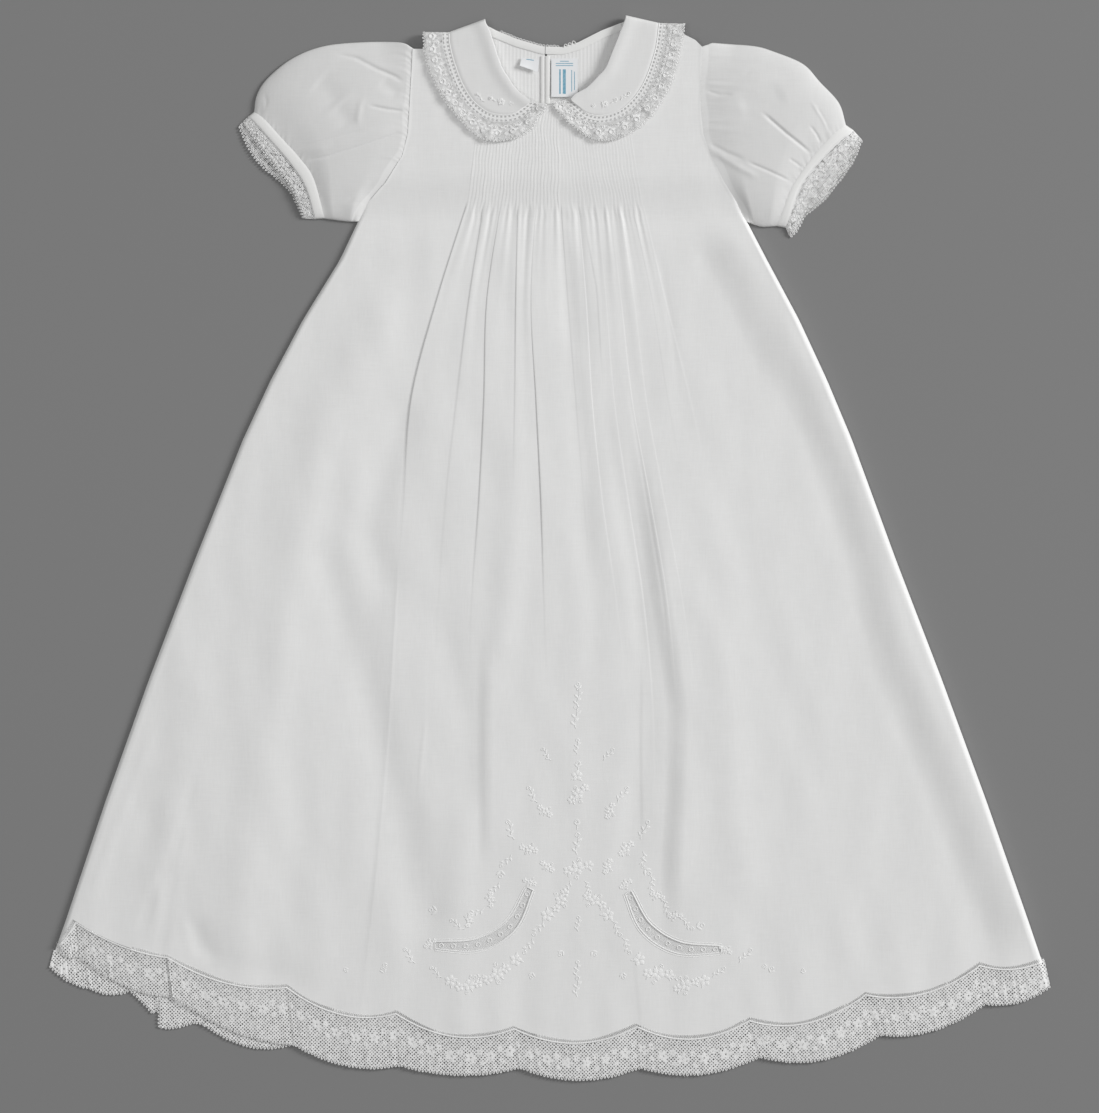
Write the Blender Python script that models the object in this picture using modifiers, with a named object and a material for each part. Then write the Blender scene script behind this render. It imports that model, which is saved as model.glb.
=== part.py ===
"""Christening gown laid flat with its front up: pintucked body, puffed sleeves, round collar, lace hem.

Every table is in millimetres, with X to the right, Y towards the neck and Z up from the surface that the
gown lies on. Cloth pieces are walls about 1 mm thick, and neighbours stand 0.3 mm apart at their seams.
"""
import math
from bisect import bisect_right

import bmesh
import bpy
from mathutils import Vector

MM = 0.001
SEAM = 0.3              # clearance between pieces that are sewn together
CLOTH = 1.0             # thickness of every plain cloth wall
OPEN_GAP = 0.3          # least clearance between the front and the back panel

TUCK_COLUMNS = 100      # two columns for each of the 50 pintucks
TUCK_HEIGHT = 0.6
INNER_STEP = 4          # the plain inside of the front keeps every fourth tuck column

COLLAR_BACK_Z = 0.5     # middle of the collar wall that lies under the back
BACK_RISE = 1.8         # the back panel clears the collar and the buttons under it
FRONT_RISE = 3.1        # the front panel clears the labels and the binding inside the neck
COLLAR_FRONT_Z = 6.8    # middle of the collar wall that lies on the front
COLLAR_ROLL = 2.0       # how much the roll at the neck stands above the flat of the collar
BACK_RAMP = ((222.3, 0.0), (274.0, 1.0))      # (y, share of the rise)
FRONT_RAMP = ((211.3, 0.0), (243.8, 1.0))

# ---------------------------------------------------------------- outline of the body
# Side seams and armholes as (y, x), from the hem to the shoulder.
LEFT_SIDE = ((-271.7, -325.0), (-242.5, -314.6), (-164.5, -288.6), (-86.5, -260.7), (-8.5, -230.8),
             (69.6, -199.6), (108.6, -181.4), (147.6, -160.6), (186.6, -136.5), (211.3, -124.8))
RIGHT_SIDE = ((-284.7, 325.0), (-242.5, 310.7), (-164.5, 283.4), (-86.5, 254.8), (-8.5, 224.9),
              (69.6, 196.3), (108.6, 180.0), (147.6, 161.9), (186.6, 141.0), (211.3, 128.1))
LEFT_ARMHOLE = ((211.3, -124.8), (223.0, -119.0), (236.6, -106.6), (254.2, -95.6), (267.8, -92.3),
                (287.3, -91.0), (310.1, -89.7), (323.1, -89.1))
RIGHT_ARMHOLE = ((211.3, 128.1), (224.3, 120.9), (237.9, 112.5), (254.2, 104.0), (267.8, 99.5),
                 (287.3, 97.5), (310.1, 98.2), (324.4, 98.8))
# Seams along the top edge as (x, y), from the left armhole to the right one.
LEFT_SHOULDER = ((-89.1, 323.1), (-80.6, 323.1), (-42.2, 339.3))
RIGHT_SHOULDER = ((48.8, 341.3), (86.5, 332.8), (94.3, 328.9), (98.8, 324.4))
FRONT_NECK = ((-42.2, 339.3), (-39.0, 331.0), (-36.4, 323.0), (-32.5, 312.5), (-26.7, 302.5), (-20.8, 295.0),
              (-13.7, 289.3), (-2.6, 287.5), (5.0, 288.0), (16.9, 293.5), (23.4, 297.0), (28.6, 302.0),
              (35.8, 310.0), (40.3, 320.0), (44.9, 331.5), (48.8, 341.3))
BACK_NECK = ((-42.2, 339.3), (-35.0, 335.4), (-20.8, 329.6), (-4.5, 325.0), (7.8, 324.6), (18.2, 327.6),
             (33.2, 335.2), (48.8, 341.3))
# Rows of the body: heights across the yoke, then shares of the way down each column to the hem.
YOKE_LEVELS = (274.0, 258.0, 243.8, 232.0, 222.3, 211.3)
SKIRT_SHARES = (0.04, 0.1, 0.18, 0.28, 0.39, 0.51, 0.63, 0.75, 0.86, 0.94)
SIDE_SHARES = (0.0, 0.06, 0.165, 0.27, 0.376, 0.508, 0.637, 0.769, 0.888)   # columns outside the tucks

# Hem scallops of the front: the point between two scallops on the cloth edge, the same point on the lace
# edge, and how far the next scallop sags below its chord on the cloth and on the lace.
SCALLOPS = (
    # cloth x, cloth y, lace x, lace y, cloth sag, lace sag
    (-321.0, -260.0, -318.0, -262.0, 2.0, 3.0),
    (-308.0, -243.5, -305.5, -264.5, 4.0, 7.0),
    (-248.3, -266.5, -244.0, -291.0, 7.0, 7.0),
    (-171.0, -286.0, -166.0, -322.5, 9.0, 7.0),
    (-100.1, -302.9, -97.5, -336.0, 10.0, 5.5),
    (-23.4, -312.7, -19.5, -337.5, 10.0, 8.0),
    (56.6, -311.4, 58.5, -337.4, 10.0, 8.0),
    (129.3, -307.4, 136.5, -330.2, 10.0, 9.5),
    (204.8, -290.6, 214.5, -316.0, 9.0, 7.5),
    (278.9, -271.7, 282.8, -295.8, 4.0, 5.0),
    (321.5, -268.5, 325.0, -284.7, 0.0, 0.0),
)
# The back hem hangs a little lower on the left and meets the front's line at the middle.
BACK_SCALLOPS = (
    (-322.5, -262.0, -325.0, -271.7, 3.0, 3.0),
    (-306.0, -252.0, -299.0, -286.0, 5.0, 3.0),
    (-268.4, -263.9, -274.0, -288.0, 6.0, 6.0),
    (-216.5, -284.7, -224.0, -310.0, 8.0, 8.0),
    (-158.6, -296.4, -165.7, -322.0, 8.0, 8.0),
    (-87.8, -308.1, -91.6, -333.5, 9.0, 5.0),
    (-21.4, -311.5, -19.5, -336.0, 9.0, 7.0),
    (58.5, -310.4, 58.5, -336.0, 9.0, 7.0),
    (129.3, -306.4, 136.5, -328.7, 9.0, 8.0),
    (204.8, -289.6, 214.5, -314.0, 8.0, 6.0),
    (278.9, -270.7, 282.8, -293.8, 3.0, 4.0),
    (321.0, -267.5, 324.0, -283.0, 0.0, 0.0),
)
LACE_GAP = 0.4          # between a scalloped cloth edge and the lace sewn to it
SCALLOP_STEPS = 8       # lace columns in each scallop

# ---------------------------------------------------------------- pleats that fall from the tucks
# Each line follows one pleat down the front: its tuck column, then its x at each level.
PLEAT_LEVELS = (222.3, 160.6, 95.5, 30.6, -34.5, -112.5, -203.5, -319.8)
PLEAT_LINES = (
    (0, (-54.0, -73.5, -90.4, -94.9, -100.1, -104.7, -112.5, -125.5)),
    (10, (-42.9, -52.6, -60.5, -67.6, -72.2, -76.0, -81.9, -91.0)),
    (20, (-31.9, -41.0, -42.9, -46.1, -50.7, -53.3, -55.9, -61.1)),
    (30, (-20.8, -22.1, -22.8, -24.1, -26.0, -29.2, -32.5, -35.1)),
    (40, (-9.1, -12.3, -9.1, -5.9, -3.9, -1.3, 0.0, 1.3)),
    (54, (7.2, 11.7, 16.9, 22.1, 27.3, 31.2, 29.9, 24.7)),
    (62, (18.2, 23.4, 27.3, 33.8, 42.9, 50.7, 52.0, 43.6)),
    (72, (30.6, 36.4, 41.6, 50.7, 60.5, 67.0, 65.7, 53.3)),
    (80, (39.0, 46.1, 53.3, 65.0, 76.0, 81.9, 78.7, 61.8)),
    (86, (45.5, 54.6, 62.4, 74.1, 85.8, 95.5, 100.1, 97.5)),
    (94, (53.3, 66.3, 76.7, 88.4, 98.8, 113.8, 121.5, 130.0)),
    (100, (60.5, 74.8, 91.0, 105.3, 120.2, 139.8, 156.0, 172.2)),
)
# How high each pleat stands at each level: "right" falls away to its right, "left" to its left.
PLEAT_HEIGHTS = (
    # tuck column, side, height at each level
    (0, "right", (0.4, 1.6, 1.6, 1.2, 0.8, 0.5, 0.3, 0.0)),
    (10, "right", (0.4, 1.4, 1.2, 0.9, 0.4, 0.1, 0.0, 0.0)),
    (20, "right", (0.4, 1.8, 1.8, 1.3, 0.6, 0.2, 0.0, 0.0)),
    (30, "right", (0.4, 1.2, 0.9, 0.3, 0.0, 0.0, 0.0, 0.0)),
    (40, "right", (0.5, 1.6, 0.6, 0.0, 0.0, 0.0, 0.0, 0.0)),
    (40, "left", (0.0, 0.0, 1.2, 1.6, 0.8, 0.2, 0.0, 0.0)),
    (62, "right", (0.3, 1.0, 1.0, 0.8, 0.5, 0.2, 0.0, 0.0)),
    (72, "left", (0.2, 0.6, 1.2, 1.4, 1.2, 0.7, 0.2, 0.0)),
    (72, "right", (0.2, 0.6, 1.2, 1.4, 1.2, 0.7, 0.2, 0.0)),
    (86, "left", (0.3, 1.2, 1.4, 1.2, 1.0, 0.7, 0.3, 0.0)),
    (86, "right", (0.3, 1.2, 1.4, 1.2, 1.0, 0.7, 0.3, 0.0)),
    (94, "right", (0.2, 0.6, 0.7, 0.7, 0.6, 0.4, 0.2, 0.0)),
    (100, "left", (0.2, 0.5, 0.5, 0.3, 0.1, 0.0, 0.0, 0.0)),
)
TUCKS_LEFT = (-48.8, 264.6)     # (x, y) where the outermost tucks pass below the collar
TUCKS_RIGHT = (53.3, 264.6)
TUCK_END = 222.3

# Broad folds that lift the front off the back: half width, height and their line in plan.
FOLD_BASE = 1.1
BROAD_FOLDS = (
    (20.0, -1.2, ((106.0, 200.0), (133.2, 148.2), (182.7, 57.2), (215.2, -43.6), (244.4, -132.0),
                  (287.3, -249.0))),
    (16.0, 1.7, ((150.0, 175.0), (186.0, 90.0), (214.0, 40.0), (240.0, -30.0), (272.0, -130.0), (300.0, -215.0))),
    (20.0, 1.3, ((100.0, 120.0), (150.0, 40.0), (175.0, -60.0), (205.0, -170.0), (225.0, -260.0))),
    (16.0, -1.0, ((-148.2, -11.1), (-124.8, -81.9), (-107.2, -141.1), (-80.6, -238.6))),
    (15.0, -0.8, ((-96.2, 82.5), (-119.0, 11.1), (-107.2, -21.4))),
    (22.0, 1.6, ((-110.0, 150.0), (-150.0, 60.0), (-175.0, -60.0), (-190.0, -170.0), (-205.0, -260.0))),
    (13.0, -0.9, ((-204.8, -2.0), (-224.2, -81.9), (-243.8, -179.4), (-261.3, -250.0))),
    (14.0, 1.2, ((-190.0, 40.0), (-238.0, -80.0), (-268.0, -190.0), (-284.0, -245.0))),
    (14.0, 1.0, ((-13.0, 63.1), (-18.2, -8.5), (-22.8, -81.2), (-33.8, -197.0))),
    (14.0, -0.8, ((-65.7, -46.1), (-48.8, -80.0), (-39.0, -117.0), (-40.3, -164.5))),
    (14.0, 1.0, ((93.6, -31.2), (111.8, -72.8), (120.2, -140.4), (124.8, -216.5))),
    (14.0, -1.1, ((65.0, 95.0), (65.0, -34.5), (66.3, -99.5), (55.9, -164.5), (48.8, -203.5))),
    (16.0, 1.0, ((-60.0, -170.0), (-62.0, -250.0), (-60.0, -305.0))),
    (14.0, -0.8, ((-247.0, -245.7), (-208.0, -269.8), (-169.0, -280.2))),
)
FOLD_LIMIT = 3.4        # keeps the space between the panels under 4 mm
FOLD_BACKING = 1.4      # extra wall under a broad fold, so that little space is left below it
FLAT_EDGE = 22.0        # the folds die out within this distance of the side seams

# ---------------------------------------------------------------- sleeves
# Outline of a sleeve: over the top from shoulder to cuff, under it from underarm to cuff.
LEFT_SLEEVE_TOP = ((-89.4, 323.4), (-93.1, 326.3), (-100.1, 327.8), (-119.1, 328.2), (-146.4, 325.7),
                   (-167.1, 317.9), (-183.4, 304.9), (-190.5, 293.8), (-192.4, 282.8))
LEFT_SLEEVE_UNDER = ((-125.3, 211.3), (-131.3, 211.2), (-142.3, 212.6), (-146.2, 213.2))
RIGHT_SLEEVE_TOP = ((99.1, 324.8), (103.4, 326.3), (107.1, 327.1), (131.7, 325.7), (145.4, 322.0),
                    (164.5, 313.9), (175.5, 302.2), (187.8, 288.6), (192.4, 274.3))
RIGHT_SLEEVE_UNDER = ((128.6, 211.0), (137.2, 208.0), (147.6, 208.3))
# Lines across a sleeve's end, from its top to its underside: cuff seam, band edge and lace edges.
LEFT_CUFF = ((-192.4, 282.8), (-185.9, 278.2), (-175.2, 266.6), (-162.8, 252.9), (-153.4, 239.2), (-146.2, 213.2))
LEFT_BAND = ((-195.7, 280.2), (-191.1, 275.6), (-180.1, 263.2), (-167.7, 248.6), (-158.3, 234.0), (-152.1, 212.9))
LEFT_LACE_OVER = ((-198.2, 274.9), (-192.4, 267.8), (-185.9, 258.1), (-176.8, 246.3), (-167.7, 234.7),
                  (-162.5, 223.6), (-158.6, 212.9))
LEFT_LACE_UNDER = ((-201.5, 273.7), (-195.7, 260.7), (-187.8, 249.2), (-176.8, 239.8), (-167.7, 230.8),
                   (-163.2, 221.7), (-159.2, 212.9))
RIGHT_CUFF = ((192.4, 274.3), (184.0, 267.8), (171.0, 253.9), (161.6, 240.9), (156.0, 231.6), (147.6, 208.3))
RIGHT_BAND = ((197.0, 271.1), (185.9, 262.2), (174.6, 250.2), (165.3, 239.0), (159.7, 227.9), (153.2, 207.3))
RIGHT_LACE_UNDER = ((202.2, 264.6), (195.9, 250.2), (186.6, 237.2), (177.4, 226.0), (169.9, 219.5),
                    (165.3, 215.8), (159.7, 205.6), (155.3, 201.8))
RIGHT_LACE_OVER = ((200.6, 265.4), (193.0, 252.8), (184.0, 240.2), (174.4, 228.4), (166.6, 221.0),
                   (162.0, 213.0), (157.5, 206.0), (154.6, 203.2))
SLEEVE_HOLLOW = 3.5     # rise of the sleeve's inside between its two layers
SLEEVE_CROWN = 1.6      # extra thickness of the puff's top
CAP_GATHERS = 12
CUFF_GATHERS = 8
GATHER_HEIGHT = 0.5
CUFF_HOLLOW = 2.0
FRILL_WAVE = 1.0
EDGE_INSET = 1.2        # wall thickness where a flattened tube folds over
ARMHOLE_GAP = 0.5       # the sleeve's finer edge stays clear of the body's armhole
SLEEVE_COLUMNS = 24     # the sleeve, its band and its frill share their columns
TUBE_FLOOR = (0.98, 0.91, 0.83, 0.75, 0.65, 0.5, 0.3, 0.02)    # columns of a tube's lower layer

# ---------------------------------------------------------------- collar
# Stations of a collar half: the roll at the neck, the cloth's edge and the lace's edge.
LEFT_COLLAR_FRONT = (
    # roll x, roll y, cloth x, cloth y, lace x, lace y
    (-13.0, 289.6, -12.7, 288.3, -2.6, 287.9),
    (-16.2, 291.9, -17.6, 284.7, -7.8, 279.5),
    (-20.2, 295.1, -23.4, 281.1, -16.9, 268.4),
    (-24.1, 299.7, -32.5, 280.2, -32.5, 264.2),
    (-27.3, 304.9, -41.0, 282.3, -46.1, 266.8),
    (-30.6, 310.1, -49.7, 289.2, -59.1, 279.5),
    (-33.1, 316.6, -56.6, 299.7, -68.9, 291.9),
    (-36.1, 325.7, -61.9, 313.3, -77.0, 308.4),
    (-39.0, 334.8, -65.0, 325.7, -80.6, 323.1),
)
LEFT_COLLAR_FOLD = (-42.2, 343.2, -66.0, 334.6, -81.6, 334.8)
LEFT_COLLAR_BACK = (
    (-38.4, 336.6, -65.0, 322.0, -80.6, 320.4),
    (-34.5, 334.6, -61.8, 313.0, -76.7, 307.4),
    (-30.6, 333.0, -55.9, 305.2, -67.6, 294.8),
    (-26.7, 331.4, -47.5, 299.7, -55.2, 286.0),
    (-22.8, 329.8, -37.7, 297.1, -40.3, 281.4),
    (-19.5, 328.6, -27.9, 299.0, -24.7, 284.1),
    (-16.9, 327.8, -20.2, 305.5, -13.0, 293.2),
    (-14.3, 327.0, -15.6, 315.2, -8.6, 308.1),
    (-12.0, 326.3, -12.4, 323.0, -8.0, 320.0),
)
RIGHT_COLLAR_FRONT = (
    (13.7, 290.6, 14.0, 289.2, 1.3, 289.6),
    (15.9, 293.2, 18.2, 285.6, 7.2, 281.4),
    (19.5, 295.4, 24.7, 280.8, 17.6, 271.7),
    (23.4, 297.7, 33.8, 279.5, 29.9, 264.9),
    (27.3, 301.3, 43.2, 282.1, 44.9, 266.2),
    (31.2, 305.5, 51.4, 287.9, 59.1, 274.6),
    (35.8, 310.7, 58.8, 297.4, 70.9, 288.6),
    (40.1, 321.1, 64.4, 309.4, 78.3, 303.6),
    (45.1, 333.4, 68.8, 324.4, 82.5, 320.4),
)
RIGHT_COLLAR_FOLD = (49.1, 345.6, 71.0, 340.6, 86.5, 340.2)
RIGHT_COLLAR_BACK = (
    (44.2, 338.8, 68.9, 325.6, 82.5, 321.7),
    (39.6, 337.0, 65.0, 316.2, 76.7, 309.1),
    (35.8, 335.2, 57.9, 308.1, 67.6, 297.1),
    (31.9, 333.4, 49.4, 301.6, 55.9, 287.9),
    (27.9, 331.6, 39.6, 298.4, 41.0, 283.4),
    (24.1, 329.6, 29.9, 300.3, 26.0, 285.4),
    (20.8, 328.0, 22.1, 306.8, 14.3, 295.1),
    (17.6, 326.4, 16.9, 315.9, 9.0, 309.4),
    (14.3, 325.6, 14.0, 323.4, 9.0, 320.0),
)
COLLAR_ACROSS = (0.0, 0.1, 0.24, 0.45, 0.72, 1.0)   # columns from the roll to the cloth's edge
FOLD_ANGLES = (0.0, 45.0, 90.0, 135.0, 180.0)       # round the shoulder fold, from above to below
COLLAR_WAVE = 0.45      # ruffle of the collar lace
LACE_STATIONS = 2       # lace rows for each collar station, so that the ruffles have a shape

# ---------------------------------------------------------------- trims inside the neck
SLIT_X = -3.0
SLIT_WIDTH = 0.8
SLIT_END = 262.0
PLACKET_WIDTH = 3.0
PLACKET_END = 264.0
BINDING_WIDTH = 7.0
LABEL_MAIN = ((0.9, 292.0), (18.0, 292.0), (18.0, 317.0), (0.9, 317.0))
LABEL_SIZE = ((-19.6, 312.2), (-7.9, 308.2), (-6.9, 316.2), (-18.4, 317.6))
BUTTON_RADIUS = 4.0
BUTTON_THICKNESS = 1.5
BUTTONS = (("button_top", (-3.0, 316.0)), ("button_low", (-3.0, 280.0)))

# ---------------------------------------------------------------- crescent insertions
LEFT_CRESCENT = ((-13.0, -221.7), (-25.4, -245.7), (-46.8, -258.1), (-74.8, -258.7))
RIGHT_CRESCENT = ((50.7, -224.2), (62.4, -247.0), (83.2, -260.0), (111.2, -261.3))
CRESCENT_WIDTH = 8.0
CRESCENT_STEPS = 12

# name: colour, roughness
FINISHES = {
    "batiste": ((0.80, 0.80, 0.79, 1.0), 0.85),
    "lace": ((0.84, 0.84, 0.83, 1.0), 0.80),
    "binding": ((0.82, 0.82, 0.80, 1.0), 0.75),
    "label": ((0.86, 0.87, 0.88, 1.0), 0.55),
    "pearl": ((0.85, 0.83, 0.79, 1.0), 0.25),
}


# ---------------------------------------------------------------- curves
def value_at(table, key):
    """Linear interpolation in a table of (key, value), held flat beyond its ends."""
    keys = [row[0] for row in table]
    if key <= keys[0]:
        return table[0][1]
    if key >= keys[-1]:
        return table[-1][1]
    i = bisect_right(keys, key) - 1
    share = (key - keys[i]) / (keys[i + 1] - keys[i])
    return table[i][1] + share * (table[i + 1][1] - table[i][1])


def mix(a, b, share):
    """Point between two tuples of numbers."""
    return tuple(p + share * (q - p) for p, q in zip(a, b))


def along(points, share):
    """Point at a share of a polyline's length."""
    lengths = [math.dist(p, q) for p, q in zip(points, points[1:])]
    left = max(0.0, min(1.0, share)) * sum(lengths)
    for p, q, length in zip(points, points[1:], lengths):
        if left <= length:
            return mix(p, q, left / length)
        left -= length
    return points[-1]


def catmull(points, count):
    """Smooth curve through points, read at count places."""
    ends = [mix(points[1], points[0], 2.0), *points, mix(points[-2], points[-1], 2.0)]
    curve = []
    for step in range(count):
        where = step / (count - 1) * (len(points) - 1)
        i = min(int(where), len(points) - 2)
        t = where - i
        a, b, c, d = ends[i:i + 4]
        curve.append(tuple(
            0.5 * (2 * q + (r - p) * t + (2 * p - 5 * q + 4 * r - s) * t ** 2 + (3 * q - p - 3 * r + s) * t ** 3)
            for p, q, r, s in zip(a, b, c, d)))
    return curve


def sideways(points):
    """Unit vectors to the left of a plane polyline at each of its points."""
    normals = []
    for i in range(len(points)):
        a = points[max(i - 1, 0)]
        b = points[min(i + 1, len(points) - 1)]
        length = math.dist(a, b)
        normals.append((-(b[1] - a[1]) / length, (b[0] - a[0]) / length))
    return normals


def shifted(points, distance):
    """Polyline moved sideways by a distance, to the left of its direction."""
    return [(p[0] + n[0] * distance, p[1] + n[1] * distance) for p, n in zip(points, sideways(points))]


def smooth(share):
    """Ease from 0 to 1."""
    share = max(0.0, min(1.0, share))
    return share * share * (3.0 - 2.0 * share)


# ---------------------------------------------------------------- meshes
def zip_runs(bm, first, second):
    """Join two edge runs of (parameter, vertex) with triangles, in the order of their parameters."""
    i = j = 0
    while i < len(first) - 1 or j < len(second) - 1:
        take_first = j == len(second) - 1 or (i < len(first) - 1 and first[i + 1][0] <= second[j + 1][0])
        if take_first:
            bm.faces.new((first[i][1], first[i + 1][1], second[j][1]))
            i += 1
        else:
            bm.faces.new((first[i][1], second[j + 1][1], second[j][1]))
            j += 1


def add_grid(bm, rows, closed=False):
    """Add a grid of points as vertices and quads, and return the vertices row by row."""
    verts = [[bm.verts.new(Vector(point) * MM) for point in row] for row in rows]
    for upper, lower in zip(verts, verts[1:]):
        count = len(upper) if closed else len(upper) - 1
        for j in range(count):
            k = (j + 1) % len(upper)
            bm.faces.new((upper[j], upper[k], lower[k], lower[j]))
    return verts


def add_panel(bm, rows, hem):
    """Add a body panel's grid and the strip that joins it to its scalloped hem."""
    verts = add_grid(bm, rows)
    edge = [bm.verts.new(Vector(point) * MM) for point in hem]
    last = [(point[0], vert) for point, vert in zip(rows[-1], verts[-1])]
    zip_runs(bm, last, [(point[0], vert) for point, vert in zip(hem, edge)])
    return verts + [edge]


def material(name, finish):
    """Principled material of one node."""
    colour, roughness = FINISHES[finish]
    made = bpy.data.materials.new(name)
    made.use_nodes = True
    shader = made.node_tree.nodes["Principled BSDF"]
    shader.inputs["Base Color"].default_value = colour
    shader.inputs["Roughness"].default_value = roughness
    shader.inputs["Metallic"].default_value = 0.0
    return made


def add_object(name, bm, finish, collection):
    """Object from a bmesh, with outward faces, smooth shading and its own material."""
    bmesh.ops.recalc_face_normals(bm, faces=bm.faces)
    mesh = bpy.data.meshes.new(name)
    bm.to_mesh(mesh)
    bm.free()
    mesh.shade_smooth()
    mesh.set_sharp_from_angle(angle=math.radians(40.0))
    made = bpy.data.objects.new(name, mesh)
    made.data.materials.append(material(name, finish))
    collection.objects.link(made)
    return made


def add_sheet(name, rows, finish, collection, thickness=CLOTH, hem=None):
    """Cloth of even thickness about a grid of its middle surface."""
    bm = bmesh.new()
    if hem:
        add_panel(bm, rows, hem)
    else:
        add_grid(bm, rows)
    made = add_object(name, bm, finish, collection)
    shell = made.modifiers.new("thickness", "SOLIDIFY")
    shell.thickness = thickness * MM
    shell.offset = 0.0
    return made


def add_tube(name, outer, inner, finish, collection):
    """Flattened tube, open at both ends, from rings of (parameter, point) for its outside and inside."""
    bm = bmesh.new()
    skins = []
    for rings in (outer, inner):
        verts = add_grid(bm, [[point for _, point in ring] for ring in rings], closed=True)
        skins.append([[(place, vert) for (place, _), vert in zip(ring, row)] for ring, row in zip(rings, verts)])
    for end in (0, -1):
        runs = [skin[end] + [(2.0, skin[end][0][1])] for skin in skins]
        zip_runs(bm, *runs)
    return add_object(name, bm, finish, collection)


def add_prism(name, outline, low, high, finish, collection):
    """Upright block on a plane outline."""
    bm = bmesh.new()
    base = bm.faces.new([bm.verts.new(Vector((x, y, low)) * MM) for x, y in outline])
    top = bmesh.ops.extrude_face_region(bm, geom=[base])["geom"]
    bmesh.ops.translate(bm, verts=[v for v in top if isinstance(v, bmesh.types.BMVert)],
                        vec=(0.0, 0.0, (high - low) * MM))
    return add_object(name, bm, finish, collection)


def cut(target, cutter):
    """Boolean difference with a hidden cutter."""
    cutter.hide_render = True
    cutter.display_type = "WIRE"
    hole = target.modifiers.new(cutter.name, "BOOLEAN")
    hole.operation = "DIFFERENCE"
    hole.solver = "EXACT"
    hole.object = cutter


# ---------------------------------------------------------------- surfaces of the body
def left_edge(y):
    """Left outline of the body at a height."""
    return value_at(LEFT_SIDE, y) if y < LEFT_SIDE[-1][0] else value_at(LEFT_ARMHOLE, y)


def right_edge(y):
    """Right outline of the body at a height."""
    return value_at(RIGHT_SIDE, y) if y < RIGHT_SIDE[-1][0] else value_at(RIGHT_ARMHOLE, y)


def fold_height(x, y):
    """Lift of the front off the back by the broad folds."""
    height = FOLD_BASE
    for half_width, rise, line in BROAD_FOLDS:
        nearest = min(segment_distance((x, y), a, b) for a, b in zip(line, line[1:]))
        if nearest < 2.0 * half_width:
            height += rise * math.exp(-(nearest / half_width) ** 2 * 1.5)
    edge = smooth(min(x - left_edge(y), right_edge(y) - x) / FLAT_EDGE)
    below_yoke = smooth((FRONT_RAMP[0][0] - y) / 40.0)
    return max(0.0, min(FOLD_LIMIT, height)) * edge * below_yoke


def segment_distance(point, a, b):
    """Distance in plan from a point to a segment."""
    run = (b[0] - a[0], b[1] - a[1])
    share = ((point[0] - a[0]) * run[0] + (point[1] - a[1]) * run[1]) / (run[0] ** 2 + run[1] ** 2)
    return math.dist(point, mix(a, b, max(0.0, min(1.0, share))))


def back_bottom(y):
    """Underside of the back panel."""
    return BACK_RISE * value_at(BACK_RAMP, y)


def front_inside(x, y):
    """Inside of the front's cloth, which follows its broad folds."""
    return CLOTH + OPEN_GAP + FRONT_RISE * value_at(FRONT_RAMP, y) + fold_height(x, y)


def front_bottom(x, y):
    """Plain underside of the front's wall, which is thicker under its broad folds."""
    return front_inside(x, y) - min(FOLD_BACKING, fold_height(x, y))


def scallop_edge(table, cloth=True, steps=SCALLOP_STEPS):
    """Scalloped edge as points, from left to right, with sagging arcs between the table's points."""
    at, sag = (0, 4) if cloth else (2, 5)
    points = []
    for row, following in zip(table, table[1:]):
        for step in range(steps):
            share = step / steps
            x, y = mix(row[at:at + 2], following[at:at + 2], share)
            points.append((x, y - row[sag] * 4.0 * share * (1.0 - share)))
    points.append(table[-1][at:at + 2])
    return points


def tuck_x(column, y):
    """Place of a tuck column at a height: on a straight yoke above, along the pleats below."""
    if y >= TUCK_END:
        share = column / TUCK_COLUMNS
        low = PLEAT_LINES[0][1][0] + share * (PLEAT_LINES[-1][1][0] - PLEAT_LINES[0][1][0])
        high = TUCKS_LEFT[0] + share * (TUCKS_RIGHT[0] - TUCKS_LEFT[0])
        return low + (high - low) * (y - TUCK_END) / (TUCKS_LEFT[1] - TUCK_END)
    places = tuple((k, level_value(xs, y)) for k, xs in PLEAT_LINES)
    return value_at(places, column)


def level_value(values, y):
    """Value at a height from one entry for each pleat level."""
    return value_at(tuple(zip(reversed(PLEAT_LEVELS), reversed(values))), y)


def pleat_relief(column, y):
    """Height of the pleats and tucks on the outside of the front, above its plain wall."""
    if y > YOKE_LEVELS[0] + 1.0:
        return 0.0
    if y > TUCK_END - 1.0:
        return TUCK_HEIGHT if column % 2 else 0.0
    marks = [k for k, _ in PLEAT_LINES]
    height = 0.0
    for k, side, heights in PLEAT_HEIGHTS:
        at = marks.index(k)
        if side == "right" and k <= column <= marks[min(at + 1, len(marks) - 1)]:
            span = max(marks[min(at + 1, len(marks) - 1)] - k, 1)
            height = max(height, level_value(heights, y) * (1.0 - (column - k) / span) ** 1.3)
        if side == "left" and marks[max(at - 1, 0)] <= column <= k:
            span = max(k - marks[max(at - 1, 0)], 1)
            height = max(height, level_value(heights, y) * (1.0 - (k - column) / span) ** 1.3)
    return height


def body_columns():
    """Column keys of the front from left to right: ('left', share), ('tuck', number), ('right', share)."""
    left = [("left", share) for share in SIDE_SHARES]
    tucks = [("tuck", k) for k in range(TUCK_COLUMNS + 1)]
    right = [("right", share) for share in reversed(SIDE_SHARES)]
    return left + tucks + right


def column_x(key, y):
    """Place of a column at a height below the neck."""
    zone, where = key
    if zone == "left":
        return left_edge(y) + where * (tuck_x(0, y) - left_edge(y))
    if zone == "right":
        return right_edge(y) + where * (tuck_x(TUCK_COLUMNS, y) - right_edge(y))
    return tuck_x(where, y)


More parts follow.
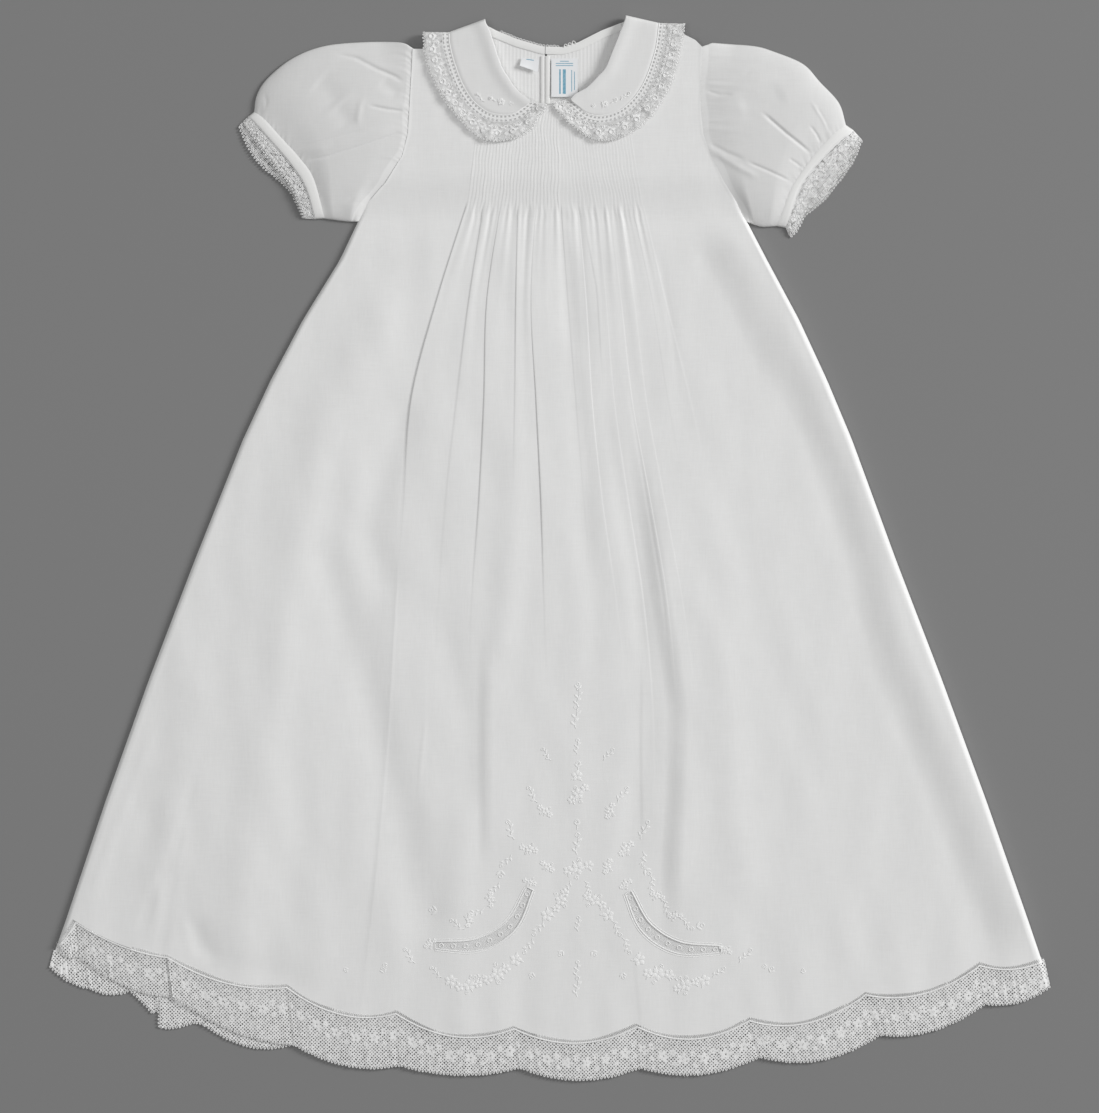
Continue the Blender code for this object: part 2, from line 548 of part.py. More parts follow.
def column_top(key, neck):
    """Place of a column on the shoulder seam or the neckline."""
    zone, where = key
    if zone == "left":
        return along(LEFT_SHOULDER, where)
    if zone == "right":
        return along(tuple(reversed(RIGHT_SHOULDER)), where)
    x = neck[0][0] + where / TUCK_COLUMNS * (neck[-1][0] - neck[0][0])
    return (x, value_at(neck, x))


def column_hem(key, hem):
    """Place where a column meets the hem, found by following it down."""
    y = hem[0][1]
    for _ in range(8):
        x = max(hem[0][0], min(hem[-1][0], column_x(key, y)))
        y = value_at(hem, x)
    return (x, y)


def body_rows(keys, neck, hem):
    """Plan of a body panel: rows of (x, y) from the neck to just above the hem."""
    tops = [column_top(key, neck) for key in keys]
    ends = [column_hem(key, hem) for key in keys]
    chest = [(column_x(key, YOKE_LEVELS[0]), YOKE_LEVELS[0]) for key in keys]
    rows = [tops, [edge_point(key, mix(top, low, 0.5)) for key, top, low in zip(keys, tops, chest)]]
    rows += [[(column_x(key, y), y) for key in keys] for y in YOKE_LEVELS]
    start = YOKE_LEVELS[-1]
    for share in SKIRT_SHARES:
        levels = [start + share * (end[1] - start) for end in ends]
        rows.append([(column_x(key, y), y) for key, y in zip(keys, levels)])
    return rows


def armhole_line(edge, top, gap):
    """Armhole from shoulder to underarm, through the ends of the body's rows and moved out by a gap."""
    levels = (top, (top + YOKE_LEVELS[0]) / 2.0, *YOKE_LEVELS)
    return shifted([(edge(y), y) for y in levels], gap)


def edge_point(key, point):
    """Keep the outermost columns on the armhole."""
    if key == ("left", 0.0):
        return (left_edge(point[1]), point[1])
    if key == ("right", 0.0):
        return (right_edge(point[1]), point[1])
    return point


def make_front(collection):
    """Front panel: tucks and pleats raised outside, a plain wall inside."""
    keys = body_columns()
    first = len(SIDE_SHARES)
    kept = [i for i in range(len(keys)) if keys[i][0] != "tuck" or keys[i][1] % INNER_STEP == 0]
    hem = scallop_edge(SCALLOPS)
    plan = body_rows(keys, FRONT_NECK, hem)
    inner, outer = [], []
    for row in plan:
        base = tuple((float(i), front_inside(*row[i])) for i in kept)
        inner.append([(x, y, front_bottom(x, y)) for x, y in (row[i] for i in kept)])
        outer.append([
            (x, y, value_at(base, i) + CLOTH + (pleat_relief(i - first, y) if keys[i][0] == "tuck" else 0.0))
            for i, (x, y) in enumerate(row)])
    bm = bmesh.new()
    above = add_panel(bm, outer, [(x, y, front_inside(x, y) + CLOTH) for x, y in hem])
    below = add_panel(bm, inner, [(x, y, front_bottom(x, y)) for x, y in hem])
    zip_runs(bm, list(enumerate(above[0])), list(zip(kept, below[0])))
    zip_runs(bm, list(enumerate(above[-1])), list(enumerate(below[-1])))
    for end in (0, -1):
        zip_runs(bm, list(enumerate(row[end] for row in above)), list(enumerate(row[end] for row in below)))
    return add_object("front", bm, "batiste", collection)


def make_back(collection):
    """Back panel, flat on the surface and raised a little over the back collar."""
    keys = [("left", s) for s in SIDE_SHARES] + [("tuck", k) for k in range(0, TUCK_COLUMNS + 1, 20)]
    keys += [("right", s) for s in reversed(SIDE_SHARES)]
    hem = scallop_edge(BACK_SCALLOPS)
    plan = body_rows(keys, BACK_NECK, hem)
    rows = [[(x, y, back_bottom(y) + CLOTH / 2) for x, y in row] for row in plan]
    return add_sheet("back", rows, "batiste", collection, hem=[(x, y, CLOTH / 2) for x, y in hem])


# ---------------------------------------------------------------- hem lace
def make_hem_lace(name, table, bottom, wave, across, collection):
    """Scalloped lace strip along a hem, with small folds at the points between its scallops."""
    upper = scallop_edge(table)
    lower = scallop_edge(table, cloth=False)
    rows = []
    for share in across:
        row = []
        for i, (a, b) in enumerate(zip(upper, lower)):
            gap = LACE_GAP / math.dist(a, b)
            x, y = mix(a, b, gap + share * (1.0 - gap))
            turn = i / SCALLOP_STEPS
            point = 1.0 - min(1.0, abs(turn - round(turn)) * 4.0)
            ripple = 0.5 - 0.5 * math.cos(4.0 * math.pi * turn)
            row.append((x, y, bottom(a[0], a[1]) + CLOTH / 2 + wave * share * (0.7 * ripple + 1.3 * point)))
        rows.append(row)
    return add_sheet(name, rows, "lace", collection)


# ---------------------------------------------------------------- sleeves
def fold_share(t):
    """0 at a flattened tube's folds and 1 between them."""
    return smooth(min(t, 1.0 - t) / 0.12)


def tube_rings(stations, over, under, ceiling, crown, columns):
    """Outer and inner rings of a flattened tube, station by station.

    over and under give the plan of its two layers, ceiling its inside height and crown its wall's thickness.
    """
    outer, inner = [], []
    for s in stations:
        width = math.dist(over(s, 0.0), over(s, 1.0))
        inset = EDGE_INSET / width
        ring = [(0.0, (*over(s, 0.0), 1.15))]
        for j in range(columns + 1):
            t = 0.02 + 0.96 * j / columns
            ring.append((t, (*over(s, t), ceiling(s, t) + crown(s, t))))
        ring.append((1.0, (*over(s, 1.0), 1.15)))
        ring += [(2.0 - t, (*under(s, t), 0.0)) for t in TUBE_FLOOR]
        outer.append(ring)
        hollow = [(0.0, (*over(s, inset), 1.15))]
        for j in range(columns // 2 + 1):
            t = inset + (1.0 - 2.0 * inset) * (0.03 + 0.94 * j / (columns // 2))
            hollow.append((t, (*over(s, t), ceiling(s, t))))
        hollow.append((1.0, (*over(s, 1.0 - inset), 1.15)))
        for t in TUBE_FLOOR:
            hollow.append((2.0 - t, (*under(s, inset + (1.0 - 2.0 * inset) * t), CLOTH)))
        inner.append(hollow)
    return outer, inner


def coons(start, end, top, low):
    """Plan of a patch between its armhole line, cuff line, top outline and underside outline."""
    corners = (start[0], start[-1], end[0], end[-1])
    top = (start[0], *top[1:-1], end[0])
    low = (start[-1], *low[1:-1], end[-1])

    def place(s, t):
        across = mix(along(start, t), along(end, t), s)
        down = mix(along(top, s), along(low, s), t)
        blend = mix(mix(corners[0], corners[1], t), mix(corners[2], corners[3], t), s)
        return tuple(a + b - c for a, b, c in zip(across, down, blend))
    return place


def make_sleeve(side, armhole, cuff, top, low, collection):
    """Puffed sleeve: two layers of one tube, gathered at the armhole and at the cuff."""
    place = coons(armhole, cuff, top, low)

    def ceiling(s, t):
        x, y = place(0.0, t)
        seam = front_inside(x, y) - CLOTH - OPEN_GAP
        height = SLEEVE_HOLLOW
        if s < 0.35:
            height = seam + (SLEEVE_HOLLOW - seam) * smooth(s / 0.35)
        elif s > 0.75:
            height = SLEEVE_HOLLOW + (CUFF_HOLLOW - SLEEVE_HOLLOW) * smooth((s - 0.75) / 0.25)
        return CLOTH + OPEN_GAP + height * fold_share(t)

    def crown(s, t):
        puff = SLEEVE_CROWN * math.sin(math.pi * s) * math.sin(math.pi * t)
        cap = max(0.0, 1.0 - s / 0.4) * abs(math.sin(math.pi * CAP_GATHERS * t))
        cuffed = max(0.0, (s - 0.7) / 0.3) * abs(math.sin(math.pi * CUFF_GATHERS * t))
        return CLOTH + puff + GATHER_HEIGHT * (cap + cuffed) * fold_share(t)

    stations = (0.0, 0.12, 0.28, 0.45, 0.62, 0.8, 0.92, 1.0)
    outer, inner = tube_rings(stations, place, place, ceiling, crown, SLEEVE_COLUMNS)
    return add_tube("sleeve_" + side, outer, inner, "batiste", collection)


def ruled(first, second, start=0.0):
    """Plan of a strip between two lines, starting a little way across."""
    def place(s, t):
        a, b = along(first, t), along(second, t)
        gap = start / max(math.dist(a, b), start)
        return mix(a, b, gap + s * (1.0 - gap))
    return place


def make_cuff(side, cuff, band, lace_over, lace_under, collection):
    """Cuff band and its lace frill, each a flattened tube."""
    def band_ceiling(s, t):
        return CLOTH + OPEN_GAP + CUFF_HOLLOW * fold_share(t)

    def lace_ceiling(s, t):
        return CLOTH + OPEN_GAP + CUFF_HOLLOW * (1.0 - 0.4 * s) * fold_share(t)

    def plain(s, t):
        return CLOTH

    def frilled(s, t):
        return CLOTH + FRILL_WAVE * s * math.sin(math.pi * CUFF_GATHERS * t) ** 2 * fold_share(t)

    place = ruled(cuff, band, SEAM)
    outer, inner = tube_rings((0.0, 1.0), place, place, band_ceiling, plain, SLEEVE_COLUMNS)
    add_tube("cuff_band_" + side, outer, inner, "binding", collection)
    over = ruled(band, lace_over, SEAM)
    under = ruled(band, lace_under, SEAM)
    outer, inner = tube_rings((0.0, 0.5, 1.0), over, under, lace_ceiling, frilled, SLEEVE_COLUMNS)
    add_tube("cuff_lace_" + side, outer, inner, "lace", collection)


# ---------------------------------------------------------------- collar
def fold_stations(line):
    """Stations round the shoulder fold, as rows of (x, y, z) for the roll, the cloth's and the lace's edge."""
    radius = (COLLAR_FRONT_Z - COLLAR_BACK_Z) / 2.0
    centre = (COLLAR_FRONT_Z + COLLAR_BACK_Z) / 2.0
    points = [line[0:2], line[2:4], line[4:6]]
    run = (points[-1][0] - points[0][0], points[-1][1] - points[0][1])
    away = (-run[1], run[0]) if run[0] > 0 else (run[1], -run[0])
    length = math.hypot(*away)
    rows = []
    for angle in FOLD_ANGLES:
        reach = radius * math.sin(math.radians(angle)) - radius - CLOTH / 2
        z = centre + radius * math.cos(math.radians(angle))
        rows.append([(p[0] + away[0] / length * reach, p[1] + away[1] / length * reach, z) for p in points])
    return rows


def collar_stations(front, fold, back):
    """Every station of a collar half, from the centre front over the shoulder to the centre back."""
    def flat(rows, z):
        return [[(*row[0:2], z), (*row[2:4], z), (*row[4:6], z)] for row in rows]
    return flat(front, COLLAR_FRONT_Z) + fold_stations(fold) + flat(back, COLLAR_BACK_Z)


def roll_height(distance, z):
    """Rise of the collar's roll at a distance from the neck, on the upper layer only."""
    upper = max(0.0, (z - COLLAR_BACK_Z) / (COLLAR_FRONT_Z - COLLAR_BACK_Z) * 2.0 - 1.0)
    return COLLAR_ROLL * upper * math.exp(-((distance - 3.2) / 3.6) ** 2)


def make_collar(side, front, fold, back, collection):
    """Collar half of cloth, and the lace sewn round its edge."""
    stations = collar_stations(front, fold, back)
    cloth_rows = []
    for neck, edge, _ in stations:
        row = []
        for share in COLLAR_ACROSS:
            x, y, z = mix(neck, edge, share)
            row.append((x, y, z + roll_height(share * math.dist(neck, edge), z)))
        cloth_rows.append(row)
    add_sheet("collar_" + side, cloth_rows, "batiste", collection)

    lace_rows = []
    count = (len(stations) - 1) * LACE_STATIONS
    for i in range(count + 1):
        where = min(i // LACE_STATIONS, len(stations) - 2)
        share = i / LACE_STATIONS - where
        edge = mix(stations[where][1], stations[where + 1][1], share)
        rim = mix(stations[where][2], stations[where + 1][2], share)
        on_top = edge[2] > COLLAR_FRONT_Z - 0.01
        gap = LACE_GAP / math.dist(edge, rim)
        row = []
        for across in (0.0, 0.5, 1.0):
            x, y, z = mix(edge, rim, gap + across * (1.0 - gap))
            ripple = COLLAR_WAVE * across * (1.0 - math.cos(math.pi * i)) if on_top else 0.0
            row.append((x, y, z + ripple))
        lace_rows.append(row)
    add_sheet("collar_lace_" + side, lace_rows, "lace", collection)


# ---------------------------------------------------------------- trims inside the neck
def trim_z(y):
    """Middle of a trim that lies on the inside of the back."""
    return back_bottom(y) + CLOTH + SEAM + CLOTH / 2


def make_binding(side, low_x, high_x, collection):
    """Binding along one half of the back neckline."""
    steps = 8
    edge = []
    for i in range(steps + 1):
        x = low_x + (high_x - low_x) * i / steps
        edge.append((x, value_at(BACK_NECK, x)))
    inner = shifted(edge, -BINDING_WIDTH)
    add_sheet("neck_binding_" + side, [[(x, y, trim_z(y)) for x, y in line] for line in (edge, inner)],
              "binding", collection)


def make_placket(side, low_x, high_x, collection):
    """Narrow strip beside the slit, from the binding down."""
    rows = []
    top = value_at(BACK_NECK, SLIT_X) - BINDING_WIDTH - 1.2
    for i in range(5):
        y = top + (PLACKET_END - top) * i / 4
        rows.append([(x, y, trim_z(y)) for x in (low_x, high_x)])
    add_sheet("placket_" + side, rows, "binding", collection)


def make_labels(collection):
    """Bare sewn-in labels."""
    for name, (a, b, c, d) in (("label_main", LABEL_MAIN), ("label_size", LABEL_SIZE)):
        rows = [[(x, y, trim_z(y)) for x, y in (mix(a, d, share), mix(b, c, share))] for share in (0.0, 0.5, 1.0)]
        add_sheet(name, rows, "label", collection)


def make_buttons(collection):
    """Flat buttons under the back placket, each with two thread holes left to its finish."""
    for name, (x, y) in BUTTONS:
        bm = bmesh.new()
        bmesh.ops.create_cone(bm, cap_ends=True, segments=24, radius1=BUTTON_RADIUS * MM,
                              radius2=BUTTON_RADIUS * MM * 0.92, depth=BUTTON_THICKNESS * MM)
        made = add_object(name, bm, "pearl", collection)
        made.location = Vector((x, y, BUTTON_THICKNESS / 2)) * MM


# ---------------------------------------------------------------- crescent insertions
def crescent(line, margin):
    """Left and right edges of a crescent strip, tapering to its ends."""
    path = catmull(line, CRESCENT_STEPS + 1)
    sides = sideways(path)
    left, right = [], []
    for i, (p, n) in enumerate(zip(path, sides)):
        half = CRESCENT_WIDTH / 2 * (0.55 + 0.45 * math.sin(math.pi * i / CRESCENT_STEPS)) - margin
        pull = margin * ((i == 0) - (i == CRESCENT_STEPS))
        p = (p[0] + n[1] * pull, p[1] - n[0] * pull)
        left.append((p[0] + n[0] * half, p[1] + n[1] * half))
        right.append((p[0] - n[0] * half, p[1] - n[1] * half))
    return left, right


def make_crescent(side, line, front, collection, cutters):
    """Lace insertion set into a hole of its own shape in the front."""
    left, right = crescent(line, 0.0)
    cut(front, add_prism("cutter_crescent_" + side, left + right[::-1], 0.2, 12.0, "lace", cutters))
    left, right = crescent(line, SEAM)
    rows = [[(x, y, front_inside(x, y) + CLOTH / 2) for x, y in (a, mix(a, b, 0.5), b)] for a, b in zip(left, right)]
    add_sheet("lace_inset_" + side, rows, "lace", collection)


def main():
    """Build the gown in a collection of its own, with its cutters in another."""
    for old in list(bpy.data.objects):
        bpy.data.objects.remove(old, do_unlink=True)
    gown = bpy.data.collections.new("christening_gown")
    cutters = bpy.data.collections.new("cutters")
    for made in (gown, cutters):
        bpy.context.scene.collection.children.link(made)

    front = make_front(gown)
    back = make_back(gown)
    slit = ((SLIT_X - SLIT_WIDTH / 2, 340.0), (SLIT_X - SLIT_WIDTH / 2, SLIT_END),
            (SLIT_X + SLIT_WIDTH / 2, SLIT_END), (SLIT_X + SLIT_WIDTH / 2, 340.0))
    cut(back, add_prism("cutter_slit", slit, -3.0, 8.0, "binding", cutters))
    make_crescent("left", LEFT_CRESCENT, front, gown, cutters)
    make_crescent("right", RIGHT_CRESCENT, front, gown, cutters)
    make_hem_lace("hem_lace_front", SCALLOPS, front_inside, 1.0, (0.0, 0.5, 1.0), gown)
    make_hem_lace("hem_lace_back", BACK_SCALLOPS, lambda x, y: 0.0, 0.0, (0.0, 1.0), gown)

    armhole = armhole_line(left_edge, LEFT_SHOULDER[0][1], -ARMHOLE_GAP)
    make_sleeve("left", armhole, LEFT_CUFF, LEFT_SLEEVE_TOP, LEFT_SLEEVE_UNDER, gown)
    armhole = armhole_line(right_edge, RIGHT_SHOULDER[-1][1], ARMHOLE_GAP)
    make_sleeve("right", armhole, RIGHT_CUFF, RIGHT_SLEEVE_TOP, RIGHT_SLEEVE_UNDER, gown)
    make_cuff("left", LEFT_CUFF, LEFT_BAND, LEFT_LACE_OVER, LEFT_LACE_UNDER, gown)
    make_cuff("right", RIGHT_CUFF, RIGHT_BAND, RIGHT_LACE_OVER, RIGHT_LACE_UNDER, gown)
    make_collar("left", LEFT_COLLAR_FRONT, LEFT_COLLAR_FOLD, LEFT_COLLAR_BACK, gown)
    make_collar("right", RIGHT_COLLAR_FRONT, RIGHT_COLLAR_FOLD, RIGHT_COLLAR_BACK, gown)

    slit_edge = SLIT_WIDTH / 2 + 0.2
    make_binding("left", BACK_NECK[0][0] + 3.0, SLIT_X - slit_edge, gown)
    make_binding("right", SLIT_X + slit_edge, BACK_NECK[-1][0] - 3.0, gown)
    make_placket("left", SLIT_X - slit_edge - PLACKET_WIDTH, SLIT_X - slit_edge, gown)
    make_placket("right", SLIT_X + slit_edge, SLIT_X + slit_edge + PLACKET_WIDTH, gown)
    make_labels(gown)
    make_buttons(gown)


main()
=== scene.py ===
"""Christening gown laid flat, dressed in fine cloth, lace, embroidery and trims over its solids.

Every table is in millimetres: X to the right, Y towards the neck, Z up from the surface under the gown.
"""
import logging
import math
from dataclasses import dataclass
from enum import Enum
from typing import Any, Callable, Sequence

import bmesh
import bpy
import numpy as np
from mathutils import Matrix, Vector


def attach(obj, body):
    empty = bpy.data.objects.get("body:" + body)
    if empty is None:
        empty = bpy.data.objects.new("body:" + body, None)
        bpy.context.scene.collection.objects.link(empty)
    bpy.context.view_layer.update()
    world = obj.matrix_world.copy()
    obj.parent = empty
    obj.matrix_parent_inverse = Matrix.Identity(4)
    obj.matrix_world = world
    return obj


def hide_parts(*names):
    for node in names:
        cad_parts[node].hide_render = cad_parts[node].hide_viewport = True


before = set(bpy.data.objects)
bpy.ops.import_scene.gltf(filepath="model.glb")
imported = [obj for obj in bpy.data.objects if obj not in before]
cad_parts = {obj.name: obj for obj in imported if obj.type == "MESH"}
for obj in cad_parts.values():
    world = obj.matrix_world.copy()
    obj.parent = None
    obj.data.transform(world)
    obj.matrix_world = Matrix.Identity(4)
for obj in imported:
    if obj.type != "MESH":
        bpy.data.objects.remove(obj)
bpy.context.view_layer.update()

log = logging.getLogger("gown")

Array = np.ndarray
Point = tuple[float, float]
Line = tuple[Point, ...]
Rows = tuple[tuple[float, ...], ...]
Colour = tuple[float, float, float, float]
Piece = bpy.types.Object
Material = bpy.types.Material
Socket = bpy.types.NodeSocket

MM = 0.001
CLOTH_MAP = "cloth"     # name of the map that holds millimetres along and across a strip
LAYER_MAP = "layers"    # name of the map whose first value is 1 where a seam allowance lies below
TINY = 1e-9             # least length that anything is divided by
PHASES = 6.28           # range of the random starts of waves
BLACK: Colour = (0.0, 0.0, 0.0, 1.0)

# ---------------------------------------------------------------- outline of the body
# Side seams and armholes as (y, x), from the hem to the shoulder.
LEFT_SIDE: Line = (
    (-271.7, -325.0), (-242.5, -314.6), (-164.5, -288.6), (-86.5, -260.7), (-8.5, -230.8),
    (69.6, -199.6), (108.6, -181.4), (147.6, -160.6), (186.6, -136.5), (211.3, -124.8))
RIGHT_SIDE: Line = (
    (-284.7, 325.0), (-242.5, 310.7), (-164.5, 283.4), (-86.5, 254.8), (-8.5, 224.9),
    (69.6, 196.3), (108.6, 180.0), (147.6, 161.9), (186.6, 141.0), (211.3, 128.1))
LEFT_ARMHOLE: Line = (
    (211.3, -124.8), (223.0, -119.0), (236.6, -106.6), (254.2, -95.6), (267.8, -92.3),
    (287.3, -91.0), (310.1, -89.7), (323.1, -89.1))
RIGHT_ARMHOLE: Line = (
    (211.3, 128.1), (224.3, 120.9), (237.9, 112.5), (254.2, 104.0), (267.8, 99.5),
    (287.3, 97.5), (310.1, 98.2), (324.4, 98.8))
# Seams along the top edge as (x, y), from the left armhole to the right one.
LEFT_SHOULDER: Line = ((-89.1, 323.1), (-80.6, 323.1), (-42.2, 339.3))
RIGHT_SHOULDER: Line = ((48.8, 341.3), (86.5, 332.8), (94.3, 328.9), (98.8, 324.4))
FRONT_NECK: Line = (
    (-42.2, 339.3), (-39.0, 331.0), (-36.4, 323.0), (-32.5, 312.5), (-26.7, 302.5), (-20.8, 295.0),
    (-13.7, 289.3), (-2.6, 287.5), (5.0, 288.0), (16.9, 293.5), (23.4, 297.0), (28.6, 302.0),
    (35.8, 310.0), (40.3, 320.0), (44.9, 331.5), (48.8, 341.3))
BACK_NECK: Line = (
    (-42.2, 339.3), (-35.0, 335.4), (-20.8, 329.6), (-4.5, 325.0), (7.8, 324.6), (18.2, 327.6),
    (33.2, 335.2), (48.8, 341.3))

# Points between the scallops of a hem, and how far the next scallop sags below its chord.
SCALLOPS: Rows = (
    # cloth x, cloth y, lace x, lace y, cloth sag, lace sag
    (-321.0, -260.0, -318.0, -262.0, 2.0, 3.0),
    (-308.0, -243.5, -305.5, -264.5, 4.0, 7.0),
    (-248.3, -266.5, -244.0, -291.0, 7.0, 7.0),
    (-171.0, -286.0, -166.0, -322.5, 9.0, 7.0),
    (-100.1, -302.9, -97.5, -336.0, 10.0, 5.5),
    (-23.4, -312.7, -19.5, -337.5, 10.0, 8.0),
    (56.6, -311.4, 58.5, -337.4, 10.0, 8.0),
    (129.3, -307.4, 136.5, -330.2, 10.0, 9.5),
    (204.8, -290.6, 214.5, -316.0, 9.0, 7.5),
    (278.9, -271.7, 282.8, -295.8, 4.0, 5.0),
    (321.5, -268.5, 325.0, -284.7, 0.0, 0.0))
BACK_SCALLOPS: Rows = (
    (-322.5, -262.0, -325.0, -271.7, 3.0, 3.0),
    (-306.0, -252.0, -299.0, -286.0, 5.0, 3.0),
    (-268.4, -263.9, -274.0, -288.0, 6.0, 6.0),
    (-216.5, -284.7, -224.0, -310.0, 8.0, 8.0),
    (-158.6, -296.4, -165.7, -322.0, 8.0, 8.0),
    (-87.8, -308.1, -91.6, -333.5, 9.0, 5.0),
    (-21.4, -311.5, -19.5, -336.0, 9.0, 7.0),
    (58.5, -310.4, 58.5, -336.0, 9.0, 7.0),
    (129.3, -306.4, 136.5, -328.7, 9.0, 8.0),
    (204.8, -289.6, 214.5, -314.0, 8.0, 6.0),
    (278.9, -270.7, 282.8, -293.8, 3.0, 4.0),
    (321.0, -267.5, 324.0, -283.0, 0.0, 0.0))

# Lower edge of the back's lace where it is folded over, with a narrow gap beside the fold.
BACK_FOLDED: Line = ((-274.0, -286.5), (-265.0, -294.5), (-256.6, -303.5), (-256.0, -292.0), (-253.8, -292.0),
                     (-253.4, -312.6), (-247.0, -312.0), (-240.5, -311.2), (-232.0, -308.5), (-224.0, -309.5))

# ---------------------------------------------------------------- tucks and pleats
TUCK_COLUMNS = 100      # two columns for each of the 50 pintucks
TUCKS_LEFT: Point = (-48.8, 264.6)
TUCKS_RIGHT: Point = (53.3, 264.6)
TUCK_END = 222.3
# Each line follows one pleat down the front: its tuck column, then its x at each level.
PLEAT_LEVELS = (222.3, 160.6, 95.5, 30.6, -34.5, -112.5, -203.5, -319.8)
PLEAT_LINES: tuple[tuple[int, tuple[float, ...]], ...] = (
    (0, (-54.0, -73.5, -90.4, -94.9, -100.1, -104.7, -112.5, -125.5)),
    (10, (-42.9, -52.6, -60.5, -67.6, -72.2, -76.0, -81.9, -91.0)),
    (20, (-31.9, -41.0, -42.9, -46.1, -50.7, -53.3, -55.9, -61.1)),
    (30, (-20.8, -22.1, -22.8, -24.1, -26.0, -29.2, -32.5, -35.1)),
    (40, (-9.1, -12.3, -9.1, -5.9, -3.9, -1.3, 0.0, 1.3)),
    (54, (7.2, 11.7, 16.9, 22.1, 27.3, 31.2, 29.9, 24.7)),
    (62, (18.2, 23.4, 27.3, 33.8, 42.9, 50.7, 52.0, 43.6)),
    (72, (30.6, 36.4, 41.6, 50.7, 60.5, 67.0, 65.7, 53.3)),
    (80, (39.0, 46.1, 53.3, 65.0, 76.0, 81.9, 78.7, 61.8)),
    (86, (45.5, 54.6, 62.4, 74.1, 85.8, 95.5, 100.1, 97.5)),
    (94, (53.3, 66.3, 76.7, 88.4, 98.8, 113.8, 121.5, 130.0)),
    (100, (60.5, 74.8, 91.0, 105.3, 120.2, 139.8, 156.0, 172.2)))
PLEAT_MARKS = tuple(mark for mark, _ in PLEAT_LINES)
LEVELS_UP = PLEAT_LEVELS[::-1]


class Side(Enum):
    """Side towards which a pleat falls away from its line."""

    LEFT = -1
    RIGHT = 1


class CreaseKind(Enum):
    """Cross-section of a fold in the cloth."""

    VALLEY = "valley"
    RIDGE = "ridge"
    STEP = "step"       # high on the left of the line's direction, falling away slowly from it


VALLEY, RIDGE, STEP = CreaseKind

# How high each pleat stands at each level.
PLEAT_HEIGHTS: tuple[tuple[int, Side, tuple[float, ...]], ...] = (
    (0, Side.RIGHT, (0.17, 0.22, 0.26, 0.07, 0.05, 0.03, 0.12, 0.0)),
    (10, Side.RIGHT, (0.12, 0.3, 0.22, 0.12, 0.05, 0.0, 0.0, 0.0)),
    (20, Side.RIGHT, (0.15, 0.26, 0.36, 0.36, 0.08, 0.0, 0.0, 0.0)),
    (30, Side.RIGHT, (0.1, 0.3, 0.2, 0.0, 0.0, 0.0, 0.0, 0.0)),
    (40, Side.RIGHT, (0.15, 0.14, 0.32, 0.42, 0.12, 0.0, 0.0, 0.0)),
    (54, Side.RIGHT, (0.15, 0.12, 0.1, 0.05, 0.0, 0.0, 0.0, 0.0)),
    (62, Side.LEFT, (0.12, 0.15, 0.14, 0.12, 0.05, 0.0, 0.0, 0.0)),
    (72, Side.LEFT, (0.03, 0.05, 0.08, 0.12, 0.15, 0.05, 0.0, 0.0)),
    (80, Side.LEFT, (0.0, 0.08, 0.12, 0.15, 0.1, 0.0, 0.0, 0.0)),
    (86, Side.LEFT, (0.05, 0.05, 0.08, 0.08, 0.05, 0.0, 0.0, 0.0)),
    (94, Side.RIGHT, (0.08, 0.05, 0.05, 0.0, 0.0, 0.0, 0.0, 0.0)),
    (100, Side.LEFT, (0.03, 0.05, 0.03, 0.0, 0.0, 0.0, 0.0, 0.0)))

# ---------------------------------------------------------------- sleeves
# Outline of a sleeve: over the top from shoulder to cuff, under it from underarm to cuff.
LEFT_SLEEVE_TOP: Line = (
    (-89.4, 323.4), (-93.1, 326.3), (-100.1, 327.8), (-119.1, 328.2), (-146.4, 325.7),
    (-167.1, 317.9), (-183.4, 304.9), (-190.5, 293.8), (-192.4, 282.8))
LEFT_SLEEVE_UNDER: Line = ((-125.3, 211.3), (-131.3, 211.2), (-142.3, 212.6), (-146.2, 213.2))
RIGHT_SLEEVE_TOP: Line = (
    (99.1, 324.8), (103.4, 326.3), (107.1, 327.1), (131.7, 325.7), (145.4, 322.0),
    (164.5, 313.9), (175.5, 302.2), (187.8, 288.6), (192.4, 274.3))
RIGHT_SLEEVE_UNDER: Line = ((128.6, 211.0), (137.2, 208.0), (147.6, 208.3))
# Lines across a sleeve's end, from its top to its underside: cuff seam, band edge and lace edges.
LEFT_CUFF: Line = (
    (-192.4, 282.8), (-185.9, 278.2), (-175.2, 266.6), (-162.8, 252.9), (-153.4, 239.2), (-146.2, 213.2))
LEFT_BAND: Line = (
    (-195.7, 280.2), (-191.1, 275.6), (-180.1, 263.2), (-167.7, 248.6), (-158.3, 234.0), (-152.1, 212.9))
LEFT_LACE_OVER: Line = (
    (-198.2, 274.9), (-192.4, 267.8), (-185.9, 258.1), (-176.8, 246.3), (-167.7, 234.7),
    (-162.5, 223.6), (-158.6, 212.9))
LEFT_LACE_UNDER: Line = (
    (-201.5, 273.7), (-195.7, 260.7), (-187.8, 249.2), (-176.8, 239.8), (-167.7, 230.8),
    (-163.2, 221.7), (-159.2, 212.9))
RIGHT_CUFF: Line = (
    (192.4, 274.3), (184.0, 267.8), (171.0, 253.9), (161.6, 240.9), (156.0, 231.6), (147.6, 208.3))
RIGHT_BAND: Line = (
    (197.0, 271.1), (185.9, 262.2), (174.6, 250.2), (165.3, 239.0), (159.7, 227.9), (153.2, 207.3))
RIGHT_LACE_UNDER: Line = (
    (202.2, 264.6), (195.9, 250.2), (186.6, 237.2), (177.4, 226.0), (169.9, 219.5),
    (165.3, 215.8), (159.7, 205.6), (155.3, 201.8))
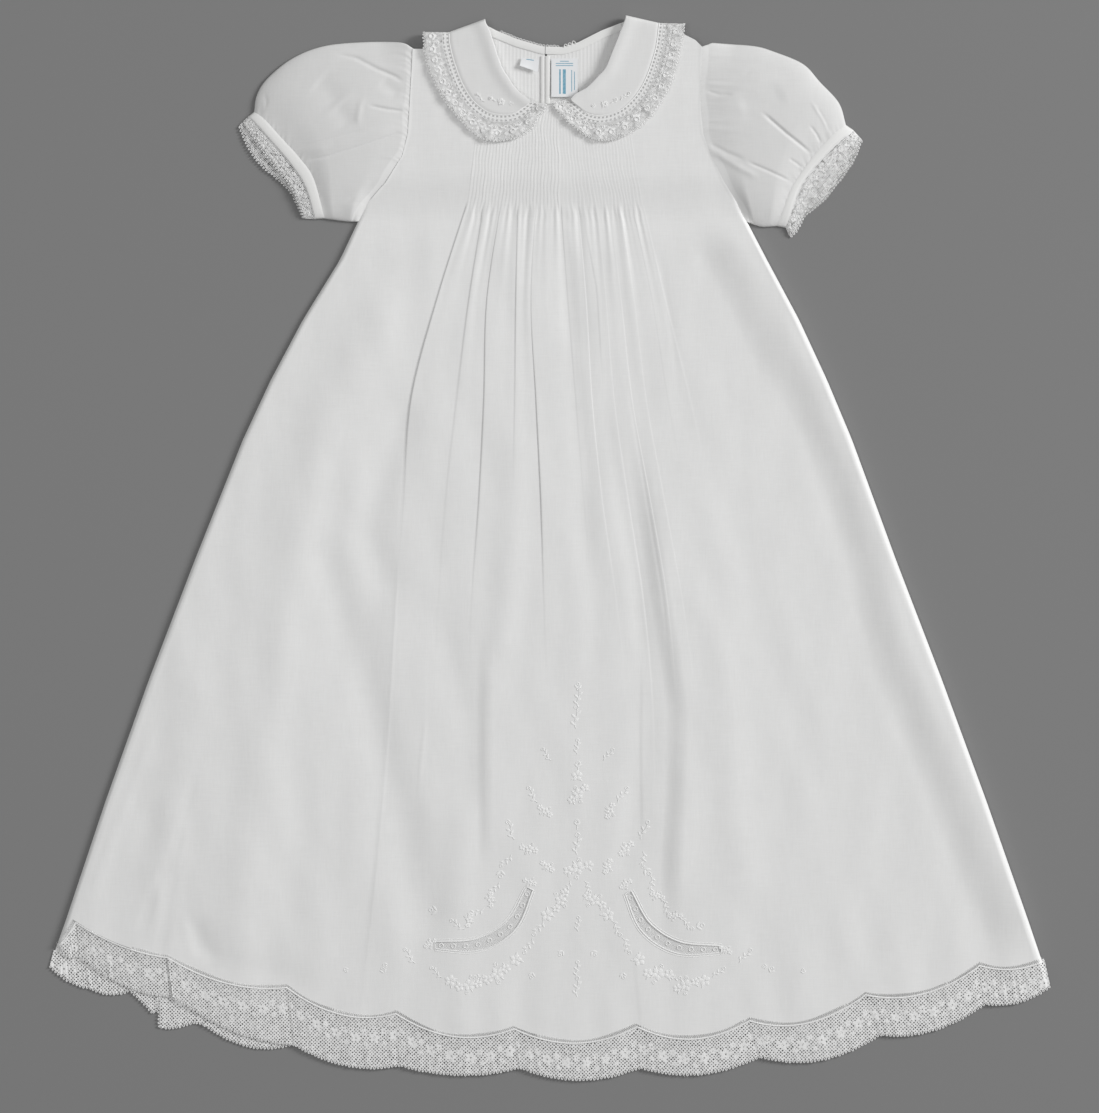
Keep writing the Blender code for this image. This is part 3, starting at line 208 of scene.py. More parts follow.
RIGHT_LACE_OVER: Line = (
    (200.6, 265.4), (193.0, 252.8), (184.0, 240.2), (174.4, 228.4), (166.6, 221.0),
    (162.0, 213.0), (157.5, 206.0), (154.6, 203.2))

# ---------------------------------------------------------------- collar
# Stations of a collar half: the roll at the neck, the cloth's edge and the lace's edge.
LEFT_COLLAR_FRONT: Rows = (
    # roll x, roll y, cloth x, cloth y, lace x, lace y
    (-13.0, 289.6, -12.7, 288.3, -2.6, 287.9),
    (-16.2, 291.9, -17.6, 284.7, -7.8, 279.5),
    (-20.2, 295.1, -23.4, 281.1, -16.9, 268.4),
    (-24.1, 299.7, -32.5, 280.2, -32.5, 264.2),
    (-27.3, 304.9, -41.0, 282.3, -46.1, 266.8),
    (-30.6, 310.1, -49.7, 289.2, -59.1, 279.5),
    (-33.1, 316.6, -56.6, 299.7, -68.9, 291.9),
    (-36.1, 325.7, -61.9, 313.3, -77.0, 308.4),
    (-39.0, 334.8, -65.0, 325.7, -80.6, 323.1))
LEFT_COLLAR_FOLD = (-42.2, 343.2, -66.0, 334.6, -81.6, 334.8)
LEFT_COLLAR_BACK: Rows = (
    (-38.4, 336.6, -65.0, 322.0, -80.6, 320.4),
    (-34.5, 334.6, -61.8, 313.0, -76.7, 307.4),
    (-30.6, 333.0, -55.9, 305.2, -67.6, 294.8),
    (-26.7, 331.4, -47.5, 299.7, -55.2, 286.0),
    (-22.8, 329.8, -37.7, 297.1, -40.3, 281.4),
    (-19.5, 328.6, -27.9, 299.0, -24.7, 284.1),
    (-16.9, 327.8, -20.2, 305.5, -13.0, 293.2),
    (-14.3, 327.0, -15.6, 315.2, -8.6, 308.1),
    (-12.0, 326.3, -12.4, 323.0, -8.0, 320.0))
RIGHT_COLLAR_FRONT: Rows = (
    (13.7, 290.6, 14.0, 289.2, 1.3, 289.6),
    (15.9, 293.2, 18.2, 285.6, 7.2, 281.4),
    (19.5, 295.4, 24.7, 280.8, 17.6, 271.7),
    (23.4, 297.7, 33.8, 279.5, 29.9, 264.9),
    (27.3, 301.3, 43.2, 282.1, 44.9, 266.2),
    (31.2, 305.5, 51.4, 287.9, 59.1, 274.6),
    (35.8, 310.7, 58.8, 297.4, 70.9, 288.6),
    (40.1, 321.1, 64.4, 309.4, 78.3, 303.6),
    (45.1, 333.4, 68.8, 324.4, 82.5, 320.4))
RIGHT_COLLAR_FOLD = (49.1, 345.6, 71.0, 340.6, 86.5, 340.2)
RIGHT_COLLAR_BACK: Rows = (
    (44.2, 338.8, 68.9, 325.6, 82.5, 321.7),
    (39.6, 337.0, 65.0, 316.2, 76.7, 309.1),
    (35.8, 335.2, 57.9, 308.1, 67.6, 297.1),
    (31.9, 333.4, 49.4, 301.6, 55.9, 287.9),
    (27.9, 331.6, 39.6, 298.4, 41.0, 283.4),
    (24.1, 329.6, 29.9, 300.3, 26.0, 285.4),
    (20.8, 328.0, 22.1, 306.8, 14.3, 295.1),
    (17.6, 326.4, 16.9, 315.9, 9.0, 309.4),
    (14.3, 325.6, 14.0, 323.4, 9.0, 320.0))

# ---------------------------------------------------------------- trims
LABEL_MAIN: Line = ((0.9, 292.0), (18.0, 292.0), (18.0, 317.0), (0.9, 317.0))
LABEL_SIZE: Line = ((-19.6, 312.2), (-7.9, 308.2), (-6.9, 316.2), (-18.4, 317.6))
LEFT_CRESCENT: Line = ((-13.0, -221.7), (-25.4, -245.7), (-46.8, -258.1), (-74.8, -258.7))
RIGHT_CRESCENT: Line = ((50.7, -224.2), (62.4, -247.0), (83.2, -260.0), (111.2, -261.3))


# ---------------------------------------------------------------- curves
def evenly(count: int) -> Array:
    """Even shares from 0 to 1, with both ends."""
    return np.linspace(0.0, 1.0, count)


def ease(share: Array | float) -> Array:
    """Smooth step from 0 to 1."""
    share = np.clip(share, 0.0, 1.0)
    return share * share * (3.0 - 2.0 * share)


def table_value(table: Line, at: Array | float) -> Array:
    """Straight interpolation in a table of (key, value) in rising order."""
    keys, values = zip(*table)
    return np.interp(at, keys, values)


def eased_value(keys: Sequence[float], values: Sequence[float], at: Array | float) -> Array:
    """Smooth interpolation that is held flat beyond the ends.

    Args:
        keys: places in rising order.
        values: one value for each place.
        at: where to read.

    Returns:
        The values there.
    """
    k, v = np.asarray(keys, float), np.asarray(values, float)
    slope = np.gradient(v, k)
    at = np.clip(at, k[0], k[-1])
    i = np.clip(np.searchsorted(k, at, side="right") - 1, 0, len(k) - 2)
    step = k[i + 1] - k[i]
    t = (at - k[i]) / step
    start = (2 * t ** 3 - 3 * t ** 2 + 1) * v[i] + (t ** 3 - 2 * t ** 2 + t) * step * slope[i]
    end = (3 * t ** 2 - 2 * t ** 3) * v[i + 1] + (t ** 3 - t ** 2) * step * slope[i + 1]
    return start + end


def between(at: Array, keys: Sequence[Any], values: Sequence[Any], outside: Array) -> Array:
    """Straight interpolation between neighbouring keys.

    Args:
        at: where to read.
        keys: numbers, or arrays of the places' shape.
        values: what they stand for, in either form.
        outside: the result beyond the keys.

    Returns:
        The values there.
    """
    result = outside
    for key, after, value, following in zip(keys, keys[1:], values, values[1:]):
        share = (at - key) / (after - key)
        result = np.where((share >= 0.0) & (share <= 1.0), value + share * (following - value), result)
    return result


def walk(points: Any, shares: Array | float) -> Array:
    """Read a polyline at shares of its length.

    Args:
        points: its points, in the plane or in space.
        shares: places from 0 to 1, in an array of any shape.

    Returns:
        An array of the shares' shape with one more axis for the coordinates.
    """
    line = np.asarray(points, float)
    reach = lengths_along(line)
    at = np.clip(shares, 0.0, 1.0) * reach[-1]
    return np.stack([np.interp(at, reach, line[:, axis]) for axis in range(line.shape[1])], axis=-1)


def spline_at(points: Any, where: Array) -> Array:
    """Read a smooth curve through points.

    Args:
        points: the points that it passes through.
        where: places counted in points, from 0 to one less than their number.

    Returns:
        One point for each place.
    """
    line = np.asarray(points, float)
    ends = np.concatenate([[2 * line[0] - line[1]], line, [2 * line[-1] - line[-2]]])
    i = np.clip(where.astype(int), 0, len(line) - 2)
    t = (where - i)[:, None]
    p, q, r, s = (ends[i + k] for k in range(4))
    square = 2 * p - 5 * q + 4 * r - s
    cube = 3 * q - p - 3 * r + s
    return 0.5 * (2 * q + (r - p) * t + square * t ** 2 + cube * t ** 3)


def even_curve(points: Any, step: float) -> Array:
    """Smooth curve through points, read at an even spacing.

    Args:
        points: the points that it passes through.
        step: spacing.

    Returns:
        Its points.
    """
    line = np.asarray(points, float)
    fine = spline_at(line, np.linspace(0.0, len(line) - 1.0, 24 * len(line)))
    length = np.linalg.norm(np.diff(fine, axis=0), axis=1).sum()
    return walk(fine, np.linspace(0.0, 1.0, max(2, round(length / step) + 1)))


def lengths_along(points: Array) -> Array:
    """Distance along a polyline at each of its points."""
    return np.concatenate([[0.0], np.cumsum(np.linalg.norm(np.diff(points, axis=0), axis=1))])


def sideways(points: Array) -> Array:
    """Directions across a plane polyline.

    Args:
        points: its points, of which the first two coordinates count.

    Returns:
        A unit vector to its left at each point.
    """
    run = np.gradient(points[:, :2], axis=0)
    run /= np.maximum(np.linalg.norm(run, axis=1), TINY)[:, None]
    return np.stack([-run[:, 1], run[:, 0]], axis=1)


def line_distance(x: Array, y: Array, line: Any) -> tuple[Array, Array]:
    """Distance from points to a plane polyline.

    Args:
        x: the points' x.
        y: the points' y.
        line: the polyline.

    Returns:
        The distance, positive on the left of the line's direction, and the nearest share of its length.
    """
    best = np.full(x.shape, 1e9)
    signed = np.zeros(x.shape)
    share = np.zeros(x.shape)
    points = np.asarray(line, float)
    reach = lengths_along(points)
    for a, b, start in zip(points, points[1:], reach):
        run = b - a
        length = float(np.hypot(*run))
        t = np.clip(((x - a[0]) * run[0] + (y - a[1]) * run[1]) / length ** 2, 0.0, 1.0)
        dx = x - a[0] - t * run[0]
        dy = y - a[1] - t * run[1]
        gap = np.hypot(dx, dy)
        closer = gap < best
        best = np.where(closer, gap, best)
        signed = np.where(closer, gap * np.where(run[0] * dy - run[1] * dx >= 0.0, 1.0, -1.0), signed)
        share = np.where(closer, (start + t * length) / reach[-1], share)
    return signed, share


def raised(plan: Any, z: Any) -> Array:
    """Plan points in any grid with their heights, which may be one number for all."""
    plan = np.asarray(plan)
    return np.concatenate([plan, np.broadcast_to(z, plan.shape[:-1])[..., None]], axis=-1)


def paired(first: Any, second: Any) -> Array:
    """Two values for each place, side by side."""
    return np.stack(np.broadcast_arrays(first, second), axis=-1)


def circle(count: int, wide: float, deep: float) -> Array:
    """Points of a ring in the plane, from its half width and half depth."""
    turn = np.arange(count) * math.tau / count
    return np.stack([wide * np.cos(turn), deep * np.sin(turn)], axis=1)


def ripple(angles: Sequence[Array], over: float, draw: np.random.Generator) -> Array:
    """Sum of waves that start at random, each divided by the same number."""
    return sum(np.sin(angle + draw.uniform(0.0, PHASES)) / over for angle in angles)


def scallop_edge(table: Rows, steps: int, cloth: bool = True) -> Array:
    """Scalloped edge with sagging arcs between the table's points.

    Args:
        table: rows of the scallop table.
        steps: points for each scallop.
        cloth: True for the cloth's edge and False for the lace's.

    Returns:
        Its points from left to right.
    """
    at, sag = (0, 4) if cloth else (2, 5)
    rows = np.asarray(table, float)
    share = np.arange(steps) / steps
    points = []
    for row, following in zip(rows, rows[1:]):
        chord = row[at:at + 2] + share[:, None] * (following[at:at + 2] - row[at:at + 2])
        chord[:, 1] -= row[sag] * 4.0 * share * (1.0 - share)
        points.append(chord)
    points.append(rows[-1:, at:at + 2])
    return np.concatenate(points)


# ---------------------------------------------------------------- meshes
class MeshPile:
    """Vertices and faces of one piece, gathered from several patches in millimetres."""

    def __init__(self) -> None:
        """Start empty."""
        self.points: list[Array] = []
        self.places: list[Array] = []
        self.faces: list[Array] = []
        self.count = 0

    def add(self, points: Array, faces: Array, places: Array | None = None) -> None:
        """Add a patch.

        Args:
            points: its vertices, one row each.
            faces: its faces as rows of vertex numbers, all with the same number of corners.
            places: millimetres along and across at each vertex, and its share of doubled cloth.
        """
        self.points.append(points)
        known = np.zeros((len(points), 0)) if places is None else places
        self.places.append(np.pad(known, ((0, 0), (0, 3 - known.shape[1]))))
        self.faces.append(faces + self.count)
        self.count += len(points)

    def add_grid(self, grid: Array, closed: bool = False, keep: Array | None = None,
                 places: Array | None = None) -> None:
        """Add a grid of points as quads.

        Args:
            grid: points by row and column.
            closed: whether the last column joins the first.
            keep: which cells to make, by row and column.
            places: millimetres along and across at each point.
        """
        rows, columns = grid.shape[:2]
        index = np.arange(rows * columns).reshape(rows, columns)
        if closed:
            index = np.concatenate([index, index[:, :1]], axis=1)
        cells = np.stack([index[:-1, :-1], index[1:, :-1], index[1:, 1:], index[:-1, 1:]], axis=-1)
        cells = cells.reshape(-1, 4) if keep is None else cells[keep]
        self.add(grid.reshape(-1, 3), cells, None if places is None else places.reshape(-1, places.shape[-1]))

    def add_cord(self, path: Array, radius: float, sides: int = 6, closed: bool = False,
                 flat: float = 1.0) -> None:
        """Add a round cord along a path that lies near the horizontal.

        Args:
            path: its middle line.
            radius: its radius.
            sides: corners of its section.
            closed: whether it is a loop.
            flat: its height as a share of its width.
        """
        if closed:
            run = np.roll(path, -1, axis=0) - np.roll(path, 1, axis=0)
        else:
            run = np.gradient(path, axis=0)
        run /= np.maximum(np.linalg.norm(run, axis=1), TINY)[:, None]
        across = np.cross(run, (0.0, 0.0, 1.0))
        across /= np.maximum(np.linalg.norm(across, axis=1), TINY)[:, None]
        above = np.cross(across, run)
        turn = np.arange(sides) * math.tau / sides
        rings = (path[:, None, :] + radius * np.cos(turn)[None, :, None] * across[:, None, :]
                 + radius * flat * np.sin(turn)[None, :, None] * above[:, None, :])
        along = lengths_along(path)
        around = turn / (math.tau)
        places = np.stack(np.broadcast_arrays(along[:, None], around[None, :]), axis=-1)
        if closed:
            rings = np.concatenate([rings, rings[:1]])
            places = np.concatenate([places, places[:1]])
        self.add_grid(rings, closed=True, places=places)

    def build(self, name: str, upwards: bool = True) -> Piece:
        """Make the object.

        Args:
            name: its name.
            upwards: whether it is an open sheet whose face is up, and otherwise its faces look outwards.

        Returns:
            The object, linked to the scene.
        """
        points = np.concatenate(self.points) * MM
        faces = [row for patch in self.faces for row in patch.tolist()]
        mesh = bpy.data.meshes.new(name)
        mesh.from_pydata(points.tolist(), [], faces)
        places = np.concatenate(self.places)
        corners = np.empty(len(mesh.loops), dtype=np.int32)
        mesh.loops.foreach_get("vertex_index", corners)
        for label, columns in ((CLOTH_MAP, (0, 1)), (LAYER_MAP, (2, 2))):
            layer = mesh.uv_layers.new(name=label)
            layer.data.foreach_set("uv", places[corners][:, columns].astype(np.float32).ravel())
        if upwards:
            normals = np.empty(len(mesh.polygons) * 3, dtype=np.float32)
            mesh.polygons.foreach_get("normal", normals)
            if normals.reshape(-1, 3)[:, 2].mean() < 0.0:
                mesh.flip_normals()
        else:
            bm = bmesh.new()
            bm.from_mesh(mesh)
            bmesh.ops.recalc_face_normals(bm, faces=bm.faces)
            bm.to_mesh(mesh)
            bm.free()
        mesh.shade_smooth()
        made = bpy.data.objects.new(name, mesh)
        bpy.context.scene.collection.objects.link(made)
        return made


def make_grid(name: str, grid: Array, places: Array, closed: bool = False,
              keep: Array | None = None) -> Piece:
    """Make an object of one grid.

    Args:
        name: its name.
        grid: points by row and column.
        places: millimetres along and across at each point, and its share of doubled cloth.
        closed: whether it is a tube, whose last column joins the first.
        keep: which cells to make.

    Returns:
        The object.
    """
    pile = MeshPile()
    pile.add_grid(grid, closed, keep, places)
    return pile.build(name, upwards=not closed)


def drop_loose(obj: Piece) -> None:
    """Delete the vertices that no face uses.

    Args:
        obj: the object.
    """
    bm = bmesh.new()
    bm.from_mesh(obj.data)
    bmesh.ops.delete(bm, geom=[v for v in bm.verts if not v.link_faces], context="VERTS")
    bm.to_mesh(obj.data)
    bm.free()


def enrol(obj: Piece, material: Material, slot: str, *nodes: str) -> Piece:
    """Dress a piece and set it on the gown.

    Args:
        obj: the piece.
        material: its finish.
        slot: the record's slot that the finish belongs to; not used.
        nodes: the solids that it stands for.

    Returns:
        The piece.
    """
    obj.data.materials.append(material)
    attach(obj, "root")
    if nodes:
        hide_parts(*nodes)
    log.info("%s: %d faces", obj.name, len(obj.data.polygons))
    return obj


# ---------------------------------------------------------------- finishes
class Wiring:
    """Short calls for placing and joining the nodes of one tree."""

    def __init__(self, tree: bpy.types.NodeTree) -> None:
        """Work on a tree."""
        self.tree = tree

    def add(self, kind: str, **settings: Any) -> bpy.types.Node:
        """Place a node.

        Args:
            kind: the node's type.
            settings: its properties.

        Returns:
            The node.
        """
        node = self.tree.nodes.new(kind)
        for key, value in settings.items():
            setattr(node, key, value)
        return node

    def feed(self, socket: Socket, source: Any) -> None:
        """Link a socket to another one, or set its value.

        Args:
            socket: the socket that is fed.
            source: another socket, or a value.
        """
        if isinstance(source, Socket):
            self.tree.links.new(source, socket)
        else:
            socket.default_value = source

    def calc(self, operation: str, a: Any, b: Any = 0.0, c: Any = 0.0) -> Socket:
        """Place a Math node.

        Args:
            operation: what it works out.
            a: first number or socket.
            b: second number or socket.
            c: third number or socket.

        Returns:
            Its result.
        """
        node = self.add("ShaderNodeMath", operation=operation)
        for socket, source in zip(node.inputs, (a, b, c)):
            self.feed(socket, source)
        return node.outputs[0]

    def scaled(self, vector: Any, factors: tuple[float, float, float]) -> Socket:
        """Vector with each coordinate multiplied.

        Args:
            vector: the vector's socket.
            factors: one factor for each coordinate.

        Returns:
            The result.
        """
        node = self.add("ShaderNodeVectorMath", operation="MULTIPLY")
        self.feed(node.inputs[0], vector)
        node.inputs[1].default_value = factors
        return node.outputs[0]

    def grown(self, vector: Any, factor: Any) -> Socket:
        """Vector multiplied by one number.

        Args:
            vector: the vector's socket.
            factor: the number, or its socket.

        Returns:
            The result.
        """
        node = self.add("ShaderNodeVectorMath", operation="SCALE")
        self.feed(node.inputs[0], vector)
        self.feed(node.inputs["Scale"], factor)
        return node.outputs[0]

    def noise(self, vector: Any, detail: float = 2.0) -> Socket:
        """Soft noise from 0 to 1.

        Args:
            vector: where it is read.
            detail: how many finer layers it has.

        Returns:
            The noise.
        """
        node = self.add("ShaderNodeTexNoise")
        self.feed(node.inputs["Vector"], vector)
        node.inputs["Scale"].default_value = 1.0
        node.inputs["Detail"].default_value = detail
        return node.outputs["Fac"]

    def spread(self, value: Any, low: float, high: float, first: float = 0.0,
               last: float = 1.0) -> Socket:
        """Value brought from one range into another, and kept inside it.

        Args:
            value: number or socket.
            low: start of its range.
            high: end of its range.
            first: what the start becomes.
            last: what the end becomes.

        Returns:
            The result.
        """
        node = self.add("ShaderNodeMapRange")
        for socket, source in zip(node.inputs, (value, low, high, first, last)):
            self.feed(socket, source)
        return node.outputs[0]

    def blend(self, share: Any, first: Any, last: Any) -> Socket:
        """Colour between two colours.

        Args:
            share: how near it is to the last one, as a number or socket.
            first: the colour at 0.
            last: the colour at 1.

        Returns:
            The colour.
        """
        node = self.add("ShaderNodeMix", data_type="RGBA")
        self.feed(node.inputs["Factor"], share)
        self.feed(node.inputs[6], first)
        self.feed(node.inputs[7], last)
        return node.outputs[2]

    def bump(self, height: Any, strength: float, distance: float,
             normal: Socket | None = None) -> Socket:
        """Normal bent by a height.

        Args:
            height: the height's socket.
            strength: how much of it shows.
            distance: its depth in millimetres.
            normal: a normal to start from.

        Returns:
            The bent normal.
        """
        node = self.add("ShaderNodeBump")
        self.feed(node.inputs["Height"], height)
        node.inputs["Strength"].default_value = strength
        node.inputs["Distance"].default_value = distance * MM
        if normal is not None:
            self.feed(node.inputs["Normal"], normal)
        return node.outputs["Normal"]

    def split(self, vector: Any) -> tuple[Socket, ...]:
        """Coordinates of a vector.

        Args:
            vector: the vector's socket.

        Returns:
            X, y and z.
        """
        node = self.add("ShaderNodeSeparateXYZ")
        self.feed(node.inputs[0], vector)
        return tuple(node.outputs)

    def object_mm(self) -> Socket:
        """Place on the piece, in millimetres."""
        return self.scaled(self.add("ShaderNodeTexCoord").outputs["Object"], (1.0 / MM,) * 3)

    def grain(self, fineness: float, detail: float = 2.0) -> Socket:
        """Soft noise on the piece, finer as the number of grains to a millimetre rises."""
        return self.noise(self.scaled(self.object_mm(), (fineness,) * 3), detail)

    def strip_mm(self) -> tuple[Socket, Socket]:
        """Millimetres along and across a strip."""
        along, across, _ = self.split(self.add("ShaderNodeUVMap", uv_map=CLOTH_MAP).outputs[0])
        return along, across

    def use(self, group: bpy.types.NodeTree, **inputs: Any) -> bpy.types.Node:
        """Place a group.

        Args:
            group: the group.
            inputs: its inputs, with an underscore for each space in a name.

        Returns:
            The node.
        """
        node = self.add("ShaderNodeGroup", node_tree=group)
        for key, value in inputs.items():
            self.feed(node.inputs[key.replace("_", " ")], value)
        return node


class EffectGroups:
    """Node groups that several finishes share."""

    def __init__(self) -> None:
        """Build every group once."""
        self.weave = self.make_weave()
        self.creasing = self.make_creasing()
        self.net = self.make_net()
        self.sprays = self.make_sprays()
        self.ladder = self.make_ladder()
        self.satin = self.make_satin()

    @staticmethod
    def start(name: str, inputs: dict[str, float], outputs: Sequence[str]) -> tuple[Wiring, Any, Any]:
        """Begin a group.

        Args:
            name: its name.
            inputs: its inputs with their first values.
            outputs: its outputs.

        Returns:
            The group's wiring, its inputs' sockets and its output node.
        """
        tree = bpy.data.node_groups.new(name, "ShaderNodeTree")
        for label, value in inputs.items():
            socket = tree.interface.new_socket(label, in_out="INPUT", socket_type="NodeSocketFloat")
            socket.default_value = value
        for label in outputs:
            tree.interface.new_socket(label, in_out="OUTPUT", socket_type="NodeSocketFloat")
        wiring = Wiring(tree)
        return wiring, wiring.add("NodeGroupInput").outputs, wiring.add("NodeGroupOutput").inputs

    def make_weave(self) -> bpy.types.NodeTree:
        """Plain weave with slubs along both threads, and a soft unevenness.

        Returns:
            The group.
        """
        w, given, out = self.start("plain weave", {"Thread Pitch": 0.5, "Slub": 1.0, "Mottle Size": 14.0},
                                   ("Shade", "Height"))
        place = w.object_mm()
        x, y, _ = w.split(place)
        turn = w.calc("DIVIDE", math.tau, given["Thread Pitch"])
        threads = w.calc("MULTIPLY", w.calc("SINE", w.calc("MULTIPLY", x, turn)),
                         w.calc("SINE", w.calc("MULTIPLY", y, turn)))
        across, along, through = 1.6, 0.09, 0.3     # grains of a thread to a millimetre
        warp = w.noise(w.scaled(place, (across, along, through)), 1.0)
        weft = w.noise(w.scaled(place, (along, across, through)), 1.0)
        slubs = w.calc("MULTIPLY", w.calc("SUBTRACT", w.calc("ADD", warp, weft), 1.0), given["Slub"])
        mottle = w.noise(w.grown(place, w.calc("DIVIDE", 1.0, given["Mottle Size"])), 3.0)
        slub_share, mottle_share, thread_share = 0.06, 0.035, 0.012
        shade = w.calc("MULTIPLY_ADD", slubs, slub_share, 1.0)
        shade = w.calc("MULTIPLY_ADD", w.calc("SUBTRACT", mottle, 0.5), mottle_share, shade)
        # painted shading: a little lighter where the threads cross over and their bump rises
        shade = w.calc("MULTIPLY_ADD", threads, thread_share, shade)
        w.feed(out["Shade"], shade)
        height = w.calc("MULTIPLY_ADD", threads, 0.25, 0.5)
        w.feed(out["Height"], w.calc("MULTIPLY_ADD", slubs, 0.5, height))
        return w.tree

    def make_creasing(self) -> bpy.types.NodeTree:
        """Small soft creases of worn-in cloth, longer along the warp.

        Returns:
            The group.
        """
        w, given, out = self.start("soft creasing", {"Size": 9.0}, ("Height",))
        place = w.grown(w.object_mm(), w.calc("DIVIDE", 1.0, given["Size"]))
        long = w.noise(w.scaled(place, (1.0, 0.3, 1.0)), 3.0)
        round_ones = w.noise(w.scaled(place, (0.5, 0.4, 0.5)))
        w.feed(out["Height"], w.calc("MULTIPLY_ADD", round_ones, 0.8, long))
        return w.tree

    def make_net(self) -> bpy.types.NodeTree:
        """Diamond net of fine threads.

        Returns:
            The group, whose output is 1 on a thread and 0 in a hole.
        """
        w, given, out = self.start("diamond net", {"Along": 0.0, "Across": 0.0, "Pitch": 1.3, "Thread": 0.3},
                                   ("Thread",))
        half = w.calc("MULTIPLY", given["Pitch"], 0.5)
        marks = []
        for sign in (1.0, -1.0):
            slope = w.calc("MULTIPLY_ADD", given["Across"], sign, given["Along"])
            wave = w.calc("DIVIDE", w.calc("PINGPONG", slope, half), half)
            marks.append(w.calc("LESS_THAN", wave, given["Thread"]))
        w.feed(out["Thread"], w.calc("MAXIMUM", *marks))
        return w.tree

    def make_sprays(self) -> bpy.types.NodeTree:
        """Row of lobed flowers with small leaves between them.

        Returns:
            The group, whose output is 1 on a flower or leaf.
        """
        w, given, out = self.start("lace sprays", {"Along": 0.0, "Across": 0.0, "Pitch": 16.0, "Middle": 13.0,
                                                   "Size": 5.0, "Lobes": 5.0}, ("Figure",))
        figures = []
        # A flower and two leaves: shift along the row in pitches, rise and width in widths of the flower.
        for shift, lift, share in ((0.0, 0.0, 1.0), (0.5, -0.45, 0.62), (0.5, 0.5, 0.45)):
            moved = w.calc("MULTIPLY_ADD", given["Pitch"], shift, given["Along"])
            u = w.calc("SUBTRACT", w.calc("FLOORED_MODULO", moved, given["Pitch"]),
                       w.calc("MULTIPLY", given["Pitch"], 0.5))
            size = w.calc("MULTIPLY", given["Size"], share)
            middle = w.calc("MULTIPLY_ADD", given["Size"], 2.0 * lift, given["Middle"])
            v = w.calc("SUBTRACT", given["Across"], middle)
            radius = w.calc("SQRT", w.calc("ADD", w.calc("MULTIPLY", u, u), w.calc("MULTIPLY", v, v)))
            angle = w.calc("ARCTAN2", v, u)
            lobes = w.calc("COSINE", w.calc("MULTIPLY", angle, given["Lobes"]))
            edge = w.calc("MULTIPLY", size, w.calc("MULTIPLY_ADD", lobes, 0.24, 0.74))
            figure = w.calc("LESS_THAN", radius, edge)
            eye = w.calc("GREATER_THAN", radius, w.calc("MULTIPLY", size, 0.2))
            figures.append(w.calc("MULTIPLY", figure, eye))
        w.feed(out["Figure"], w.calc("MAXIMUM", w.calc("MAXIMUM", figures[0], figures[1]), figures[2]))
        return w.tree

    def make_ladder(self) -> bpy.types.NodeTree:
        """Two rows of small square holes.

        Returns:
            The group, whose output is 1 in a hole.
        """
        w, given, out = self.start("ladder holes", {"Along": 0.0, "Across": 0.0, "Pitch": 2.5, "First": 1.2,
                                                    "Second": 3.6, "Hole": 0.62}, ("Hole",))
        half = w.calc("MULTIPLY", given["Pitch"], 0.5)
        along = w.calc("GREATER_THAN", w.calc("PINGPONG", given["Along"], half),
                       w.calc("SUBTRACT", half, given["Hole"]))
        rows = [w.calc("LESS_THAN", w.calc("ABSOLUTE", w.calc("SUBTRACT", given["Across"], given[row])),
                       given["Hole"]) for row in ("First", "Second")]
        w.feed(out["Hole"], w.calc("MULTIPLY", along, w.calc("MAXIMUM", *rows)))
        return w.tree

    def make_satin(self) -> bpy.types.NodeTree:
        """Fine threads that lie side by side.

        Returns:
            The group.
        """
        w, given, out = self.start("satin threads", {"Along": 0.0, "Pitch": 0.35}, ("Height",))
        turn = w.calc("DIVIDE", math.tau, given["Pitch"])
        wave = w.calc("SINE", w.calc("MULTIPLY", given["Along"], turn))
        w.feed(out["Height"], w.calc("MULTIPLY_ADD", wave, 0.5, 0.5))
        return w.tree


def tinted(colour: Colour, factor: float) -> Colour:
    """Colour made darker or lighter."""
    return tuple(min(1.0, factor * c) for c in colour[:3]) + (1.0,)


def start_material(name: str, roughness: float,
                   sheen: float) -> tuple[Material, Wiring, bpy.types.Node]:
    """Begin a material.

    Args:
        name: its name.
        roughness: its shader's roughness.
        sheen: its shader's sheen.

    Returns:
        The material, its wiring and its shader.
    """
    made = bpy.data.materials.new(name)
    made.use_nodes = True
    shader = made.node_tree.nodes["Principled BSDF"]
    shader.inputs["Roughness"].default_value = roughness
    shader.inputs["Sheen Weight"].default_value = sheen
    shader.inputs["Sheen Roughness"].default_value = 0.5
    shader.inputs["Specular IOR Level"].default_value = 0.25
    return made, Wiring(made.node_tree), shader


@dataclass(frozen=True)
class ClothFinish:
    """White batiste or binding with its weave, slubs and soft creases."""

    name: str
    colour: Colour
    roughness: float = 0.9
    sheen: float = 0.12
    pitch: float = 0.5
    slub: float = 1.0
    creases: float = 0.5
    layered: float = 0.035          # how much lighter it is over a seam allowance
    darkest: float = 0.9            # shades of the weave that the colour is spread over
    lightest: float = 1.1
    crease_depth: float = 0.35      # depths in millimetres
    weave_depth: float = 0.04
    weave_shows: float = 0.35

    def make(self, groups: EffectGroups) -> Material:
        """Build the material.

        Args:
            groups: the shared node groups.

        Returns:
            The material.
        """
        made, w, shader = start_material(self.name, self.roughness, self.sheen)
        weave = w.use(groups.weave, Thread_Pitch=self.pitch, Slub=self.slub)
        doubled, _, _ = w.split(w.add("ShaderNodeUVMap", uv_map=LAYER_MAP).outputs[0])
        shade = w.calc("MULTIPLY_ADD", doubled, self.layered, weave.outputs["Shade"])
        w.feed(shader.inputs["Base Color"], w.blend(w.spread(shade, self.darkest, self.lightest),
                                                    tinted(self.colour, self.darkest),
                                                    tinted(self.colour, self.lightest)))
        soft = w.bump(w.use(groups.creasing).outputs["Height"], self.creases, self.crease_depth)
        w.feed(shader.inputs["Normal"],
               w.bump(weave.outputs["Height"], self.weave_shows, self.weave_depth, soft))
        return made


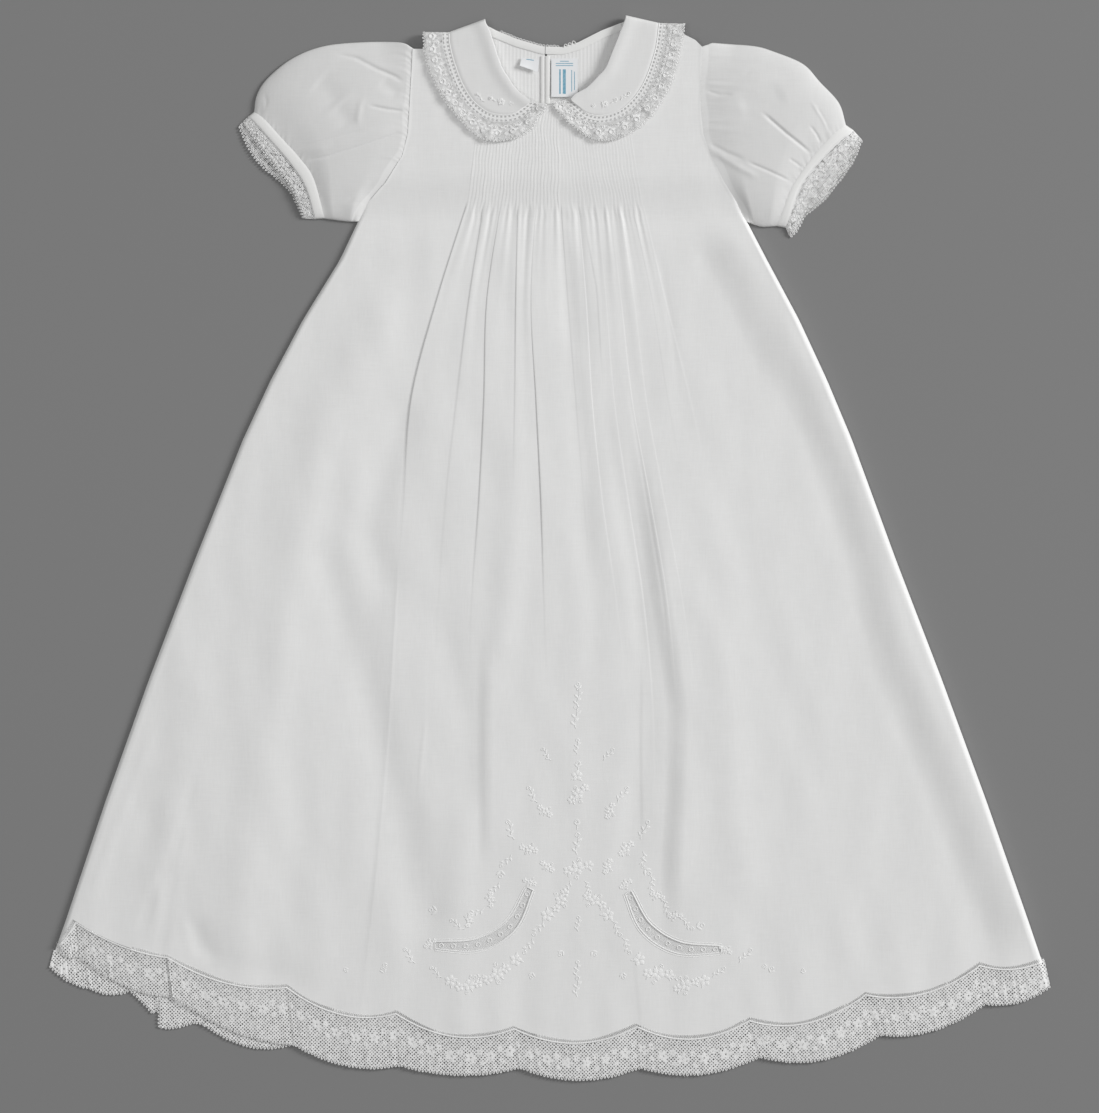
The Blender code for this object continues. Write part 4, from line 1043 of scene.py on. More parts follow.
@dataclass(frozen=True)
class LaceFinish:
    """Net lace with flowers, whose holes are open."""

    name: str
    colour: Colour
    net_pitch: float = 1.3
    net_thread: float = 0.34
    spray_pitch: float = 16.0
    spray_middle: float = 13.0
    spray_size: float = 5.0
    lobes: float = 5.0
    rim: float = 1000.0             # the lace is close-worked beyond this far across
    head: float = 0.8               # and within this far of its sewn edge
    ladder: bool = False
    # painted shade: how dark the net is against the close-worked flowers, for the shadow under it
    net_painted_shade: float = 0.95
    pore_painted_shade: float = 0.1         # painted shade: how much darker the net is round its holes
    patchy: float = 0.0             # how much thicker the threads are in some places than in others
    drift: Point = (3.0, 2.0)       # how far the sprays are out of place, along and across
    wander: Point = (1.4, -1.2)     # how far the net is, in x and y
    core: float = 0.6               # share of a net thread that gets no painted shade round the holes
    ladder_width: float = 4.5
    ladder_tone: float = 0.97
    hole_painted_shadow: float = -0.42        # painted shadow: what a hole of the ladder adds to its tone
    relief: float = 0.6             # height of the flowers against the threads
    depth: float = 0.25

    def make(self, groups: EffectGroups) -> Material:
        """Build the material.

        Args:
            groups: the shared node groups.

        Returns:
            The material.
        """
        made, w, shader = start_material(self.name, 0.85, 0.1)
        along, across = w.strip_mm()
        drift = w.calc("SUBTRACT", w.grain(0.12), 0.5)
        uneven = w.calc("MULTIPLY_ADD", drift, self.drift[0], along)
        thread = w.spread(w.grain(0.45), 0.3, 0.7, self.net_thread - self.patchy,
                          self.net_thread + self.patchy)
        x, y, _ = w.split(w.object_mm())
        wander = w.grain(0.3)
        lines = {"Along": w.calc("MULTIPLY_ADD", wander, self.wander[0], x),
                 "Across": w.calc("MULTIPLY_ADD", wander, self.wander[1], y)}
        net = w.use(groups.net, **lines, Pitch=self.net_pitch, Thread=thread)
        cells = w.use(groups.net, **lines, Pitch=self.net_pitch, Thread=w.calc("MULTIPLY", thread, self.core))
        sprays = w.use(groups.sprays, Along=uneven,
                       Across=w.calc("MULTIPLY_ADD", drift, self.drift[1], across), Pitch=self.spray_pitch,
                       Middle=self.spray_middle, Size=self.spray_size, Lobes=self.lobes)
        close = w.calc("MAXIMUM", w.calc("GREATER_THAN", across, self.rim),
                       w.calc("LESS_THAN", across, self.head))
        worked = w.calc("MAXIMUM", sprays.outputs["Figure"], close)
        solid = w.calc("MAXIMUM", net.outputs["Thread"], worked)
        # painted shade: the net is darker than the worked flowers
        tone = w.calc("MULTIPLY_ADD", worked, 1.0 - self.net_painted_shade, self.net_painted_shade)
        # painted shade: the net is darker round its holes, as if shaded by their depth
        pore_shading = w.calc("MAXIMUM", cells.outputs["Thread"], worked)
        pore_shading = w.calc("MULTIPLY_ADD", pore_shading, self.pore_painted_shade, 1.0 - self.pore_painted_shade)
        tone = w.calc("MULTIPLY", tone, pore_shading)
        if self.ladder:
            holes = w.use(groups.ladder, Along=along, Across=across)
            plain = w.calc("LESS_THAN", across, self.ladder_width)
            # the ladder's band stays closed, and its holes are painted dark as shadows instead of cut
            solid = w.calc("MAXIMUM", solid, plain)
            tone = w.calc("MAXIMUM", tone, w.calc("MULTIPLY", plain, self.ladder_tone))
            tone = w.calc("MULTIPLY_ADD", holes.outputs["Hole"], self.hole_painted_shadow, tone)
        threads = w.grain(1.3)
        tone = w.calc("MULTIPLY", tone, w.spread(threads, 0.25, 0.75, 0.94, 1.04))
        w.feed(shader.inputs["Base Color"], w.blend(tone, BLACK, self.colour))
        w.feed(shader.inputs["Alpha"], solid)
        height = w.calc("MULTIPLY_ADD", worked, self.relief, threads)
        w.feed(shader.inputs["Normal"], w.bump(height, self.relief, self.depth))
        return made


@dataclass(frozen=True)
class ThreadFinish:
    """Bright mercerised cotton of embroidery, cords and picots."""

    name: str
    colour: Colour
    roughness: float = 0.55
    pitch: float = 0.35

    def make(self, groups: EffectGroups) -> Material:
        """Build the material.

        Args:
            groups: the shared node groups.

        Returns:
            The material.
        """
        made, w, shader = start_material(self.name, self.roughness, 0.15)
        along, _ = w.strip_mm()
        satin = w.use(groups.satin, Along=along, Pitch=self.pitch)
        # painted shade: darker in the grooves between the satin threads
        tone = w.spread(satin.outputs["Height"], 0.0, 1.0, 0.95, 1.0)
        w.feed(shader.inputs["Base Color"], w.blend(tone, BLACK, self.colour))
        w.feed(shader.inputs["Normal"], w.bump(satin.outputs["Height"], 0.5, 0.08))
        return made


@dataclass(frozen=True)
class LabelFinish:
    """Woven satin label with a few plain printed bars and no lettering."""

    name: str
    colour: Colour
    ink: Colour
    bars: tuple[tuple[float, float, float, float], ...]     # middle along and across, half width, half height

    def make(self, groups: EffectGroups) -> Material:
        """Build the material.

        Args:
            groups: the shared node groups.

        Returns:
            The material.
        """
        made, w, shader = start_material(self.name, 0.45, 0.1)
        along, across = w.strip_mm()
        printed: Any = 0.0
        for x, y, half_width, half_height in self.bars:
            near_x = w.calc("LESS_THAN", w.calc("ABSOLUTE", w.calc("SUBTRACT", along, x)), half_width)
            near_y = w.calc("LESS_THAN", w.calc("ABSOLUTE", w.calc("SUBTRACT", across, y)), half_height)
            printed = w.calc("MAXIMUM", w.calc("MULTIPLY", near_x, near_y), printed)
        worn = w.spread(w.grain(1.2), 0.3, 0.7, 0.75, 1.0)
        w.feed(shader.inputs["Base Color"], w.blend(w.calc("MULTIPLY", printed, worn), self.colour, self.ink))
        satin = w.use(groups.satin, Along=across, Pitch=0.4)
        w.feed(shader.inputs["Normal"], w.bump(satin.outputs["Height"], 0.3, 0.05))
        return made


@dataclass(frozen=True)
class PearlFinish:
    """Pearl plastic with a soft cloudiness."""

    name: str
    colour: Colour
    cloud: Colour

    def make(self, groups: EffectGroups) -> Material:
        """Build the material.

        Args:
            groups: the shared node groups.

        Returns:
            The material.
        """
        made, w, shader = start_material(self.name, 0.22, 0.0)
        shader.inputs["Coat Weight"].default_value = 0.5
        clouds = w.spread(w.grain(0.6, 3.0), 0.3, 0.7)
        w.feed(shader.inputs["Base Color"], w.blend(clouds, self.colour, self.cloud))
        return made


@dataclass(frozen=True)
class FloorFinish:
    """Plain pale paper of the studio floor."""

    name: str
    colour: Colour

    def make(self, groups: EffectGroups) -> Material:
        """Build the material.

        Args:
            groups: the shared node groups.

        Returns:
            The material.
        """
        made, w, shader = start_material(self.name, 0.95, 0.0)
        darker = tinted(self.colour, 0.993)
        w.feed(shader.inputs["Base Color"], w.blend(w.grain(0.4, 3.0), darker, self.colour))
        return made


class Finishes:
    """Every material of the gown and its floor."""

    def __init__(self) -> None:
        """Build the shared groups, then the materials."""
        groups = EffectGroups()
        self.batiste = ClothFinish("batiste", (0.825, 0.825, 0.82, 1.0), creases=0.35).make(groups)
        # painted shade: the sleeves are the front's batiste given a darker colour
        self.sleeve = ClothFinish("sleeve batiste", (0.735, 0.735, 0.73, 1.0), creases=0.3,
                                  layered=0.11).make(groups)
        # painted shade: the collar is the front's batiste given a slightly darker colour
        self.collar = ClothFinish("doubled batiste", (0.79, 0.79, 0.785, 1.0), creases=0.3).make(groups)
        self.binding = ClothFinish("bias binding", (0.84, 0.84, 0.83, 1.0), 0.8, slub=0.6,
                                   creases=0.2).make(groups)
        white = (0.88, 0.88, 0.875, 1.0)
        self.hem_lace, self.edge_lace, self.cuff_lace, self.inset_lace = (
            # net pitch and thread, then the sprays' pitch, middle and size
            LaceFinish(name, white, *sizes, **settings).make(groups) for name, sizes, settings in (
                ("hem lace", (2.3, 0.56, 13.0, 13.5, 4.0), {"net_painted_shade": 1.0, "patchy": 0.2,
                                                            "pore_painted_shade": 0.26}),
                ("collar and cuff lace", (1.1, 0.5, 6.5, 10.0, 2.4), {"lobes": 4.0, "ladder": True,
                                                                       "patchy": 0.25}),
                ("cuff lace", (1.6, 0.5, 6.0, 5.0, 2.2), {"lobes": 4.0, "patchy": 0.35}),
                ("insertion lace", (1.0, 0.64, 400.0, -200.0, 1.0), {"head": 0.0})))
        self.thread = ThreadFinish("embroidery cotton", (0.93, 0.93, 0.925, 1.0)).make(groups)
        ribbon, ink = (0.86, 0.87, 0.885, 1.0), (0.12, 0.36, 0.5, 1.0)
        self.label = LabelFinish("main label", ribbon, ink, (
            (8.5, 23.2, 2.8, 0.25), (8.5, 21.8, 5.6, 0.25), (8.5, 20.4, 5.6, 0.25), (5.6, 10.0, 0.5, 8.0),
            (8.4, 10.0, 1.0, 8.0), (13.2, 10.5, 0.25, 7.0), (15.0, 10.5, 0.25, 6.0))).make(groups)
        self.small_label = LabelFinish("size label", ribbon, ink, ((6.0, 6.0, 2.6, 0.35),
                                                                   (6.0, 4.9, 2.6, 0.2))).make(groups)
        self.pearl = PearlFinish("pearl button", (0.85, 0.83, 0.79, 1.0), (0.78, 0.78, 0.8, 1.0)).make(groups)
        self.floor = FloorFinish("studio floor", (0.235, 0.235, 0.235, 1.0)).make(groups)


# ---------------------------------------------------------------- folds
@dataclass(frozen=True)
class Crease:
    """One fold drawn in the cloth along a line."""

    kind: CreaseKind
    height: float
    width: float
    line: Line
    end_fade: float = 0.22
    edge: float = 0.9       # width of a step's steep side

    def rise(self, x: Array, y: Array) -> Array:
        """Height of the fold.

        Args:
            x: places' x.
            y: places' y.

        Returns:
            The rise there, negative in a valley.
        """
        reach = 4.0 * self.width
        xs, ys = zip(*self.line)
        near = ((x > min(xs) - reach) & (x < max(xs) + reach)
                & (y > min(ys) - reach) & (y < max(ys) + reach))
        result = np.zeros(x.shape)
        if not near.any():
            return result
        distance, share = line_distance(x[near], y[near], self.line)
        fade = ease(np.minimum(share, 1.0 - share) / self.end_fade)
        if self.kind is CreaseKind.STEP:
            shape = ease(distance / self.edge + 0.5) * np.exp(-np.maximum(distance, 0.0) / self.width)
        else:
            shape = np.exp(-(distance / self.width) ** 2)
            if self.kind is CreaseKind.VALLEY:
                shape = -shape
        result[near] = self.height * fade * shape
        return result


@dataclass(frozen=True)
class BodyShape:
    """Plan of the body: its outline, and the tuck columns that run down it."""

    left_side: Line = LEFT_SIDE
    right_side: Line = RIGHT_SIDE
    left_armhole: Line = LEFT_ARMHOLE
    right_armhole: Line = RIGHT_ARMHOLE
    underarm: float = 211.3

    def left_edge(self, y: Array | float) -> Array:
        """Left outline at a height."""
        return np.where(np.asarray(y) < self.underarm, table_value(self.left_side, y),
                        table_value(self.left_armhole, y))

    def right_edge(self, y: Array | float) -> Array:
        """Right outline at a height."""
        return np.where(np.asarray(y) < self.underarm, table_value(self.right_side, y),
                        table_value(self.right_armhole, y))

    def margin(self, x: Array, y: Array) -> Array:
        """Distance in x to the nearer side."""
        return np.minimum(x - self.left_edge(y), self.right_edge(y) - x)

    def line_places(self, y: Array) -> Array:
        """Places of the pleat lines.

        Args:
            y: heights.

        Returns:
            The x of each line at each height, with the lines on the first axis.
        """
        below = np.stack([eased_value(LEVELS_UP, xs[::-1], y) for _, xs in PLEAT_LINES])
        low, high = PLEAT_LINES[0][1][0], PLEAT_LINES[-1][1][0]
        share = np.array(PLEAT_MARKS) / TUCK_COLUMNS
        first = low + share * (high - low)
        last = TUCKS_LEFT[0] + share * (TUCKS_RIGHT[0] - TUCKS_LEFT[0])
        up = (y - TUCK_END) / (TUCKS_LEFT[1] - TUCK_END)
        shape = (-1,) + (1,) * y.ndim
        table = np.array([xs[0] for _, xs in PLEAT_LINES]).reshape(shape)
        first, last = first.reshape(shape), last.reshape(shape)
        above = first + (last - first) * up + (table - first) * (1.0 - ease(up / 0.5))
        return np.where(y >= TUCK_END, above, below)

    def column_x(self, column: Array, y: Array) -> Array:
        """Place of tuck columns.

        Args:
            column: column numbers.
            y: heights, of the same shape.

        Returns:
            Their x.
        """
        places = self.line_places(y)
        return between(column, PLEAT_MARKS, places, places[0])

    def column_at(self, x: Array, y: Array) -> Array:
        """Tuck column that passes through places.

        Args:
            x: places' x.
            y: places' y.

        Returns:
            The column, -1 to the left of the tucks and 101 to their right.
        """
        places = self.line_places(y)
        return between(x, places, PLEAT_MARKS, np.where(x < places[0], -1.0, TUCK_COLUMNS + 1.0))

    def armhole(self, left: bool, gap: float) -> Array:
        """Armhole from the shoulder to the underarm.

        Args:
            left: which one.
            gap: how far it is moved out.

        Returns:
            Its points.
        """
        top = (LEFT_SHOULDER[0] if left else RIGHT_SHOULDER[-1])[1]
        y = np.linspace(top, self.underarm, 40)
        edge = self.left_edge(y) - gap if left else self.right_edge(y) + gap
        return np.stack([edge, y], axis=1)


@dataclass(frozen=True)
class FrontSurface:
    """Height of the front over its plan: lift, broad folds, pleats, pintucks and creases."""

    body: BodyShape
    lift: float = 1.7
    rise: float = 3.3               # extra height over the collar, labels and binding
    rise_from: float = 211.3
    rise_to: float = 243.8
    skirt_from: float = 231.3       # the broad folds start here
    skirt_reach: float = 40.0       # and are full this much lower
    fold_base: float = 1.3
    fold_limit: float = 5.4
    fold_floor: float = -0.9
    flat_edge: float = 2.5
    roll: float = 1.6               # width of the rounded edge at the side seams
    seam_z: float = 0.5
    tuck_height: float = 0.08
    tuck_fade: float = 5.0
    turn_column: float = 54.0       # tucks to the right of this one are pressed to the right
    cliff_under: float = 0.45       # how far a pleat's foot goes under its edge, as a share of its height
    pleat_power: float = 1.25
    lip: Point = (0.3, 0.22)        # how much a pleat dips at its edge, and over how many columns
    drift_waves: int = 16
    drift_height: float = 0.055
    drift_edge: float = 15.0        # it dies out this near to the sides
    drift_least: float = 0.4        # and is this much of itself above the skirt
    round_from: float = 18.0        # the sides are rounded from this far above the underarm
    round_reach: float = 22.0       # and fully so this much lower
    rolls: Rows = ((2.9, 0.1, 16.0), (4.3, 0.12, 28.0), (6.7, 0.14, 45.0), (9.1, 0.12, 80.0))
    wavers: Rows = ((0.3, 6.1, 11.0), (0.2, 2.6, 3.1))      # width, and reach along and across
    seed: int = 11

    broad: tuple[tuple[float, float, Line], ...] = (
        # half width, height, line
        (16.0, -1.2, ((-148.2, -11.1), (-124.8, -81.9), (-107.2, -141.1), (-80.6, -238.6))),
        (13.0, -1.0, ((-96.2, 82.5), (-119.0, 11.1), (-107.2, -21.4))),
        (22.0, 1.4, ((-110.0, 150.0), (-150.0, 60.0), (-175.0, -60.0), (-190.0, -170.0), (-205.0, -260.0))),
        (12.0, 0.8, ((-20.0, 63.0), (-26.0, -8.0), (-31.0, -60.0))),
        (12.0, -0.6, ((-74.0, -46.0), (-60.0, -80.0), (-52.0, -117.0), (-53.0, -164.0))),
        (14.0, 0.5, ((93.6, -31.2), (111.8, -72.8), (120.2, -140.4), (124.8, -216.5))),
        (12.0, -0.5, ((62.0, 95.0), (62.0, -34.5), (63.0, -99.5), (55.9, -164.5), (48.8, -203.5))),
        (16.0, 0.8, ((-60.0, -170.0), (-62.0, -250.0), (-60.0, -305.0))),
        (14.0, -0.8, ((-225.0, -258.0), (-208.0, -269.8), (-169.0, -280.2))))

    creases: tuple[Crease, ...] = (
        Crease(VALLEY, 0.25, 2.2, ((9.8, 217.1), (12.3, 211.2), (14.3, 206.1))),
        Crease(VALLEY, 0.4, 8.0, ((7.8, 215.0), (12.3, 160.6), (16.9, 95.5), (22.1, 30.6),
                                  (27.3, -34.5), (31.2, -112.5))),
        Crease(STEP, 0.15, 6.0, ((22.1, 213.2), (30.6, 166.4), (33.8, 112.5)), edge=1.5),
        Crease(VALLEY, 0.4, 6.0, ((33.0, 105.0), (44.0, 40.0), (56.0, -20.0), (62.0, -90.0))),
        Crease(STEP, 2.9, 500.0, ((92.0, 222.0), (104.0, 205.0), (110.0, 193.7), (124.0, 171.0),
                                 (145.0, 128.9), (166.0, 96.9), (181.6, 62.4), (192.8, 29.9),
                                 (205.4, -6.5), (212.0, -39.0), (223.0, -76.7), (239.0, -112.5),
                                 (276.0, -203.5), (308.0, -275.0)), end_fade=0.08, edge=30.0),
        Crease(STEP, 1.8, 40.0, ((51.0, 105.0), (63.0, 21.5), (78.0, -71.5), (83.0, -105.0),
                                 (82.0, -150.0), (79.0, -210.0), (77.0, -290.0)),
               end_fade=0.25, edge=15.0),
        Crease(VALLEY, 0.12, 1.2, ((49.5, 112.0), (63.0, 30.6), (73.6, -34.5), (77.0, -75.0))),
        Crease(VALLEY, 0.15, 2.2, ((70.2, 197.0), (80.6, 130.0), (82.5, 106.6))),
        Crease(RIDGE, 0.12, 1.2, ((-97.5, 69.5), (-100.1, -34.5), (-104.7, -112.5),
                                  (-112.5, -203.5))),
        Crease(RIDGE, 0.12, 1.4, ((-80.6, -111.2), (-83.2, -135.2), (-85.2, -158.6))),
        Crease(STEP, 1.1, 13.0, ((-42.0, -55.0), (-42.5, -130.0), (-41.5, -215.0)), edge=11.0),
        Crease(STEP, 0.2, 10.0, ((60.0, -70.0), (59.0, -130.0), (60.0, -200.0)), edge=3.0),
        Crease(STEP, 1.8, 40.0, ((-240.0, -30.0), (-242.0, -117.0), (-244.0, -152.0),
                                 (-249.0, -177.0), (-259.0, -208.0), (-270.0, -262.0)),
               end_fade=0.3, edge=26.0),
        Crease(VALLEY, 0.45, 1.3, ((-230.5, -140.0), (-236.6, -176.8), (-249.0, -208.0),
                                   (-261.3, -236.0), (-268.0, -262.0))),
        Crease(VALLEY, 0.5, 2.2, ((-243.8, -195.7), (-249.0, -239.0), (-254.0, -270.0))),
        Crease(RIDGE, 0.3, 3.0, ((-254.8, -111.2), (-279.5, -177.5), (-302.2, -238.6))),
        Crease(RIDGE, 0.35, 1.5, ((-240.6, -235.7), (-234.7, -255.5), (-232.1, -272.0))),
        Crease(VALLEY, 0.5, 5.0, ((-233.0, -238.0), (-226.0, -258.0), (-216.0, -272.0))),
        Crease(STEP, 0.15, 5.0, ((54.0, -255.9), (56.6, -287.9), (59.8, -316.0)), edge=4.0),
        Crease(VALLEY, 0.3, 1.8, ((217.8, -265.2), (224.2, -263.2), (231.4, -259.4),
                                  (237.2, -252.2))),
        Crease(VALLEY, 0.4, 7.0, ((11.7, 198.0), (13.0, 160.6), (15.6, 125.0))))

    def pleats(self, column: Array, y: Array) -> Array:
        """Height of the pleats.

        Args:
            column: tuck columns.
            y: heights down the front.

        Returns:
            The pleats' rise.
        """
        total = np.zeros(column.shape)
        dip, dip_reach = self.lip
        for mark, side, heights in PLEAT_HEIGHTS:
            at = PLEAT_MARKS.index(mark)
            other = PLEAT_MARKS[int(np.clip(at + side.value, 0, len(PLEAT_MARKS) - 1))]
            span = max(abs(other - mark), 4)
            away = (column - mark) * side.value
            share = np.clip(away / span, 0.0, 1.0)
            shape = (1.0 - share) ** self.pleat_power * (1.0 - dip * np.exp(-away / dip_reach))
            height = eased_value(LEVELS_UP, heights[::-1], np.minimum(y, TUCK_END))
            rise = np.where((away >= 0.0) & (away <= span), np.maximum(height, 0.0) * shape, 0.0)
            total = np.maximum(total, rise)
        return total * ease((TUCK_END + 2.0 - y) / 6.0)

    def undercut(self, column: Array, y: Array) -> Array:
        """Sideways shift that tucks the foot of each pleat under its edge.

        Args:
            column: tuck columns.
            y: heights down the front.

        Returns:
            The shift in x.
        """
        shift = np.zeros(column.shape)
        for mark, side, heights in PLEAT_HEIGHTS:
            height = np.maximum(eased_value(LEVELS_UP, heights[::-1], y), 0.0)
            before = (mark - column) * side.value
            foot = (before > 0.1) & (before < 0.3)
            shift += np.where(foot, side.value * self.cliff_under * height, 0.0)
            lip = np.abs(before) < 0.1
            shift -= np.where(lip, side.value * 0.2 * self.cliff_under * height, 0.0)
        return shift * (y < TUCK_END)

    def tucks(self, column: Array, y: Array) -> Array:
        """Height of the pintucks, each of which fades out at its own level.

        Args:
            column: tuck columns.
            y: heights down the front.

        Returns:
            The tucks' rise.
        """
        draw = np.random.default_rng(self.seed)
        count = TUCK_COLUMNS // 2
        ends = TUCK_END + draw.uniform(-4.0, 2.0, count + 2)
        fades = self.tuck_fade * draw.uniform(0.5, 1.4, count + 2)
        tall = self.tuck_height * draw.uniform(0.7, 1.2, count + 2)
        tall[int(self.turn_column / 2.0):] *= 0.5
        tuck = np.clip((column / 2.0).astype(int), 0, count + 1)
        part = column / 2.0 - np.floor(column / 2.0)
        part = np.where(column > self.turn_column, 1.0 - part, part)
        ridge = ease((part - 0.12) / 0.14) * ease((1.0 - part) / 0.6)
        inside = (column > 0.0) & (column < TUCK_COLUMNS)
        fade = ease((y - ends[tuck] + fades[tuck]) / fades[tuck])
        uneven = 1.0 + 0.3 * np.sin(y / 4.7 + tuck * 2.1)
        return np.where(inside, tall[tuck] * uneven * ridge * fade, 0.0)

    def waver(self, column: Array, y: Array) -> Array:
        """Sideways wandering of the pintucks.

        Args:
            column: tuck columns.
            y: heights down the front.

        Returns:
            The shift in x.
        """
        tucked = self.among_tucks(column) * ease((y - TUCK_END + 15.0) / 12.0)
        return tucked * sum(wide * np.sin(y / down + column / over) for wide, down, over in self.wavers)

    @staticmethod
    def among_tucks(column: Array) -> Array:
        """1 among the tucks, falling to 0 at the outermost ones."""
        return ease(column / 3.0) * ease((TUCK_COLUMNS - column) / 3.0)

    def releases(self, column: Array, y: Array) -> Array:
        """Soft rolls where the tucks let the cloth go.

        Args:
            column: tuck columns.
            y: heights down the front.

        Returns:
            Their rise.
        """
        draw = np.random.default_rng(self.seed + 1)
        start = ease((TUCK_END + 2.0 - y) / 10.0)
        total = np.zeros(column.shape)
        for wave, height, reach in self.rolls:
            phase = draw.uniform(0.0, math.tau)
            wander = 0.4 * np.sin(y / 23.0 + draw.uniform(0.0, 6.0))
            total += height * np.cos(math.tau * (column + wander) / wave + phase) * np.exp(
                -np.maximum(TUCK_END - y, 0.0) / reach)
        return total * start * self.among_tucks(column)

    def drift(self, x: Array, y: Array) -> Array:
        """Slow unevenness of laid cloth, longer down the gown than across it.

        Args:
            x: places' x.
            y: places' y.

        Returns:
            Its rise.
        """
        draw = np.random.default_rng(self.seed + 2)
        total = np.zeros(x.shape)
        for _ in range(self.drift_waves):
            wave = draw.uniform(22.0, 70.0)
            lean = draw.uniform(-0.35, 0.35)
            slow = draw.uniform(90.0, 260.0)
            phase, other = draw.uniform(0.0, math.tau, 2)
            total += self.drift_height * np.sin(math.tau * (x + lean * y) / wave + phase) * np.sin(
                math.tau * y / slow + other)
        return total

    def height(self, x: Array, y: Array, column: Array | None = None) -> Array:
        """Height of the cloth.

        Args:
            x: places' x.
            y: places' y.
            column: tuck columns there, if they are known.

        Returns:
            Z.
        """
        if column is None:
            column = self.body.column_at(x, y)
        skirt = ease((self.skirt_from - y) / self.skirt_reach)
        edge = self.body.margin(x, y)
        folds = np.full(x.shape, self.fold_base)
        for half, rise, line in self.broad:
            gap, _ = line_distance(x, y, line)
            folds += rise * np.exp(-(gap / half) ** 2 * 1.5)
        for crease in self.creases:
            folds += crease.rise(x, y)
        folds = np.clip(folds, self.fold_floor, self.fold_limit) * ease(edge / self.flat_edge) * skirt
        z = self.lift + self.rise * ease((y - self.rise_from) / (self.rise_to - self.rise_from)) + folds
        z += self.pleats(column, y) + self.tucks(column, y) + self.releases(column, y)
        least = self.drift_least
        z += self.drift(x, y) * ease(edge / self.drift_edge) * (least + (1.0 - least) * skirt)
        side = np.clip(edge / self.roll, 0.0, 1.0)
        rounded = self.seam_z + (z - self.seam_z) * np.sqrt(1.0 - (1.0 - side) ** 2)
        return z + (rounded - z) * ease((self.body.underarm + self.round_from - y) / self.round_reach)


@dataclass(frozen=True)
class PanelPlan:
    """Rows and columns of a body panel, from its shoulders to its scalloped hem."""

    body: BodyShape
    neck: Line
    hem: Array
    side_columns: int
    column_step: float
    shoulder_rows: int
    yoke_rows: int
    skirt_shares: Array
    chest: float = 274.0
    first_columns: tuple[float, ...] = (0.0, 0.003, 0.008)      # close together, where the side is rounded
    second_from: float = 0.016
    last_column: float = 0.9975

    def columns(self) -> tuple[Array, Array, Array]:
        """Columns of the grid.

        Returns:
            Side shares from the left, tuck columns, and side shares from the right.
        """
        even = np.linspace(self.second_from, 1.0, self.side_columns - 3, endpoint=False)
        side = np.concatenate([self.first_columns, even, (self.last_column,)])
        tucks = np.arange(0.0, TUCK_COLUMNS + self.column_step / 2.0, self.column_step)
        return side, tucks, side[::-1]

    def place(self, y: Array) -> Array:
        """X of every column.

        Args:
            y: heights, with the columns on the last axis.

        Returns:
            Their x.
        """
        left, tucks, right = self.columns()
        a, b = len(left), len(left) + len(tucks)
        rows = np.atleast_2d(y)
        first = self.body.line_places(rows[:, :a])[0]
        last = self.body.line_places(rows[:, b:])[-1]
        start = self.body.left_edge(rows[:, :a])
        end = self.body.right_edge(rows[:, b:])
        middle = self.body.column_x(np.broadcast_to(tucks, rows[:, a:b].shape), rows[:, a:b])
        x = np.concatenate([start + left * (first - start), middle, end + right * (last - end)], axis=1)
        return x.reshape(np.shape(y))

    def points(self) -> tuple[Array, Array, Array]:
        """Plan of the panel.

        Returns:
            X and y by row and column, and the tuck column of each grid column.
        """
        left, tucks, right = self.columns()
        number = np.concatenate([np.full(len(left), -1.0), tucks,
                                 np.full(len(right), TUCK_COLUMNS + 1.0)])
        neck = np.asarray(self.neck)
        tops = np.concatenate([
            walk(LEFT_SHOULDER, left),
            np.stack([neck[0, 0] + tucks / TUCK_COLUMNS * (neck[-1, 0] - neck[0, 0])] * 2, axis=1),
            walk(RIGHT_SHOULDER[::-1], right)])
        middle = slice(len(left), len(left) + len(tucks))
        tops[middle, 1] = np.interp(tops[middle, 0], neck[:, 0], neck[:, 1])

        ends = np.full(len(number), self.hem[0, 1])
        for _ in range(10):
            x = np.clip(self.place(ends), self.hem[0, 0], self.hem[-1, 0])
            ends = np.interp(x, self.hem[:, 0], self.hem[:, 1])

        level = np.full(len(number), self.chest)
        chest = paired(self.place(level), level)
        share = np.linspace(0.0, 1.0, self.shoulder_rows, endpoint=False)[:, None]
        upper_x = tops[:, 0] + share * (chest[:, 0] - tops[:, 0])
        upper_y = tops[:, 1] + share * (chest[:, 1] - tops[:, 1])
        pull = (self.body.left_edge(upper_y[:, :1]) - upper_x[:, :1]) * (1.0 - left) ** 2
        upper_x[:, :len(left)] += np.where(share > 0.0, pull, 0.0)
        pull = (self.body.right_edge(upper_y[:, -1:]) - upper_x[:, -1:]) * (1.0 - right) ** 2
        upper_x[:, -len(right):] += np.where(share > 0.0, pull, 0.0)

        levels = np.linspace(self.chest, self.body.underarm, self.yoke_rows)[:, None] * np.ones(len(number))
        lower = self.body.underarm + self.skirt_shares[:, None] * (ends - self.body.underarm)
        levels = np.concatenate([levels, lower])
        return np.concatenate([upper_x, self.place(levels)]), np.concatenate([upper_y, levels]), number


